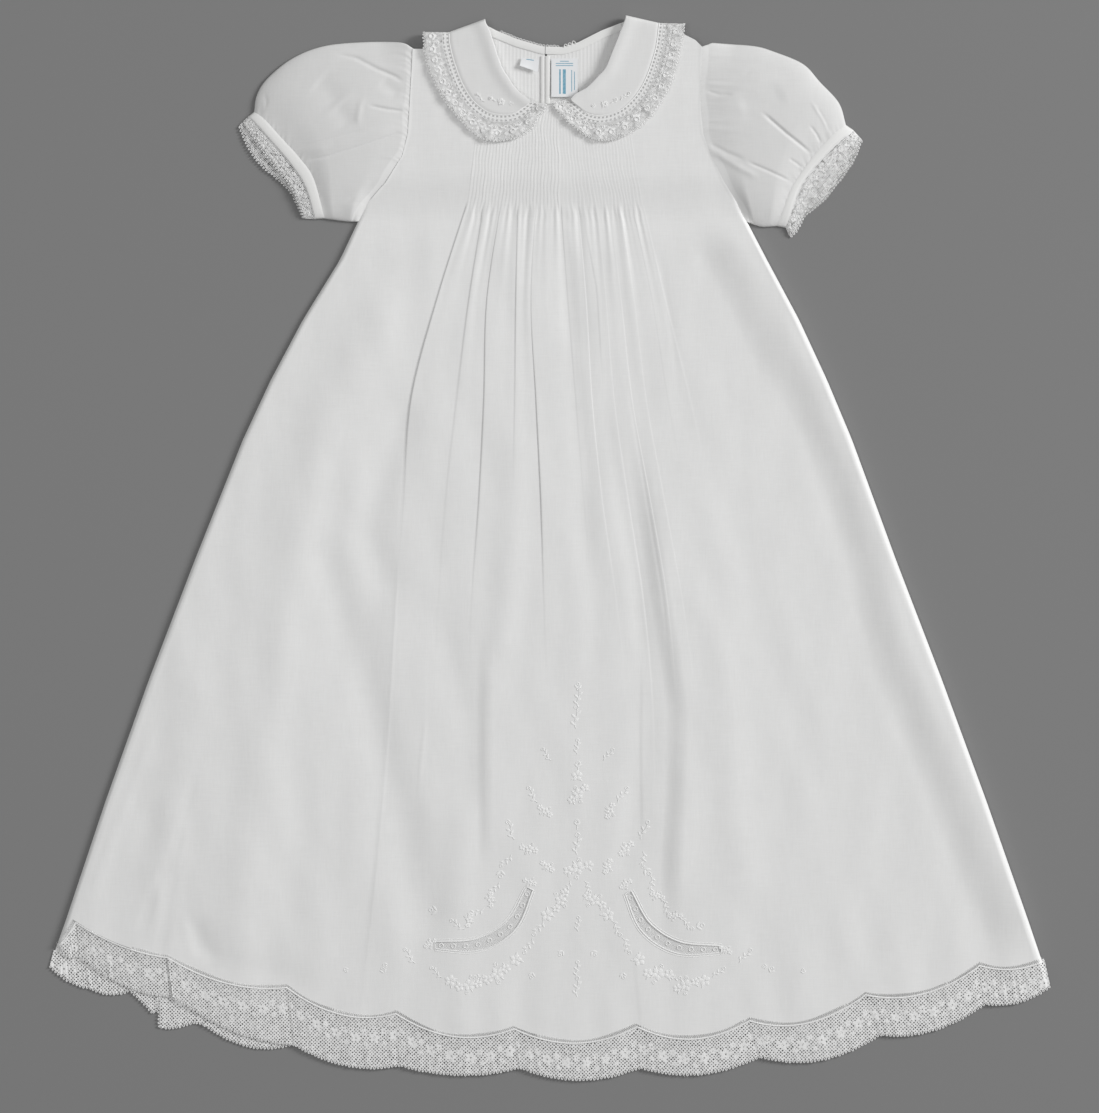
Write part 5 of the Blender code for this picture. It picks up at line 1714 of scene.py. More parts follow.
# ---------------------------------------------------------------- crescent insertions
@dataclass(frozen=True)
class CrescentInset:
    """Lace crescent let into the front, with corded edges and a row of rings."""

    name: str
    line: Line
    surface: FrontSurface
    width: float = 8.0
    cord: float = 0.42
    ring_step: float = 7.8
    ring_radius: float = 1.35
    ring_thread: float = 0.3
    inner_cord: float = 0.22
    inner_reach: float = -1.4       # the inner cord lies this far outside the outline
    tip: float = 0.55               # width of the ends as a share of the middle's
    overlap: float = -0.2           # the lace goes this far under the front
    under: float = -0.25            # heights over the front of the lace, the cords and the rings
    over: float = 0.05
    sunk: float = -0.12

    def edges(self, margin: float = 0.0) -> tuple[Array, Array, Array]:
        """Middle line, left edge and right edge.

        Args:
            margin: how far the edges are drawn in.

        Returns:
            The three lines.
        """
        path = even_curve(self.line, 1.2)
        share = evenly(len(path))
        half = (self.width / 2.0 * (self.tip + (1.0 - self.tip) * np.sin(math.pi * share)) - margin)[:, None]
        normal = sideways(path)
        return path, path + normal * half, path - normal * half

    def outline(self, margin: float = 0.0) -> Array:
        """Closed outline of the hole."""
        _, left, right = self.edges(margin)
        return np.concatenate([left, right[::-1]])

    def lifted(self, plan: Array, rise: float) -> Array:
        """Plan points set on the front with a small rise."""
        return raised(plan, self.surface.height(plan[..., 0], plan[..., 1]) + rise)

    def build(self, finishes: Finishes) -> None:
        """Make the lace, and its cords and rings.

        Args:
            finishes: the materials.
        """
        path, left, right = self.edges(self.overlap)
        shares = evenly(9)
        plan = left[None] + shares[:, None, None] * (right - left)[None]
        across = shares[:, None] * np.linalg.norm(right - left, axis=1)[None] + 1.0
        lace = make_grid(f"crescent_lace_{self.name}", self.lifted(plan, self.under),
                         paired(lengths_along(path), across))
        enrol(lace, finishes.inset_lace, "lace", f"lace_inset_{self.name}")
        cords = MeshPile()
        for margin, radius in ((0.0, self.cord), (self.inner_reach, self.inner_cord)):
            cords.add_cord(self.lifted(self.outline(margin), self.over), radius, 8, closed=True, flat=0.5)
        count = int(lengths_along(path)[-1] / self.ring_step)
        for centre in walk(path, (np.arange(count) + 0.5) / count):
            ring = centre + circle(12, self.ring_radius, self.ring_radius)
            cords.add_cord(self.lifted(ring, self.sunk), self.ring_thread, 6, closed=True, flat=0.5)
        trim = enrol(cords.build(f"crescent_cords_{self.name}", upwards=False), finishes.thread, "lace")


# ---------------------------------------------------------------- body panels
@dataclass(frozen=True)
class FrontPanel:
    """Front of the gown: one panel with pintucks, pleats, soft folds and two crescent holes."""

    body: BodyShape
    surface: FrontSurface
    crescents: tuple[CrescentInset, ...]
    side_columns: int = 59
    column_step: float = 0.25
    shoulder_rows: int = 20
    yoke_rows: int = 36
    snap: float = 1.1               # points this near to a crescent's outline are drawn onto it
    layer: float = 0.12             # height that a seam allowance adds

    def skirt_shares(self) -> Array:
        """Rows from the underarm to the hem, closer below the tucks and at the crescents.

        Returns:
            Their shares of the way down.
        """
        parts = ((0.0, 0.08, 20), (0.08, 0.8, 62), (0.8, 0.925, 34), (0.925, 1.0, 12))
        rows = [np.linspace(a, b, n, endpoint=False) for a, b, n in parts]
        return np.append(np.concatenate(rows), 1.0)[1:]

    def open_crescents(self, x: Array, y: Array) -> Array:
        """Draw the grid to the crescents' outlines, and say which cells lie outside them.

        Args:
            x: grid x, changed in place.
            y: grid y, changed in place.

        Returns:
            True for each cell that stays.
        """
        keep = np.ones((x.shape[0] - 1, x.shape[1] - 1), dtype=bool)
        for crescent in self.crescents:
            outline = crescent.outline()
            loop = np.concatenate([outline, outline[:1]])
            low, high = outline.min(axis=0) - 6.0, outline.max(axis=0) + 6.0
            near = (x > low[0]) & (x < high[0]) & (y > low[1]) & (y < high[1])
            rows, columns = np.where(near)
            gap, share = line_distance(x[near], y[near], loop)
            area = 0.5 * float(np.sum(loop[:-1, 0] * loop[1:, 1] - loop[1:, 0] * loop[:-1, 1]))
            inside = gap * math.copysign(1.0, area) > 0.0
            edge = walk(loop, share)
            pulled = np.abs(gap) < self.snap
            x[rows[pulled], columns[pulled]] = edge[pulled, 0]
            y[rows[pulled], columns[pulled]] = edge[pulled, 1]
            hole = np.zeros(x.shape, dtype=bool)
            hole[rows, columns] = inside | pulled
            cell = hole[:-1, :-1] & hole[1:, :-1] & hole[1:, 1:] & hole[:-1, 1:]
            deep = np.zeros(x.shape, dtype=bool)
            deep[rows, columns] = inside & ~pulled
            touched = deep[:-1, :-1] | deep[1:, :-1] | deep[1:, 1:] | deep[:-1, 1:]
            keep &= ~(touched | cell)
        return keep

    def allowance(self, x: Array, y: Array) -> Array:
        """Share of seam allowance under the cloth.

        Args:
            x: places' x.
            y: places' y.

        Returns:
            1 beside the armholes and the side seams, and 0 elsewhere.
        """
        width = np.where(y > self.body.underarm, 1.5, 3.5) + 0.5 * np.sin(y / 7.0)
        return ease((width - self.body.margin(x, y)) / 1.2)

    def build(self, finishes: Finishes) -> Piece:
        """Make the panel.

        Args:
            finishes: the materials.

        Returns:
            The cloth.
        """
        hem = scallop_edge(SCALLOPS, 40)
        plan = PanelPlan(self.body, FRONT_NECK, hem, self.side_columns, self.column_step, self.shoulder_rows,
                         self.yoke_rows, self.skirt_shares())
        x, y, number = plan.points()
        keep = self.open_crescents(x, y)
        column = np.broadcast_to(number, x.shape)
        z = self.surface.height(x, y, column)
        foot = np.array(column)
        foot[:, self.side_columns] = -self.column_step
        x = x + self.surface.undercut(foot, y) + self.surface.waver(column, y)
        places = paired(x, y)
        doubled = self.allowance(x, y)
        cloth = make_grid("front_cloth", raised(places, z + self.layer * doubled), raised(places, doubled),
                          keep=keep)
        drop_loose(cloth)
        return enrol(cloth, finishes.batiste, "batiste", "front")


@dataclass(frozen=True)
class BackPanel:
    """Back of the gown under the front, with its placket slit and its own tucks at the neck."""

    body: BodyShape
    floor_z: float = 0.25
    rise: float = 2.3
    slit_x: float = -3.0
    slit_width: float = 0.5
    slit_end: float = 262.0
    tuck_pitch: float = 2.4
    tuck_height: float = 0.08
    tucks_from: float = 6.0         # distances from the slit between which the tucks lie
    tucks_to: float = 46.0
    tucks_end: float = 215.0

    def height(self, x: Array, y: Array) -> Array:
        """Height of the back.

        Args:
            x: places' x.
            y: places' y.

        Returns:
            Z.
        """
        z = self.floor_z + self.rise * ease((y - TUCK_END) / (PanelPlan.chest - TUCK_END))
        away = np.abs(x - self.slit_x)
        part = away / self.tuck_pitch
        part = part - np.floor(part)
        ridge = ease((part - 0.3) / 0.2) * ease((0.85 - part) / 0.3)
        inside = (away > self.tucks_from) & (away < self.tucks_to)
        return z + np.where(inside, self.tuck_height * ridge * ease((y - self.tucks_end) / 12.0), 0.0)

    def build(self, finishes: Finishes) -> Piece:
        """Make the panel.

        Args:
            finishes: the materials.

        Returns:
            The cloth.
        """
        hem = scallop_edge(BACK_SCALLOPS, 30)
        plan = PanelPlan(self.body, BACK_NECK, hem, 40, 0.4, 16, 22, evenly(70)[1:])
        x, y, number = plan.points()
        edge = int(np.argmin(np.abs(x[30] - (self.slit_x - self.slit_width / 2.0))))
        keep = np.ones((x.shape[0] - 1, x.shape[1] - 1), dtype=bool)
        above = y[:, edge] >= self.slit_end
        x[above, edge] = self.slit_x - self.slit_width / 2.0
        x[above, edge + 1] = self.slit_x + self.slit_width / 2.0
        keep[above[1:], edge] = False
        places = paired(x, y)
        cloth = make_grid("back_cloth", raised(places, self.height(x, y)), places, keep=keep)
        return enrol(cloth, finishes.batiste, "batiste", "back")


# ---------------------------------------------------------------- lace edges
@dataclass(frozen=True)
class PicotEdge:
    """Row of small thread loops along the edge of a lace."""

    step: float = 2.3
    reach: float = 1.5
    thread: float = 0.33
    gathered: float = 0.26          # half the width of a loop as a share of the step

    def add(self, pile: MeshPile, rim: Array, outward: Array) -> None:
        """Add the loops of one edge.

        Args:
            pile: where they go.
            rim: the edge in space.
            outward: plan directions away from the lace at each point of the edge.
        """
        length = lengths_along(rim)[-1]
        count = max(2, int(length / self.step))
        shares = evenly(count + 1)
        reach = lengths_along(rim) / length
        away = np.stack([np.interp(shares, reach, outward[:, axis]) for axis in (0, 1)], axis=1)
        feet = walk(rim, shares)
        turn = np.linspace(0.0, math.pi, 5)
        draw = np.random.default_rng(count)
        for a, b, out in zip(feet, feet[1:], raised(away, 0.0)):
            middle, half = (a + b) / 2.0, (b - a) * self.gathered
            lift = out * self.reach * draw.uniform(0.75, 1.15)
            loop = middle - np.cos(turn)[:, None] * half + np.sin(turn)[:, None] * lift
            pile.add_cord(loop, self.thread, 4)


@dataclass(frozen=True)
class HemLace:
    """Scalloped lace edge of one panel, with knife folds between its scallops."""

    name: str
    table: Rows
    base: Callable[[Array, Array], Array]
    rim_z: float
    wave: float
    folds: tuple[float, ...]        # height of the knife fold at each row of the table
    gathers: Line                   # height of the upright gathers along X
    seed: int
    folded: Line = ()               # lower edge where the lace is folded and leaves a gap
    steps: int = 84
    rows: int = 14
    gather_step: float = 4.3
    sharp: float = 0.016            # width of a knife fold's edge, and how far its roll reaches, in scallops
    rolls: float = 0.13
    lean: float = 2.2               # how far a knife fold leans over, for each millimetre of its height

    def build(self, finishes: Finishes, node: str) -> None:
        """Make the lace and its picots.

        Args:
            finishes: the materials.
            node: the solid that it stands for.
        """
        upper = scallop_edge(self.table, self.steps)
        lower = scallop_edge(self.table, self.steps, cloth=False)
        if self.folded:
            inside = (lower[:, 0] > self.folded[0][0]) & (lower[:, 0] < self.folded[-1][0])
            lower[inside, 1] = table_value(self.folded, lower[inside, 0])
        draw = np.random.default_rng(self.seed)
        turn = np.arange(len(upper)) / self.steps
        nearest = turn - np.round(turn)
        share = evenly(self.rows)[:, None]
        plan = upper[None] + share[..., None] * (lower - upper)[None]
        edge_z = self.base(upper[:, 0], upper[:, 1])
        z = edge_z + share ** 0.8 * (self.rim_z - edge_z)
        waves = ripple([math.tau * turn * count for count in (3.0, 5.0, 8.0, 13.0)], 2.0, draw)
        z = z + self.wave * (0.35 + 0.65 * share) * (0.5 + 0.5 * waves)
        reach = lengths_along(upper)
        upright = 0.5 + 0.5 * np.sin(math.tau * reach / self.gather_step + 0.8 * np.sin(reach / 7.0))
        swell = np.sin(math.pi * (0.12 + 0.7 * share))
        z = z + table_value(self.gathers, upper[:, 0]) * upright ** 0.7 * swell
        # Knife fold: the cloth doubles back over itself beside each point between two scallops.
        fold = np.asarray(self.folds)[np.round(turn).astype(int)]
        lip = np.exp(-((nearest - 0.02) / self.sharp) ** 2)
        roll = np.exp(-np.maximum(nearest, 0.0) / self.rolls) * (nearest >= 0.0)
        z = z + fold * (0.4 + 0.6 * share) * roll
        plan[..., 0] -= self.lean * fold * lip * (0.3 + 0.7 * share)
        grid = raised(plan, z)
        lace = make_grid(self.name, grid, paired(reach, share * np.linalg.norm(lower - upper, axis=1)))
        enrol(lace, finishes.hem_lace, "lace", node)
        trim = MeshPile()
        PicotEdge().add(trim, grid[-1], -sideways(grid[-1]))
        loops = enrol(trim.build(self.name + "_picots", upwards=False), finishes.thread, "lace")


# ---------------------------------------------------------------- sleeves and cuffs
def patch(start: Array, end: Array, top: Array, low: Array, s: Array, t: Array) -> Array:
    """Plan of a four-sided patch.

    Args:
        start: its edge at s = 0.
        end: its edge at s = 1.
        top: its edge at t = 0.
        low: its edge at t = 1.
        s: places from start to end.
        t: places from top to low.

    Returns:
        One plan point for each place.
    """
    top = np.concatenate([start[:1], top[1:-1], end[:1]])
    low = np.concatenate([start[-1:], low[1:-1], end[-1:]])
    s, t = np.broadcast_arrays(s, t)
    s3, t3 = s[..., None], t[..., None]
    across = walk(start, t) + s3 * (walk(end, t) - walk(start, t))
    down = walk(top, s) + t3 * (walk(low, s) - walk(top, s))
    first = start[0] + t3 * (start[-1] - start[0])
    last = end[0] + t3 * (end[-1] - end[0])
    return across + down - (first + s3 * (last - first))


def puffed(t: Array) -> Array:
    """Rounded rise between the two folds of a flattened tube."""
    return (1.0 - np.abs(2.0 * t - 1.0) ** 5.0) ** 0.55


@dataclass(frozen=True)
class Gather:
    """Fine gathers along one end of a sleeve."""

    count: int
    reach: float
    height: float
    first: float
    last: float
    seed: int

    def rise(self, away: Array, t: Array) -> Array:
        """Height of the gathers.

        Args:
            away: distance from the seam as a share of the sleeve.
            t: place round the sleeve.

        Returns:
            Their rise.
        """
        draw = np.random.default_rng(self.seed)
        total = np.zeros(np.broadcast(away, t).shape)
        span = (self.last - self.first) / self.count
        for i in range(self.count):
            centre = self.first + span * (i + 0.5 + draw.uniform(-0.28, 0.28))
            width = span * draw.uniform(0.26, 0.42)
            reach = self.reach * draw.uniform(0.35, 1.6)
            lean = draw.uniform(-0.08, 0.08)
            height = self.height * draw.uniform(0.5, 1.3)
            spread = width * (1.0 + 2.0 * away / self.reach)
            across = np.exp(-((t - centre - lean * away) / spread) ** 2)
            total += height * across * np.exp(-(away / reach) ** 1.4)
        return total


@dataclass(frozen=True)
class Sleeve:
    """Puffed sleeve gathered into the armhole and the cuff."""

    name: str
    armhole: Array
    cuff: Line
    top: Line
    under: Line
    surface: FrontSurface
    cap: Gather
    cuffed: Gather
    creases: tuple[Crease, ...]
    puff: float = 5.4
    crown: float = 1.7
    cuff_z: float = 4.0
    back_z: float = 0.25
    edge_z: float = 0.5
    seam_width: float = 5.6
    seam_under: float = 0.35        # it starts this far under the front
    flat_to: float = 0.2            # its folded edges are round beyond this share of its length
    full_to: float = 0.3            # it rises up to here
    falls_from: float = 0.72        # and falls to the cuff from here, over this share
    falls_over: float = 0.28

    def build(self, finishes: Finishes) -> None:
        """Make the sleeve.

        Args:
            finishes: the materials.
        """
        start, end = self.armhole, even_curve(self.cuff, 1.5)
        top, under = even_curve(self.top, 2.0), even_curve(self.under, 2.0)
        s = evenly(92)[:, None]
        over = evenly(190)[None, :]
        upper = patch(start, end, top, under, s, over)
        seam = self.surface.height(upper[0, :, 0], upper[0, :, 1]) - self.seam_under
        rise = seam + (self.puff - seam) * ease(s / self.full_to)
        rise = rise + (self.cuff_z - rise) * ease((s - self.falls_from) / self.falls_over)
        rise = rise + self.crown * np.sin(math.pi * s) ** 0.8 * np.sin(math.pi * over)
        rise = rise + self.cap.rise(s, over) + self.cuffed.rise(1.0 - s, over)
        x, y = upper[..., 0], upper[..., 1]
        for crease in self.creases:
            rise = rise + crease.rise(x, y)
        round_off = (1.0 - puffed(over)) * ease(s / self.flat_to)
        z = self.edge_z + (rise - self.edge_z) * (1.0 - round_off)
        flat = np.linspace(1.0, 0.0, 26)[None, 1:-1]
        lower = patch(start, end, top, under, s, flat)
        grid = np.concatenate([raised(upper, z), raised(lower, self.back_z)], axis=1)
        away = np.linalg.norm(grid[..., :2] - grid[:1, :, :2], axis=-1)
        doubled = ease((self.seam_width + 0.8 * np.sin(np.arange(grid.shape[1]) / 9.0) - away) / 1.3)
        cloth = make_grid(f"sleeve_{self.name}_cloth", grid, raised(grid[..., :2], doubled), closed=True)
        enrol(cloth, finishes.sleeve, "batiste", f"sleeve_{self.name}")


def add_coils(pile: MeshPile, grid: Array, along: Array, rows: Sequence[int], step: float, radius: float,
              draw: np.random.Generator) -> None:
    """Add rows of small loose coils of thread on a lace.

    Args:
        pile: where they go.
        grid: the lace's surface, by row and column.
        along: distance along it at each column.
        rows: rows of the surface that carry coils.
        step: distance between two coils of a row.
        radius: their usual radius.
        draw: the source of their unevenness.
    """
    for row in rows:
        for place in np.arange(step / 2.0, along[-1] - step / 2.0, step):
            column = int(np.searchsorted(along, place + draw.uniform(-0.3, 0.3) * step))
            if draw.uniform() < 0.15 or not 1 < column < grid.shape[1] - 2:
                continue
            size = radius * draw.uniform(0.65, 1.15)
            ring = grid[row, column] + raised(circle(7, size, 0.8 * size), 0.12)
            pile.add_cord(ring, 0.24, 4, closed=True, flat=0.8)


@dataclass(frozen=True)
class Cuff:
    """Bound edge of a sleeve and its lace frill."""

    name: str
    seam: Line
    band: Line
    lace_over: Line
    lace_under: Line
    seed: int
    height: float = 3.9
    back_z: float = 0.25

    def build(self, finishes: Finishes) -> None:
        """Make the band and the lace.

        Args:
            finishes: the materials.
        """
        seam, edge = even_curve(self.seam, 1.5), even_curve(self.band, 1.5)
        over = evenly(110)[None, :]
        back = np.linspace(1.0, 0.0, 22)[None, 1:-1]
        s = evenly(9)[:, None]
        bulge = 1.0 - 0.07 * np.abs(2.0 * s - 1.0) ** 3.0
        around = np.concatenate([over, back], axis=1)
        plan = walk(seam, around) + s[..., None] * (walk(edge, around) - walk(seam, around))
        upper = 0.5 + self.height * puffed(over) * bulge
        z = np.concatenate([upper, np.full((len(s), back.shape[1]), self.back_z)], axis=1)
        band = make_grid(f"cuff_{self.name}_binding", raised(plan, z), plan, closed=True)
        enrol(band, finishes.binding, "binding", f"cuff_band_{self.name}")

        lace, trim = MeshPile(), MeshPile()
        draw = np.random.default_rng(self.seed)
        t = evenly(220)[None, :]
        s = evenly(10)[:, None]
        for line, base, drop, wave in ((self.lace_over, self.height - 0.6, 1.5, 0.75),
                                       (self.lace_under, 0.3, 0.0, 0.2)):
            foot = walk(edge, t)
            out = walk(even_curve(line, 1.5), t) - foot
            plan = foot + s[..., None] * out
            waves = ripple([math.tau * t * count for count in (7.0, 11.0, 17.0)], 3.0, draw)
            z = 0.4 + (base - drop * s) * puffed(t) + wave * s * (1.0 + waves) * 0.5
            run = sideways(foot[0])
            sway = 0.5 * s * np.cos(math.tau * t * 9.0)
            plan = plan - sway[..., None] * np.stack([run[:, 1], -run[:, 0]], axis=1)[None]
            along = lengths_along(foot[0])
            grid = raised(plan, z)
            lace.add_grid(grid, places=paired(along, s * np.linalg.norm(out, axis=-1)))
            away = out[0] / np.linalg.norm(out[0], axis=1)[:, None]
            PicotEdge(2.2, 1.5, 0.32).add(trim, grid[-1], away)
            add_coils(trim, grid, along, (3, 5, 8), 2.1, 0.8, draw)
        frill = enrol(lace.build(f"cuff_{self.name}_frill"), finishes.cuff_lace, "lace",
                      f"cuff_lace_{self.name}")
        loops = enrol(trim.build(f"cuff_{self.name}_picots", upwards=False), finishes.thread, "lace")


# ---------------------------------------------------------------- collar
@dataclass(frozen=True)
class CollarHalf:
    """Round collar half over the shoulder, with its ladder and gathered lace edge."""

    name: str
    front: Rows
    fold: tuple[float, ...]
    back: Rows
    seed: int
    front_z: float = 6.5
    back_z: float = 0.35
    roll: float = 0.9
    roll_at: float = 2.5            # distance of the roll from the neck, and its width
    roll_width: float = 5.0
    inner: tuple[float, ...] = (-0.13, -0.10, -0.07, -0.04, -0.015)    # columns inside the neck
    inner_spread: float = 0.35
    inner_slope: float = 1.1
    inner_drop: float = 2.6
    hem_from: float = 0.93
    hem_width: float = 0.07
    hem_drop: float = 0.5
    ruffle: float = 0.7
    ruffle_waves: tuple[float, ...] = (6.3, 8.9, 13.7)
    ladder: float = 0.25            # share of the lace that the ladder takes
    ladder_drop: float = 0.35
    lobe: float = 0.9               # reach and pitch of the scalloped rim, which also carries the rings
    lobe_step: float = 6.5
    drawn_in: float = 0.3
    sway: float = 0.7
    sway_step: float = 7.6
    ring_radius: float = 1.55
    ring_row: int = 10

    def stations(self) -> Array:
        """Stations from the centre front to the centre back, each with three points in space.

        Returns:
            An array by station, line and coordinate.
        """
        def flat(rows: Sequence[Sequence[float]], z: float) -> list[Array]:
            """Stations that lie level."""
            return [raised(np.reshape(row, (3, 2)), z) for row in rows]

        radius = (self.front_z - self.back_z) / 2.0
        middle = (self.front_z + self.back_z) / 2.0
        points = np.reshape(self.fold, (3, 2))
        run = points[-1] - points[0]
        away = np.array([-run[1], run[0]]) * math.copysign(1.0, run[0])
        away /= np.linalg.norm(away)
        bends = []
        for angle in (0.0, 45.0, 90.0, 135.0, 180.0):
            reach = radius * math.sin(math.radians(angle)) - radius - 0.5
            z = middle + radius * math.cos(math.radians(angle))
            bends.append(raised(points + away * reach, z))
        return np.array(flat(self.front, self.front_z) + bends + flat(self.back, self.back_z))

    def upper(self, z: Array) -> Array:
        """1 on the collar's upper layer and 0 on the one under the gown."""
        return np.clip((z - self.back_z) / (self.front_z - self.back_z) * 2.0 - 1.0, 0.0, 1.0)

    def build(self, finishes: Finishes) -> None:
        """Make the cloth, the lace and its trims.

        Args:
            finishes: the materials.
        """
        stations = self.stations()
        where = np.linspace(0.0, len(stations) - 1.0, 230)
        neck, edge = spline_at(stations[:, 0], where), spline_at(stations[:, 1], where)
        across = np.concatenate([self.inner, evenly(24) ** 1.15])
        out = np.abs(across)[:, None, None] * (edge - neck)[None]
        grid = neck[None] + np.where(across[:, None, None] < 0.0, out * self.inner_spread, out)
        width = np.linalg.norm((edge - neck)[:, :2], axis=1)
        far = np.abs(across)[:, None] * width[None]
        upper = self.upper(grid[..., 2])
        inside = across[:, None] < 0.0
        lip = np.where(inside, far, 0.0)
        from_roll = (np.where(inside, 0.0, far) - self.roll_at) / self.roll_width
        roll = self.roll * upper * np.exp(-from_roll ** 2)
        grid[..., 2] += roll - upper * np.minimum(lip * self.inner_slope, self.inner_drop)
        hem = np.clip((across[:, None] - self.hem_from) / self.hem_width, 0.0, 1.0)
        grid[..., 2] -= self.hem_drop * upper * hem ** 2
        cloth = make_grid(f"collar_{self.name}_cloth", grid, grid[..., :2])
        enrol(cloth, finishes.collar, "batiste", f"collar_{self.name}")
        self.build_lace(stations, finishes)

    def build_lace(self, stations: Array, finishes: Finishes) -> None:
        """Make the ladder and gathered lace round the collar.

        Args:
            stations: the collar's stations.
            finishes: the materials.
        """
        where = np.linspace(0.0, len(stations) - 1.0, 760)
        edge, rim = spline_at(stations[:, 1], where), spline_at(stations[:, 2], where)
        share = evenly(15)[:, None]
        grid = edge[None] + share[..., None] * (rim - edge)[None]
        along = lengths_along(edge)
        upper = self.upper(grid[..., 2])
        draw = np.random.default_rng(self.seed)
        waves = ripple([math.tau * along / wave for wave in self.ruffle_waves], 3.0, draw)
        free = ease((share - self.ladder) / (1.0 - self.ladder))
        out = rim[:, :2] - edge[:, :2]
        out /= np.maximum(np.linalg.norm(out, axis=1), TINY)[:, None]
        lobes = self.lobe * np.abs(np.sin(math.pi * along / self.lobe_step)) * upper[-1]
        grid[..., :2] += (free * (lobes - self.drawn_in))[..., None] * out[None]
        grid[..., 2] += self.ruffle * upper * free * (0.55 + waves) - self.ladder_drop * upper * (1.0 - free)
        run = np.gradient(edge, axis=0)
        run /= np.maximum(np.linalg.norm(run, axis=1), TINY)[:, None]
        sway = self.sway * upper * free * np.cos(math.tau * along / self.sway_step)
        grid += sway[..., None] * run[None]
        across = share * np.linalg.norm(rim - edge, axis=1)
        lace = make_grid(f"collar_{self.name}_lace", grid, paired(along, across))
        enrol(lace, finishes.edge_lace, "lace", f"collar_lace_{self.name}")
        trim = MeshPile()
        PicotEdge(2.2, 1.3, 0.3).add(trim, grid[-1], out)
        self.add_rings(trim, grid, along)
        shown = grid[:, grid[self.ring_row, :, 2] > self.front_z - 1.0]
        add_coils(trim, shown, lengths_along(shown[0]), (7, 13), 2.6, 0.75, draw)
        for row, radius in ((0, 0.3), (3, 0.16)):
            trim.add_cord(grid[row] + (0.0, 0.0, 0.05), radius, 5, flat=0.6)
        loops = enrol(trim.build(f"collar_{self.name}_picots", upwards=False), finishes.thread, "lace")

    def add_rings(self, pile: MeshPile, grid: Array, along: Array) -> None:
        """Add the raised rings that stand in a row on the lace.

        Args:
            pile: where they go.
            grid: the lace's surface.
            along: distance along the collar at each column.
        """
        ring = raised(circle(10, self.ring_radius, self.ring_radius), 0.12)
        for place in np.arange(self.lobe_step / 2.0, along[-1], self.lobe_step):
            column = int(np.searchsorted(along, place))
            if column < grid.shape[1] - 2 and grid[self.ring_row, column, 2] >= self.front_z - 1.0:
                pile.add_cord(grid[self.ring_row, column] + ring, 0.27, 5, closed=True, flat=0.8)


# ---------------------------------------------------------------- trims inside the neck
@dataclass(frozen=True)
class NeckTrims:
    """Binding, placket strips, labels and neck frill on the inside of the back."""

    back: BackPanel
    binding_width: float = 5.0
    placket_width: float = 3.0
    placket_end: float = 264.0
    lift: float = 0.35              # heights over the back of the strips and the labels
    label_lift: float = 1.2

    def strip(self, name: str, first: Array, second: Array, rows: int, crown: float,
              over: float = 0.0) -> Piece:
        """Strip between two lines, slightly domed across.

        Args:
            name: its name.
            first: one edge in plan.
            second: the other edge.
            rows: points across it.
            crown: how high its middle stands.
            over: how far it lies above the others.

        Returns:
            The object.
        """
        share = evenly(rows)[:, None]
        plan = first[None] + share[..., None] * (second - first)[None]
        z = self.back.floor_z + self.back.rise + self.lift + over
        z = z + crown * np.sin(math.pi * share) ** 0.5
        across = share * np.linalg.norm(second - first, axis=1)
        return make_grid(name, raised(plan, z), paired(lengths_along(first), across))

    def build(self, finishes: Finishes) -> None:
        """Make every trim.

        Args:
            finishes: the materials.
        """
        gap = self.back.slit_width / 2.0 - 0.1
        slit = self.back.slit_x
        for side, low, high in (("left", BACK_NECK[0][0] + 3.0, slit - gap),
                                ("right", slit + gap, BACK_NECK[-1][0] - 3.0)):
            x = np.linspace(low, high, 50)
            edge = paired(x, table_value(BACK_NECK, x))
            away = sideways(edge)
            band = enrol(self.strip(f"neck_{side}_binding", edge, edge - away * self.binding_width, 9, 0.2),
                         finishes.binding, "binding", f"neck_binding_{side}")
            frill = MeshPile()
            rim = raised(edge, self.back.rise + 0.6)
            near = (x > -33.0) & (x < 6.5)
            PicotEdge(2.1, 1.0, 0.24, 0.4).add(frill, rim[near], away[near])
            if side == "right":
                knot = (x > 8.5) & (x < 17.8)
                PicotEdge(2.4, 2.2, 0.28, 0.42).add(frill, rim[knot] + (0.0, -0.6, 0.3), away[knot])
            enrol(frill.build(f"neck_{side}_frill", upwards=False), finishes.thread, "lace")
        top = table_value(BACK_NECK, slit) - self.binding_width - 1.2
        y = np.linspace(float(top), self.placket_end, 30)
        for side, near, far, over in (("left", slit - gap, slit - gap - self.placket_width, 0.0),
                                      ("right", slit - gap, slit + gap + self.placket_width, 0.35)):
            band = enrol(self.strip(f"placket_{side}_strip", paired(near, y), paired(far, y), 7, 0.3, over),
                         finishes.binding, "binding", f"placket_{side}")
        self.build_labels(finishes)

    def build_labels(self, finishes: Finishes) -> None:
        """Make the bare labels, the small one a little lifted at its lower edge.

        Args:
            finishes: the materials.
        """
        for name, corners, finish, lift in (("main", LABEL_MAIN, finishes.label, 0.25),
                                            ("size", LABEL_SIZE, finishes.small_label, 0.9)):
            a, b, c, d = (np.asarray(point) for point in corners)
            s, t = np.meshgrid(evenly(13), evenly(17), indexing="ij")
            low = a + s[..., None] * (b - a)
            high = d + s[..., None] * (c - d)
            plan = low + t[..., None] * (high - low)
            z = self.back.floor_z + self.back.rise + self.label_lift + lift * (1.0 - t) ** 2
            z = z + 0.12 * np.sin(math.pi * s * 2.0 + 0.6) * (1.0 - t)
            places = paired(s * np.linalg.norm(b - a), t * np.linalg.norm(d - a))
            ribbon = make_grid(f"label_{name}_ribbon", raised(plan, z), places)
            enrol(ribbon, finish, "label", f"label_{name}")


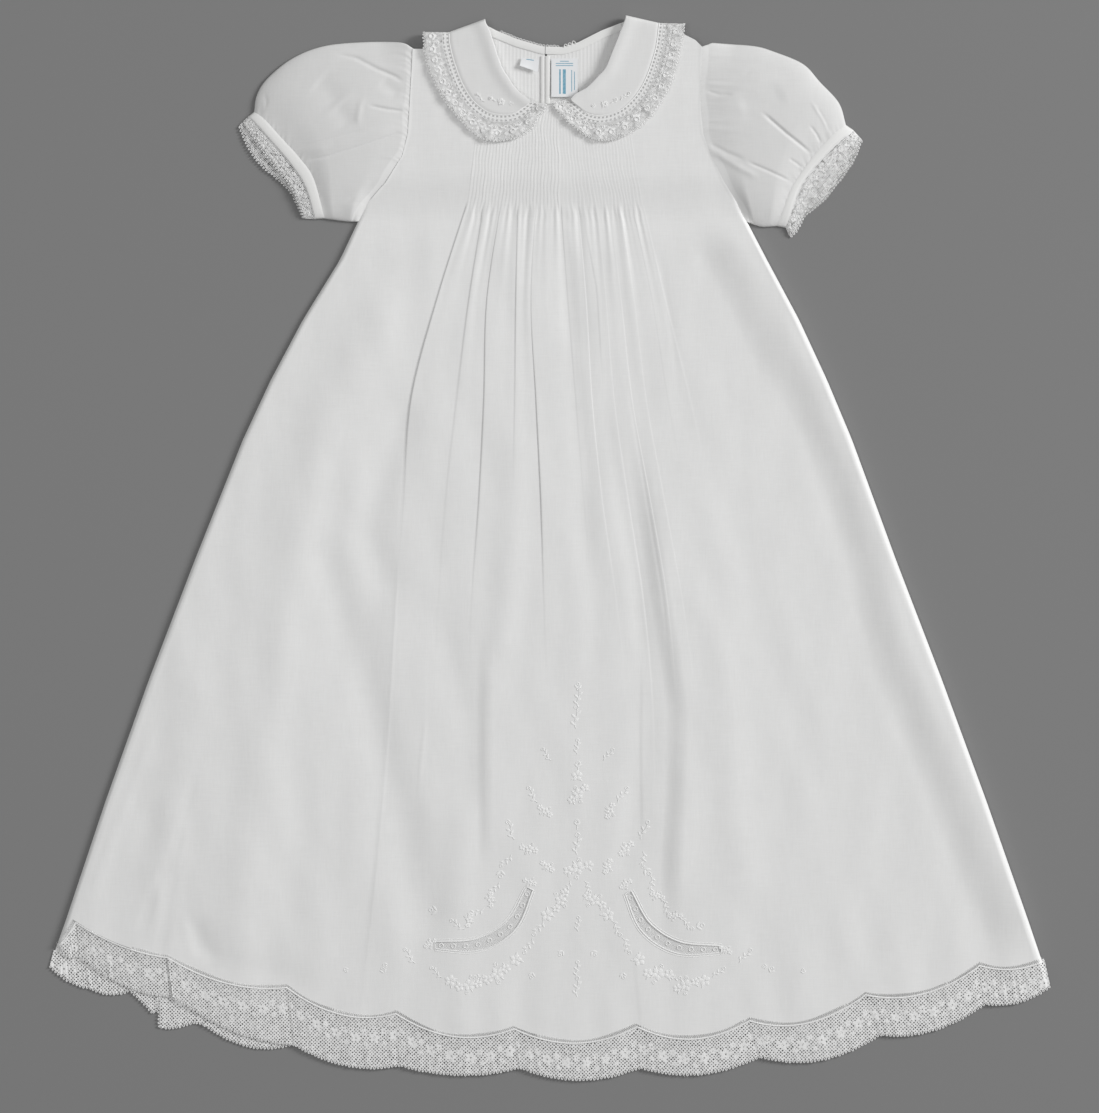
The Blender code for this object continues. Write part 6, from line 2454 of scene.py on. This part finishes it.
# ---------------------------------------------------------------- embroidery
class Motif(Enum):
    """Kinds of embroidered figure."""

    BLOSSOM = "blossom"
    BUD = "bud"
    SPRIG = "sprig"
    LEAVES = "leaves"
    CLUSTER = "cluster"


BLOSSOM, BUD, SPRIG, LEAVES, CLUSTER = Motif

def heading(angle: float) -> Array:
    """Unit vector at an angle."""
    return np.array([math.cos(angle), math.sin(angle)])


@dataclass(frozen=True)
class Stitching:
    """White satin-stitch flowers, buds and leaves on the front and the collar tips."""

    surface: FrontSurface
    rise: float = 0.16
    thread: float = 0.24
    zigzag_step: float = 0.6
    zigzag_width: float = 2.7
    seed: int = 5
    middle_x: float = 17.8
    lift: float = 0.05              # height of its foot over the cloth
    edge_cord: float = 0.5

    def petal(self, flat: list[Array], place: Array, angle: float, length: float, width: float) -> None:
        """Add one satin-stitched petal or leaf.

        Args:
            flat: where its grid of x, y and rise goes.
            place: its root.
            angle: its direction.
            length: its length.
            width: its width.
        """
        u = evenly(8)[:, None]
        v = np.linspace(-1.0, 1.0, 6)[None, :]
        half = width / 2.0 * np.sin(math.pi * np.clip(u * 0.94 + 0.03, 0.0, 1.0)) ** 0.7
        along, side = u * length, half * v
        rise = self.rise * np.sqrt(np.maximum(0.0, 1.0 - v ** 2)) * np.sin(math.pi * (0.06 + 0.88 * u)) ** 0.5
        c, s = heading(angle)
        x = place[0] + along * c - side * s
        y = place[1] + along * s + side * c
        flat.append(np.stack(np.broadcast_arrays(x, y, rise, along, side), axis=-1))

    def coil(self, stems: list[Array], place: Array, radius: float) -> None:
        """Add a small ring of stitches, a turn and a quarter long.

        Args:
            stems: where it goes.
            place: its middle.
            radius: its radius.
        """
        turn = np.linspace(0.0, 2.5 * math.pi, 15)
        out = radius * (1.0 - 0.12 * turn / turn[-1])
        stems.append(place + np.stack([out * np.cos(turn), out * np.sin(turn)], axis=1))

    def figure(self, flat: list[Array], stems: list[Array], motif: Motif, place: Point | Array,
               angle: float, size: float) -> None:
        """Add one motif.

        Args:
            flat: where its petals go.
            stems: where its stems go.
            motif: its kind.
            place: its middle.
            angle: its direction.
            size: its width.
        """
        centre = np.asarray(place)
        ahead = heading(angle)
        side = np.array([-ahead[1], ahead[0]])
        if motif is BLOSSOM:
            for k in range(5):
                turn = angle + k * math.tau / 5
                self.petal(flat, centre + 0.06 * size * heading(turn), turn, 0.4 * size, 0.3 * size)
                self.coil(stems, centre + 0.27 * size * heading(turn), 0.14 * size)
            for turn in (angle + 2.2, angle - 2.4):
                self.petal(flat, centre + 0.35 * size * heading(turn), turn, 0.26 * size, 0.12 * size)
        elif motif is BUD:
            self.coil(stems, centre + ahead * 0.15 * size, 0.17 * size)
            self.coil(stems, centre + ahead * 0.15 * size, 0.08 * size)
            for turn in (0.8, -0.8):
                self.petal(flat, centre - ahead * 0.15 * size, angle + turn, 0.38 * size, 0.16 * size)
            stems.append(np.array([centre - ahead * 0.5 * size, centre]))
        elif motif is SPRIG:
            stem = np.array([centre + ahead * size * (k / 6.0 - 0.5) + side * size * 0.07 * math.sin(k)
                             for k in range(7)])
            stems.append(stem)
            for k in (1, 2, 3, 4):
                lean = 0.85 if k % 2 else -0.85
                self.petal(flat, stem[k], angle + lean, 0.26 * size, 0.13 * size)
            self.coil(stems, stem[-1], 0.11 * size)
        elif motif is CLUSTER:
            for k, (up, aside, share) in enumerate(((0.0, 0.0, 0.5), (0.36, 0.1, 0.38), (-0.34, -0.08, 0.38),
                                                    (0.05, 0.3, 0.3), (-0.06, -0.3, 0.3))):
                kind = BLOSSOM if k < 3 else LEAVES
                self.figure(flat, stems, kind, centre + size * (up * ahead + aside * side), angle + 1.3 * k,
                            share * size)
        else:
            for turn in (0.75, -0.75):
                self.petal(flat, centre - ahead * 0.2 * size, angle + turn, 0.42 * size, 0.17 * size)
            self.coil(stems, centre + ahead * 0.2 * size, 0.12 * size)

    def layout(self) -> list[tuple[Motif, Point | Array, float, float]]:
        """Every motif on the front: kind, place, direction and width.

        Returns:
            The list.
        """
        up = math.pi / 2.0
        x = self.middle_x
        figures = [
            (LEAVES, (x + 0.4, -90.5), up, 8.0), (SPRIG, (x + 0.6, -98.0), up, 12.0),
            (SPRIG, (x - 0.9, -111.0), up, 14.0), (SPRIG, (x - 0.2, -130.0), up, 9.0),
            (BUD, (x + 0.4, -141.7), up, 8.5), (BLOSSOM, (x - 0.2, -148.5), up, 8.0),
            (CLUSTER, (x + 0.4, -160.5), 0.5, 16.0), (BUD, (x - 0.2, -179.4), up, 8.0),
            (SPRIG, (x - 0.2, -193.5), up, 13.0), (CLUSTER, (x + 0.4, -208.5), 0.0, 19.0),
            (SPRIG, (x + 0.4, -245.1), up, 9.0), (SPRIG, (x - 0.2, -274.5), up, 10.0),
            (SPRIG, (x - 0.2, -286.0), up, 12.0)]
        pairs = (
            # kind, half distance, y, direction on the right side, width
            (SPRIG, 19.9, -135.0, 0.9, 9.0), (SPRIG, 29.0, -161.2, 1.0, 11.0),
            (CLUSTER, 21.0, -171.5, 0.9, 11.0), (SPRIG, 43.2, -184.2, 1.2, 12.0),
            (CLUSTER, 31.5, -196.0, 0.5, 12.0), (CLUSTER, 19.5, -207.5, 0.9, 10.5),
            (SPRIG, 6.5, -220.5, -1.1, 8.0), (CLUSTER, 11.0, -229.5, -0.8, 16.0),
            (BLOSSOM, 19.8, -239.1, -0.8, 9.0), (SPRIG, 25.0, -247.0, -1.0, 11.0),
            (LEAVES, 10.4, -263.5, -0.9, 8.0), (SPRIG, 31.6, -258.4, -1.1, 11.0),
            (BLOSSOM, 40.0, -268.1, -0.7, 9.0), (CLUSTER, 52.3, -277.2, -0.3, 19.0),
            (SPRIG, 62.0, -279.5, 0.0, 9.0), (CLUSTER, 70.5, -284.5, 0.1, 17.0),
            (BLOSSOM, 82.5, -281.5, 0.5, 8.5), (SPRIG, 91.3, -276.5, 0.7, 9.5),
            (SPRIG, 108.6, -265.9, 0.9, 11.0), (LEAVES, 126.0, -275.0, 1.2, 7.5),
            (LEAVES, 29.6, -277.9, -1.4, 8.0))
        for motif, half, y, angle, size in pairs:
            figures.append((motif, (x + half, y), angle, size))
            figures.append((motif, (x - half, y), math.pi - angle, size))
        draw = np.random.default_rng(self.seed)
        for place in ((-107.2, -271.1), (-132.6, -274.3), (139.8, -272.4), (164.5, -275.6)):
            figures.append((LEAVES, place, draw.uniform(0.0, PHASES), 6.0))
        borders = (
            # the places of the eight kinds along each crescent
            ((-28.3, -203.4), (-32.0, -212.0), (-36.0, -221.5), (-38.5, -229.0), (-47.5, -236.8),
             (-52.5, -242.0), (-59.8, -245.4), (-75.4, -236.0)),
            ((60.5, -202.7), (63.0, -210.5), (66.0, -218.5), (69.5, -226.5), (75.0, -233.5), (81.0, -239.5),
             (88.5, -244.5), (97.0, -246.0)))
        kinds = (SPRIG, LEAVES, SPRIG, CLUSTER, SPRIG, CLUSTER, SPRIG, LEAVES)
        for line in np.asarray(borders):
            for i, kind in enumerate(kinds):
                run = line[min(i + 1, len(line) - 1)] - line[max(i - 1, 0)]
                turn = math.atan2(run[1], run[0]) + (0.4 if i % 2 else -0.3)
                figures.append((kind, line[i], turn, 10.0))
        for place in ((49.0, -219.0), (114.0, -261.5), (-13.2, -217.5), (-78.0, -257.5)):
            figures.append((CLUSTER, place, draw.uniform(0.0, PHASES), 9.0))
        return figures

    def build(self, finishes: Finishes) -> Piece:
        """Make the embroidery of the front.

        Args:
            finishes: the materials.

        Returns:
            The embroidery.
        """
        flat: list[Array] = []
        stems: list[Array] = []
        for motif, place, angle, size in self.layout():
            self.figure(flat, stems, motif, place, angle, size)
        pile = MeshPile()
        petals = np.array(flat)
        z = self.surface.height(petals[..., 0], petals[..., 1]) + self.lift + petals[..., 2]
        for grid, tops in zip(petals, z):
            pile.add_grid(raised(grid[..., :2], tops), places=grid[..., 3:])
        for stem in stems:
            fine = stem if len(stem) > 7 else walk(stem, evenly(7))
            top = self.surface.height(fine[:, 0], fine[:, 1]) + self.lift
            pile.add_cord(raised(fine, top), self.thread, 5, flat=0.55)
        return enrol(pile.build("front_embroidery"), finishes.thread, "batiste")

    def build_collar(self, finishes: Finishes, z: float) -> None:
        """Make the small sprays near the collar tips.

        Args:
            finishes: the materials.
            z: the collar's height.
        """
        flat: list[Array] = []
        stems: list[Array] = []
        for motif, place, angle, size in (
                (SPRIG, (-45.0, 291.0), 2.4, 7.0), (BUD, (-38.0, 290.5), 2.6, 6.0),
                (BLOSSOM, (-31.5, 288.5), 0.3, 5.0), (LEAVES, (-25.5, 287.5), 0.2, 5.0),
                (SPRIG, (48.5, 292.0), 0.7, 7.0), (BUD, (42.0, 289.5), 0.6, 6.0),
                (BLOSSOM, (35.5, 287.0), 0.3, 5.0), (LEAVES, (28.5, 286.0), 3.0, 5.0)):
            self.figure(flat, stems, motif, place, angle, size)
        pile = MeshPile()
        for grid in flat:
            pile.add_grid(raised(grid[..., :2], z + 0.1 + 0.8 * grid[..., 2]), places=grid[..., 3:])
        for stem in stems:
            pile.add_cord(raised(stem, z + 0.15), 0.2, 5)
        enrol(pile.build("collar_embroidery"), finishes.thread, "batiste")

    def build_hem_cord(self, finishes: Finishes) -> Piece:
        """Make the raised stitched edge of the front's scallops.

        Args:
            finishes: the materials.

        Returns:
            The cord.
        """
        edge = scallop_edge(SCALLOPS, 60)[6:-2]
        top = self.surface.height(edge[:, 0], edge[:, 1] + 0.5) + 0.1
        pile = MeshPile()
        pile.add_cord(raised(edge - (0.0, 0.2), top), self.edge_cord, 7, flat=0.5)
        shares = np.linspace(0.0, 1.0, int(lengths_along(edge)[-1] / self.zigzag_step))
        run = walk(edge, shares)
        inward = np.stack([np.interp(shares, evenly(len(edge)), sideways(edge)[:, axis])
                           for axis in (0, 1)], axis=1)
        width = self.zigzag_width * (0.85 + 0.15 * np.sin(shares * 90.0))
        run = run + inward * np.where(np.arange(len(run)) % 2 == 0, 0.4, width)[:, None]
        top = self.surface.height(run[:, 0], run[:, 1] + 0.3) + 0.12
        pile.add_cord(raised(run, top), 0.2, 4, flat=0.7)
        return enrol(pile.build("hem_stitching", upwards=False), finishes.thread, "batiste")


# ---------------------------------------------------------------- studio
@dataclass(frozen=True)
class Studio:
    """Pale floor, soft light and a camera that looks straight down."""

    view_width: float = 0.71435
    centre: Point = (-0.0003, -0.0062)
    distance: float = 2.4
    floor_size: float = 6.0
    floor_z: float = -0.3           # millimetres
    ambient: float = 0.27

    def build_camera(self) -> None:
        """Place the camera and make it the scene's."""
        data = bpy.data.cameras.new("overhead camera")
        data.sensor_fit = "HORIZONTAL"
        data.sensor_width = 36.0
        data.lens = data.sensor_width * self.distance / self.view_width
        camera = bpy.data.objects.new("overhead camera", data)
        camera.location = (*self.centre, self.distance)
        bpy.context.scene.collection.objects.link(camera)
        bpy.context.scene.camera = camera

    def add_light(self, name: str, place: tuple[float, float, float], size: float, power: float) -> None:
        """Add one soft light that looks at the gown.

        Args:
            name: its name.
            place: where it stands.
            size: its width.
            power: its power in watts.
        """
        data = bpy.data.lights.new(name, "AREA")
        data.shape = "DISK"
        data.size = size
        data.energy = power
        light = bpy.data.objects.new(name, data)
        light.location = place
        light.rotation_euler = (-Vector(place)).to_track_quat("-Z", "Y").to_euler()
        bpy.context.scene.collection.objects.link(light)

    def build(self, finishes: Finishes) -> None:
        """Make the floor, the lights and the surroundings.

        Args:
            finishes: the materials.
        """
        half = self.floor_size / 2.0 / MM
        pile = MeshPile()
        corners = [(-half, -half), (half, -half), (half, half), (-half, half)]
        pile.add(raised(corners, self.floor_z), np.array([[0, 1, 2, 3]]))
        floor = pile.build("studio_floor")
        floor.data.materials.append(finishes.floor)
        self.add_light("key light", (4.9, 2.0, 2.45), 2.0, 290.0)
        self.add_light("fill light", (-0.9, 0.2, 2.6), 2.0, 17.0)
        world = bpy.data.worlds.new("soft studio")
        world.use_nodes = True
        background = world.node_tree.nodes["Background"]
        background.inputs["Color"].default_value = (1.0, 1.0, 1.0, 1.0)
        background.inputs["Strength"].default_value = self.ambient
        bpy.context.scene.world = world
        bpy.context.scene.view_settings.view_transform = "Standard"


# ---------------------------------------------------------------- the gown
SLEEVE_CREASES_LEFT: tuple[Crease, ...] = (
    Crease(VALLEY, 0.75, 1.2, ((-140.5, 319.7), (-126.3, 317.5), (-112.0, 309.9), (-100.0, 304.9),
                               (-93.4, 300.0))),
    Crease(VALLEY, 0.6, 1.0, ((-118.6, 286.3), (-104.4, 283.6), (-92.0, 282.5))),
    Crease(VALLEY, 0.5, 1.0, ((-161.0, 250.0), (-143.0, 253.5), (-118.0, 261.3), (-91.0, 270.8))),
    Crease(RIDGE, 0.4, 2.4, ((-164.0, 254.5), (-140.0, 259.5), (-118.0, 266.5), (-94.0, 274.5))),
    Crease(VALLEY, 0.25, 1.0, ((-166.5, 257.6), (-145.0, 264.0), (-117.0, 271.0))),
    Crease(RIDGE, 0.4, 1.9, ((-119.5, 294.0), (-123.0, 286.0), (-124.5, 278.0), (-123.0, 270.0)),
           0.45),
    Crease(VALLEY, 0.6, 8.0, ((-152.0, 303.0), (-143.8, 296.0), (-137.0, 287.0))),
    Crease(VALLEY, 0.5, 6.0, ((-139.0, 286.0), (-133.4, 279.4), (-130.0, 272.0))),
    Crease(VALLEY, 0.4, 4.0, ((-110.0, 303.0), (-104.0, 298.0), (-98.0, 292.0))),
    Crease(VALLEY, 0.3, 1.3, ((-137.0, 222.0), (-123.0, 229.5), (-110.0, 238.0)), 0.4),
    Crease(RIDGE, 0.5, 6.0, ((-136.0, 216.0), (-125.0, 220.5), (-117.0, 229.0)), 0.4),
    Crease(VALLEY, 0.25, 1.1, ((-186.0, 296.0), (-184.0, 289.0), (-185.0, 283.0)), 0.4))
SLEEVE_CREASES_RIGHT: tuple[Crease, ...] = (
    Crease(VALLEY, 0.75, 1.1, ((136.0, 283.0), (153.0, 268.2), (171.0, 254.2))),
    Crease(VALLEY, 0.4, 0.9, ((168.3, 273.7), (172.9, 267.8), (176.2, 261.3))),
    Crease(RIDGE, 0.4, 1.1, ((168.0, 291.0), (176.8, 277.7), (183.0, 266.0)), 0.35),
    Crease(VALLEY, 0.35, 1.1, ((172.5, 286.0), (178.0, 276.5), (182.0, 268.0))),
    Crease(VALLEY, 0.35, 0.9, ((154.7, 251.9), (159.0, 249.5), (163.7, 246.0))),
    Crease(RIDGE, 0.45, 2.2, ((101.0, 260.0), (112.9, 252.0), (122.5, 246.0), (136.8, 238.6))),
    Crease(VALLEY, 0.3, 1.4, ((103.0, 262.0), (115.0, 255.5), (127.0, 250.5))),
    Crease(VALLEY, 0.5, 1.0, ((127.0, 250.0), (142.5, 243.4), (157.0, 236.8))),
    Crease(VALLEY, 0.35, 1.0, ((100.6, 296.2), (110.0, 293.2), (119.0, 293.2))),
    Crease(RIDGE, 0.4, 4.0, ((102.0, 284.0), (120.0, 294.0), (140.0, 303.0), (153.0, 307.5)),
           0.35),
    Crease(VALLEY, 0.2, 1.3, ((116.0, 303.0), (126.0, 305.5), (133.0, 311.0)), 0.4),
    Crease(VALLEY, 0.5, 7.0, ((122.0, 284.0), (138.0, 289.0), (153.0, 295.0))))


class Gown:
    """The whole gown, built piece by piece."""

    def __init__(self) -> None:
        """Settle the shapes and finishes that the pieces share."""
        self.body = BodyShape()
        self.surface = FrontSurface(self.body)
        self.finishes = Finishes()
        self.crescents = (CrescentInset("left", LEFT_CRESCENT, self.surface),
                          CrescentInset("right", RIGHT_CRESCENT, self.surface))

    def build_body(self) -> None:
        """Make the panels, what is let into them and what is stitched on them."""
        front = FrontPanel(self.body, self.surface, self.crescents).build(self.finishes)
        back_panel = BackPanel(self.body)
        back = back_panel.build(self.finishes)
        for crescent in self.crescents:
            crescent.build(self.finishes)
        stitching = Stitching(self.surface)
        flowers = stitching.build(self.finishes)
        cord = stitching.build_hem_cord(self.finishes)
        stitching.build_collar(self.finishes, CollarHalf.front_z)
        NeckTrims(back_panel).build(self.finishes)

    def build_hem(self) -> None:
        """Make the lace of both hems."""
        front = HemLace(
            "front_hem_lace", SCALLOPS, self.surface.height, rim_z=1.1, wave=0.22,
            folds=(0.0, 0.4, 1.3, 0.4, 0.25, 0.35, 0.25, 0.4, 0.3, 0.4, 0.0),
            gathers=((-320.0, 0.05), (-256.0, 0.12), (-248.0, 0.0), (-180.0, 0.03), (-170.0, 0.08),
                     (-140.0, 0.03), (320.0, 0.05)), seed=21)
        back = HemLace(
            "back_hem_lace", BACK_SCALLOPS, lambda x, y: np.full(x.shape, BackPanel.floor_z), rim_z=0.3,
            wave=0.2, folds=(0.0, 0.2, 0.3, 0.4, 0.3, 0.3, 0.3, 0.3, 0.3, 0.3, 0.3, 0.0),
            gathers=((-320.0, 0.03), (-230.0, 0.08), (-160.0, 0.03), (320.0, 0.03)), seed=22,
            folded=BACK_FOLDED)
        front.build(self.finishes, "hem_lace_front")
        back.build(self.finishes, "hem_lace_back")

    def build_sleeves(self) -> None:
        """Make the sleeves and their cuffs."""
        under_front = -0.9
        Sleeve("left", self.body.armhole(True, under_front), LEFT_CUFF, LEFT_SLEEVE_TOP, LEFT_SLEEVE_UNDER,
               self.surface, Gather(34, 0.14, 0.22, 0.0, 0.62, 31), Gather(26, 0.12, 0.18, 0.02, 0.98, 32),
               SLEEVE_CREASES_LEFT).build(self.finishes)
        Sleeve("right", self.body.armhole(False, under_front), RIGHT_CUFF, RIGHT_SLEEVE_TOP,
               RIGHT_SLEEVE_UNDER, self.surface, Gather(36, 0.18, 0.3, 0.0, 0.6, 33),
               Gather(26, 0.12, 0.18, 0.02, 0.98, 34), SLEEVE_CREASES_RIGHT).build(self.finishes)
        Cuff("left", LEFT_CUFF, LEFT_BAND, LEFT_LACE_OVER, LEFT_LACE_UNDER, 41).build(self.finishes)
        Cuff("right", RIGHT_CUFF, RIGHT_BAND, RIGHT_LACE_OVER, RIGHT_LACE_UNDER, 42).build(self.finishes)

    def build_collar(self) -> None:
        """Make both halves of the collar."""
        CollarHalf("left", LEFT_COLLAR_FRONT, LEFT_COLLAR_FOLD, LEFT_COLLAR_BACK, 51).build(self.finishes)
        CollarHalf("right", RIGHT_COLLAR_FRONT, RIGHT_COLLAR_FOLD, RIGHT_COLLAR_BACK, 52).build(self.finishes)

    def dress_buttons(self) -> None:
        """Give the solid buttons their pearl finish."""
        for name in ("button_top", "button_low"):
            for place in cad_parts[name].material_slots:
                place.material = self.finishes.pearl
            log.info("%s: pearl", name)


def main() -> None:
    """Build the gown and its studio."""
    logging.basicConfig(level=logging.INFO, format="%(name)s: %(message)s")
    gown = Gown()
    gown.build_body()
    gown.build_hem()
    gown.build_sleeves()
    gown.build_collar()
    gown.dress_buttons()
    studio = Studio()
    studio.build(gown.finishes)
    studio.build_camera()


if __name__ == "__main__":
    main()
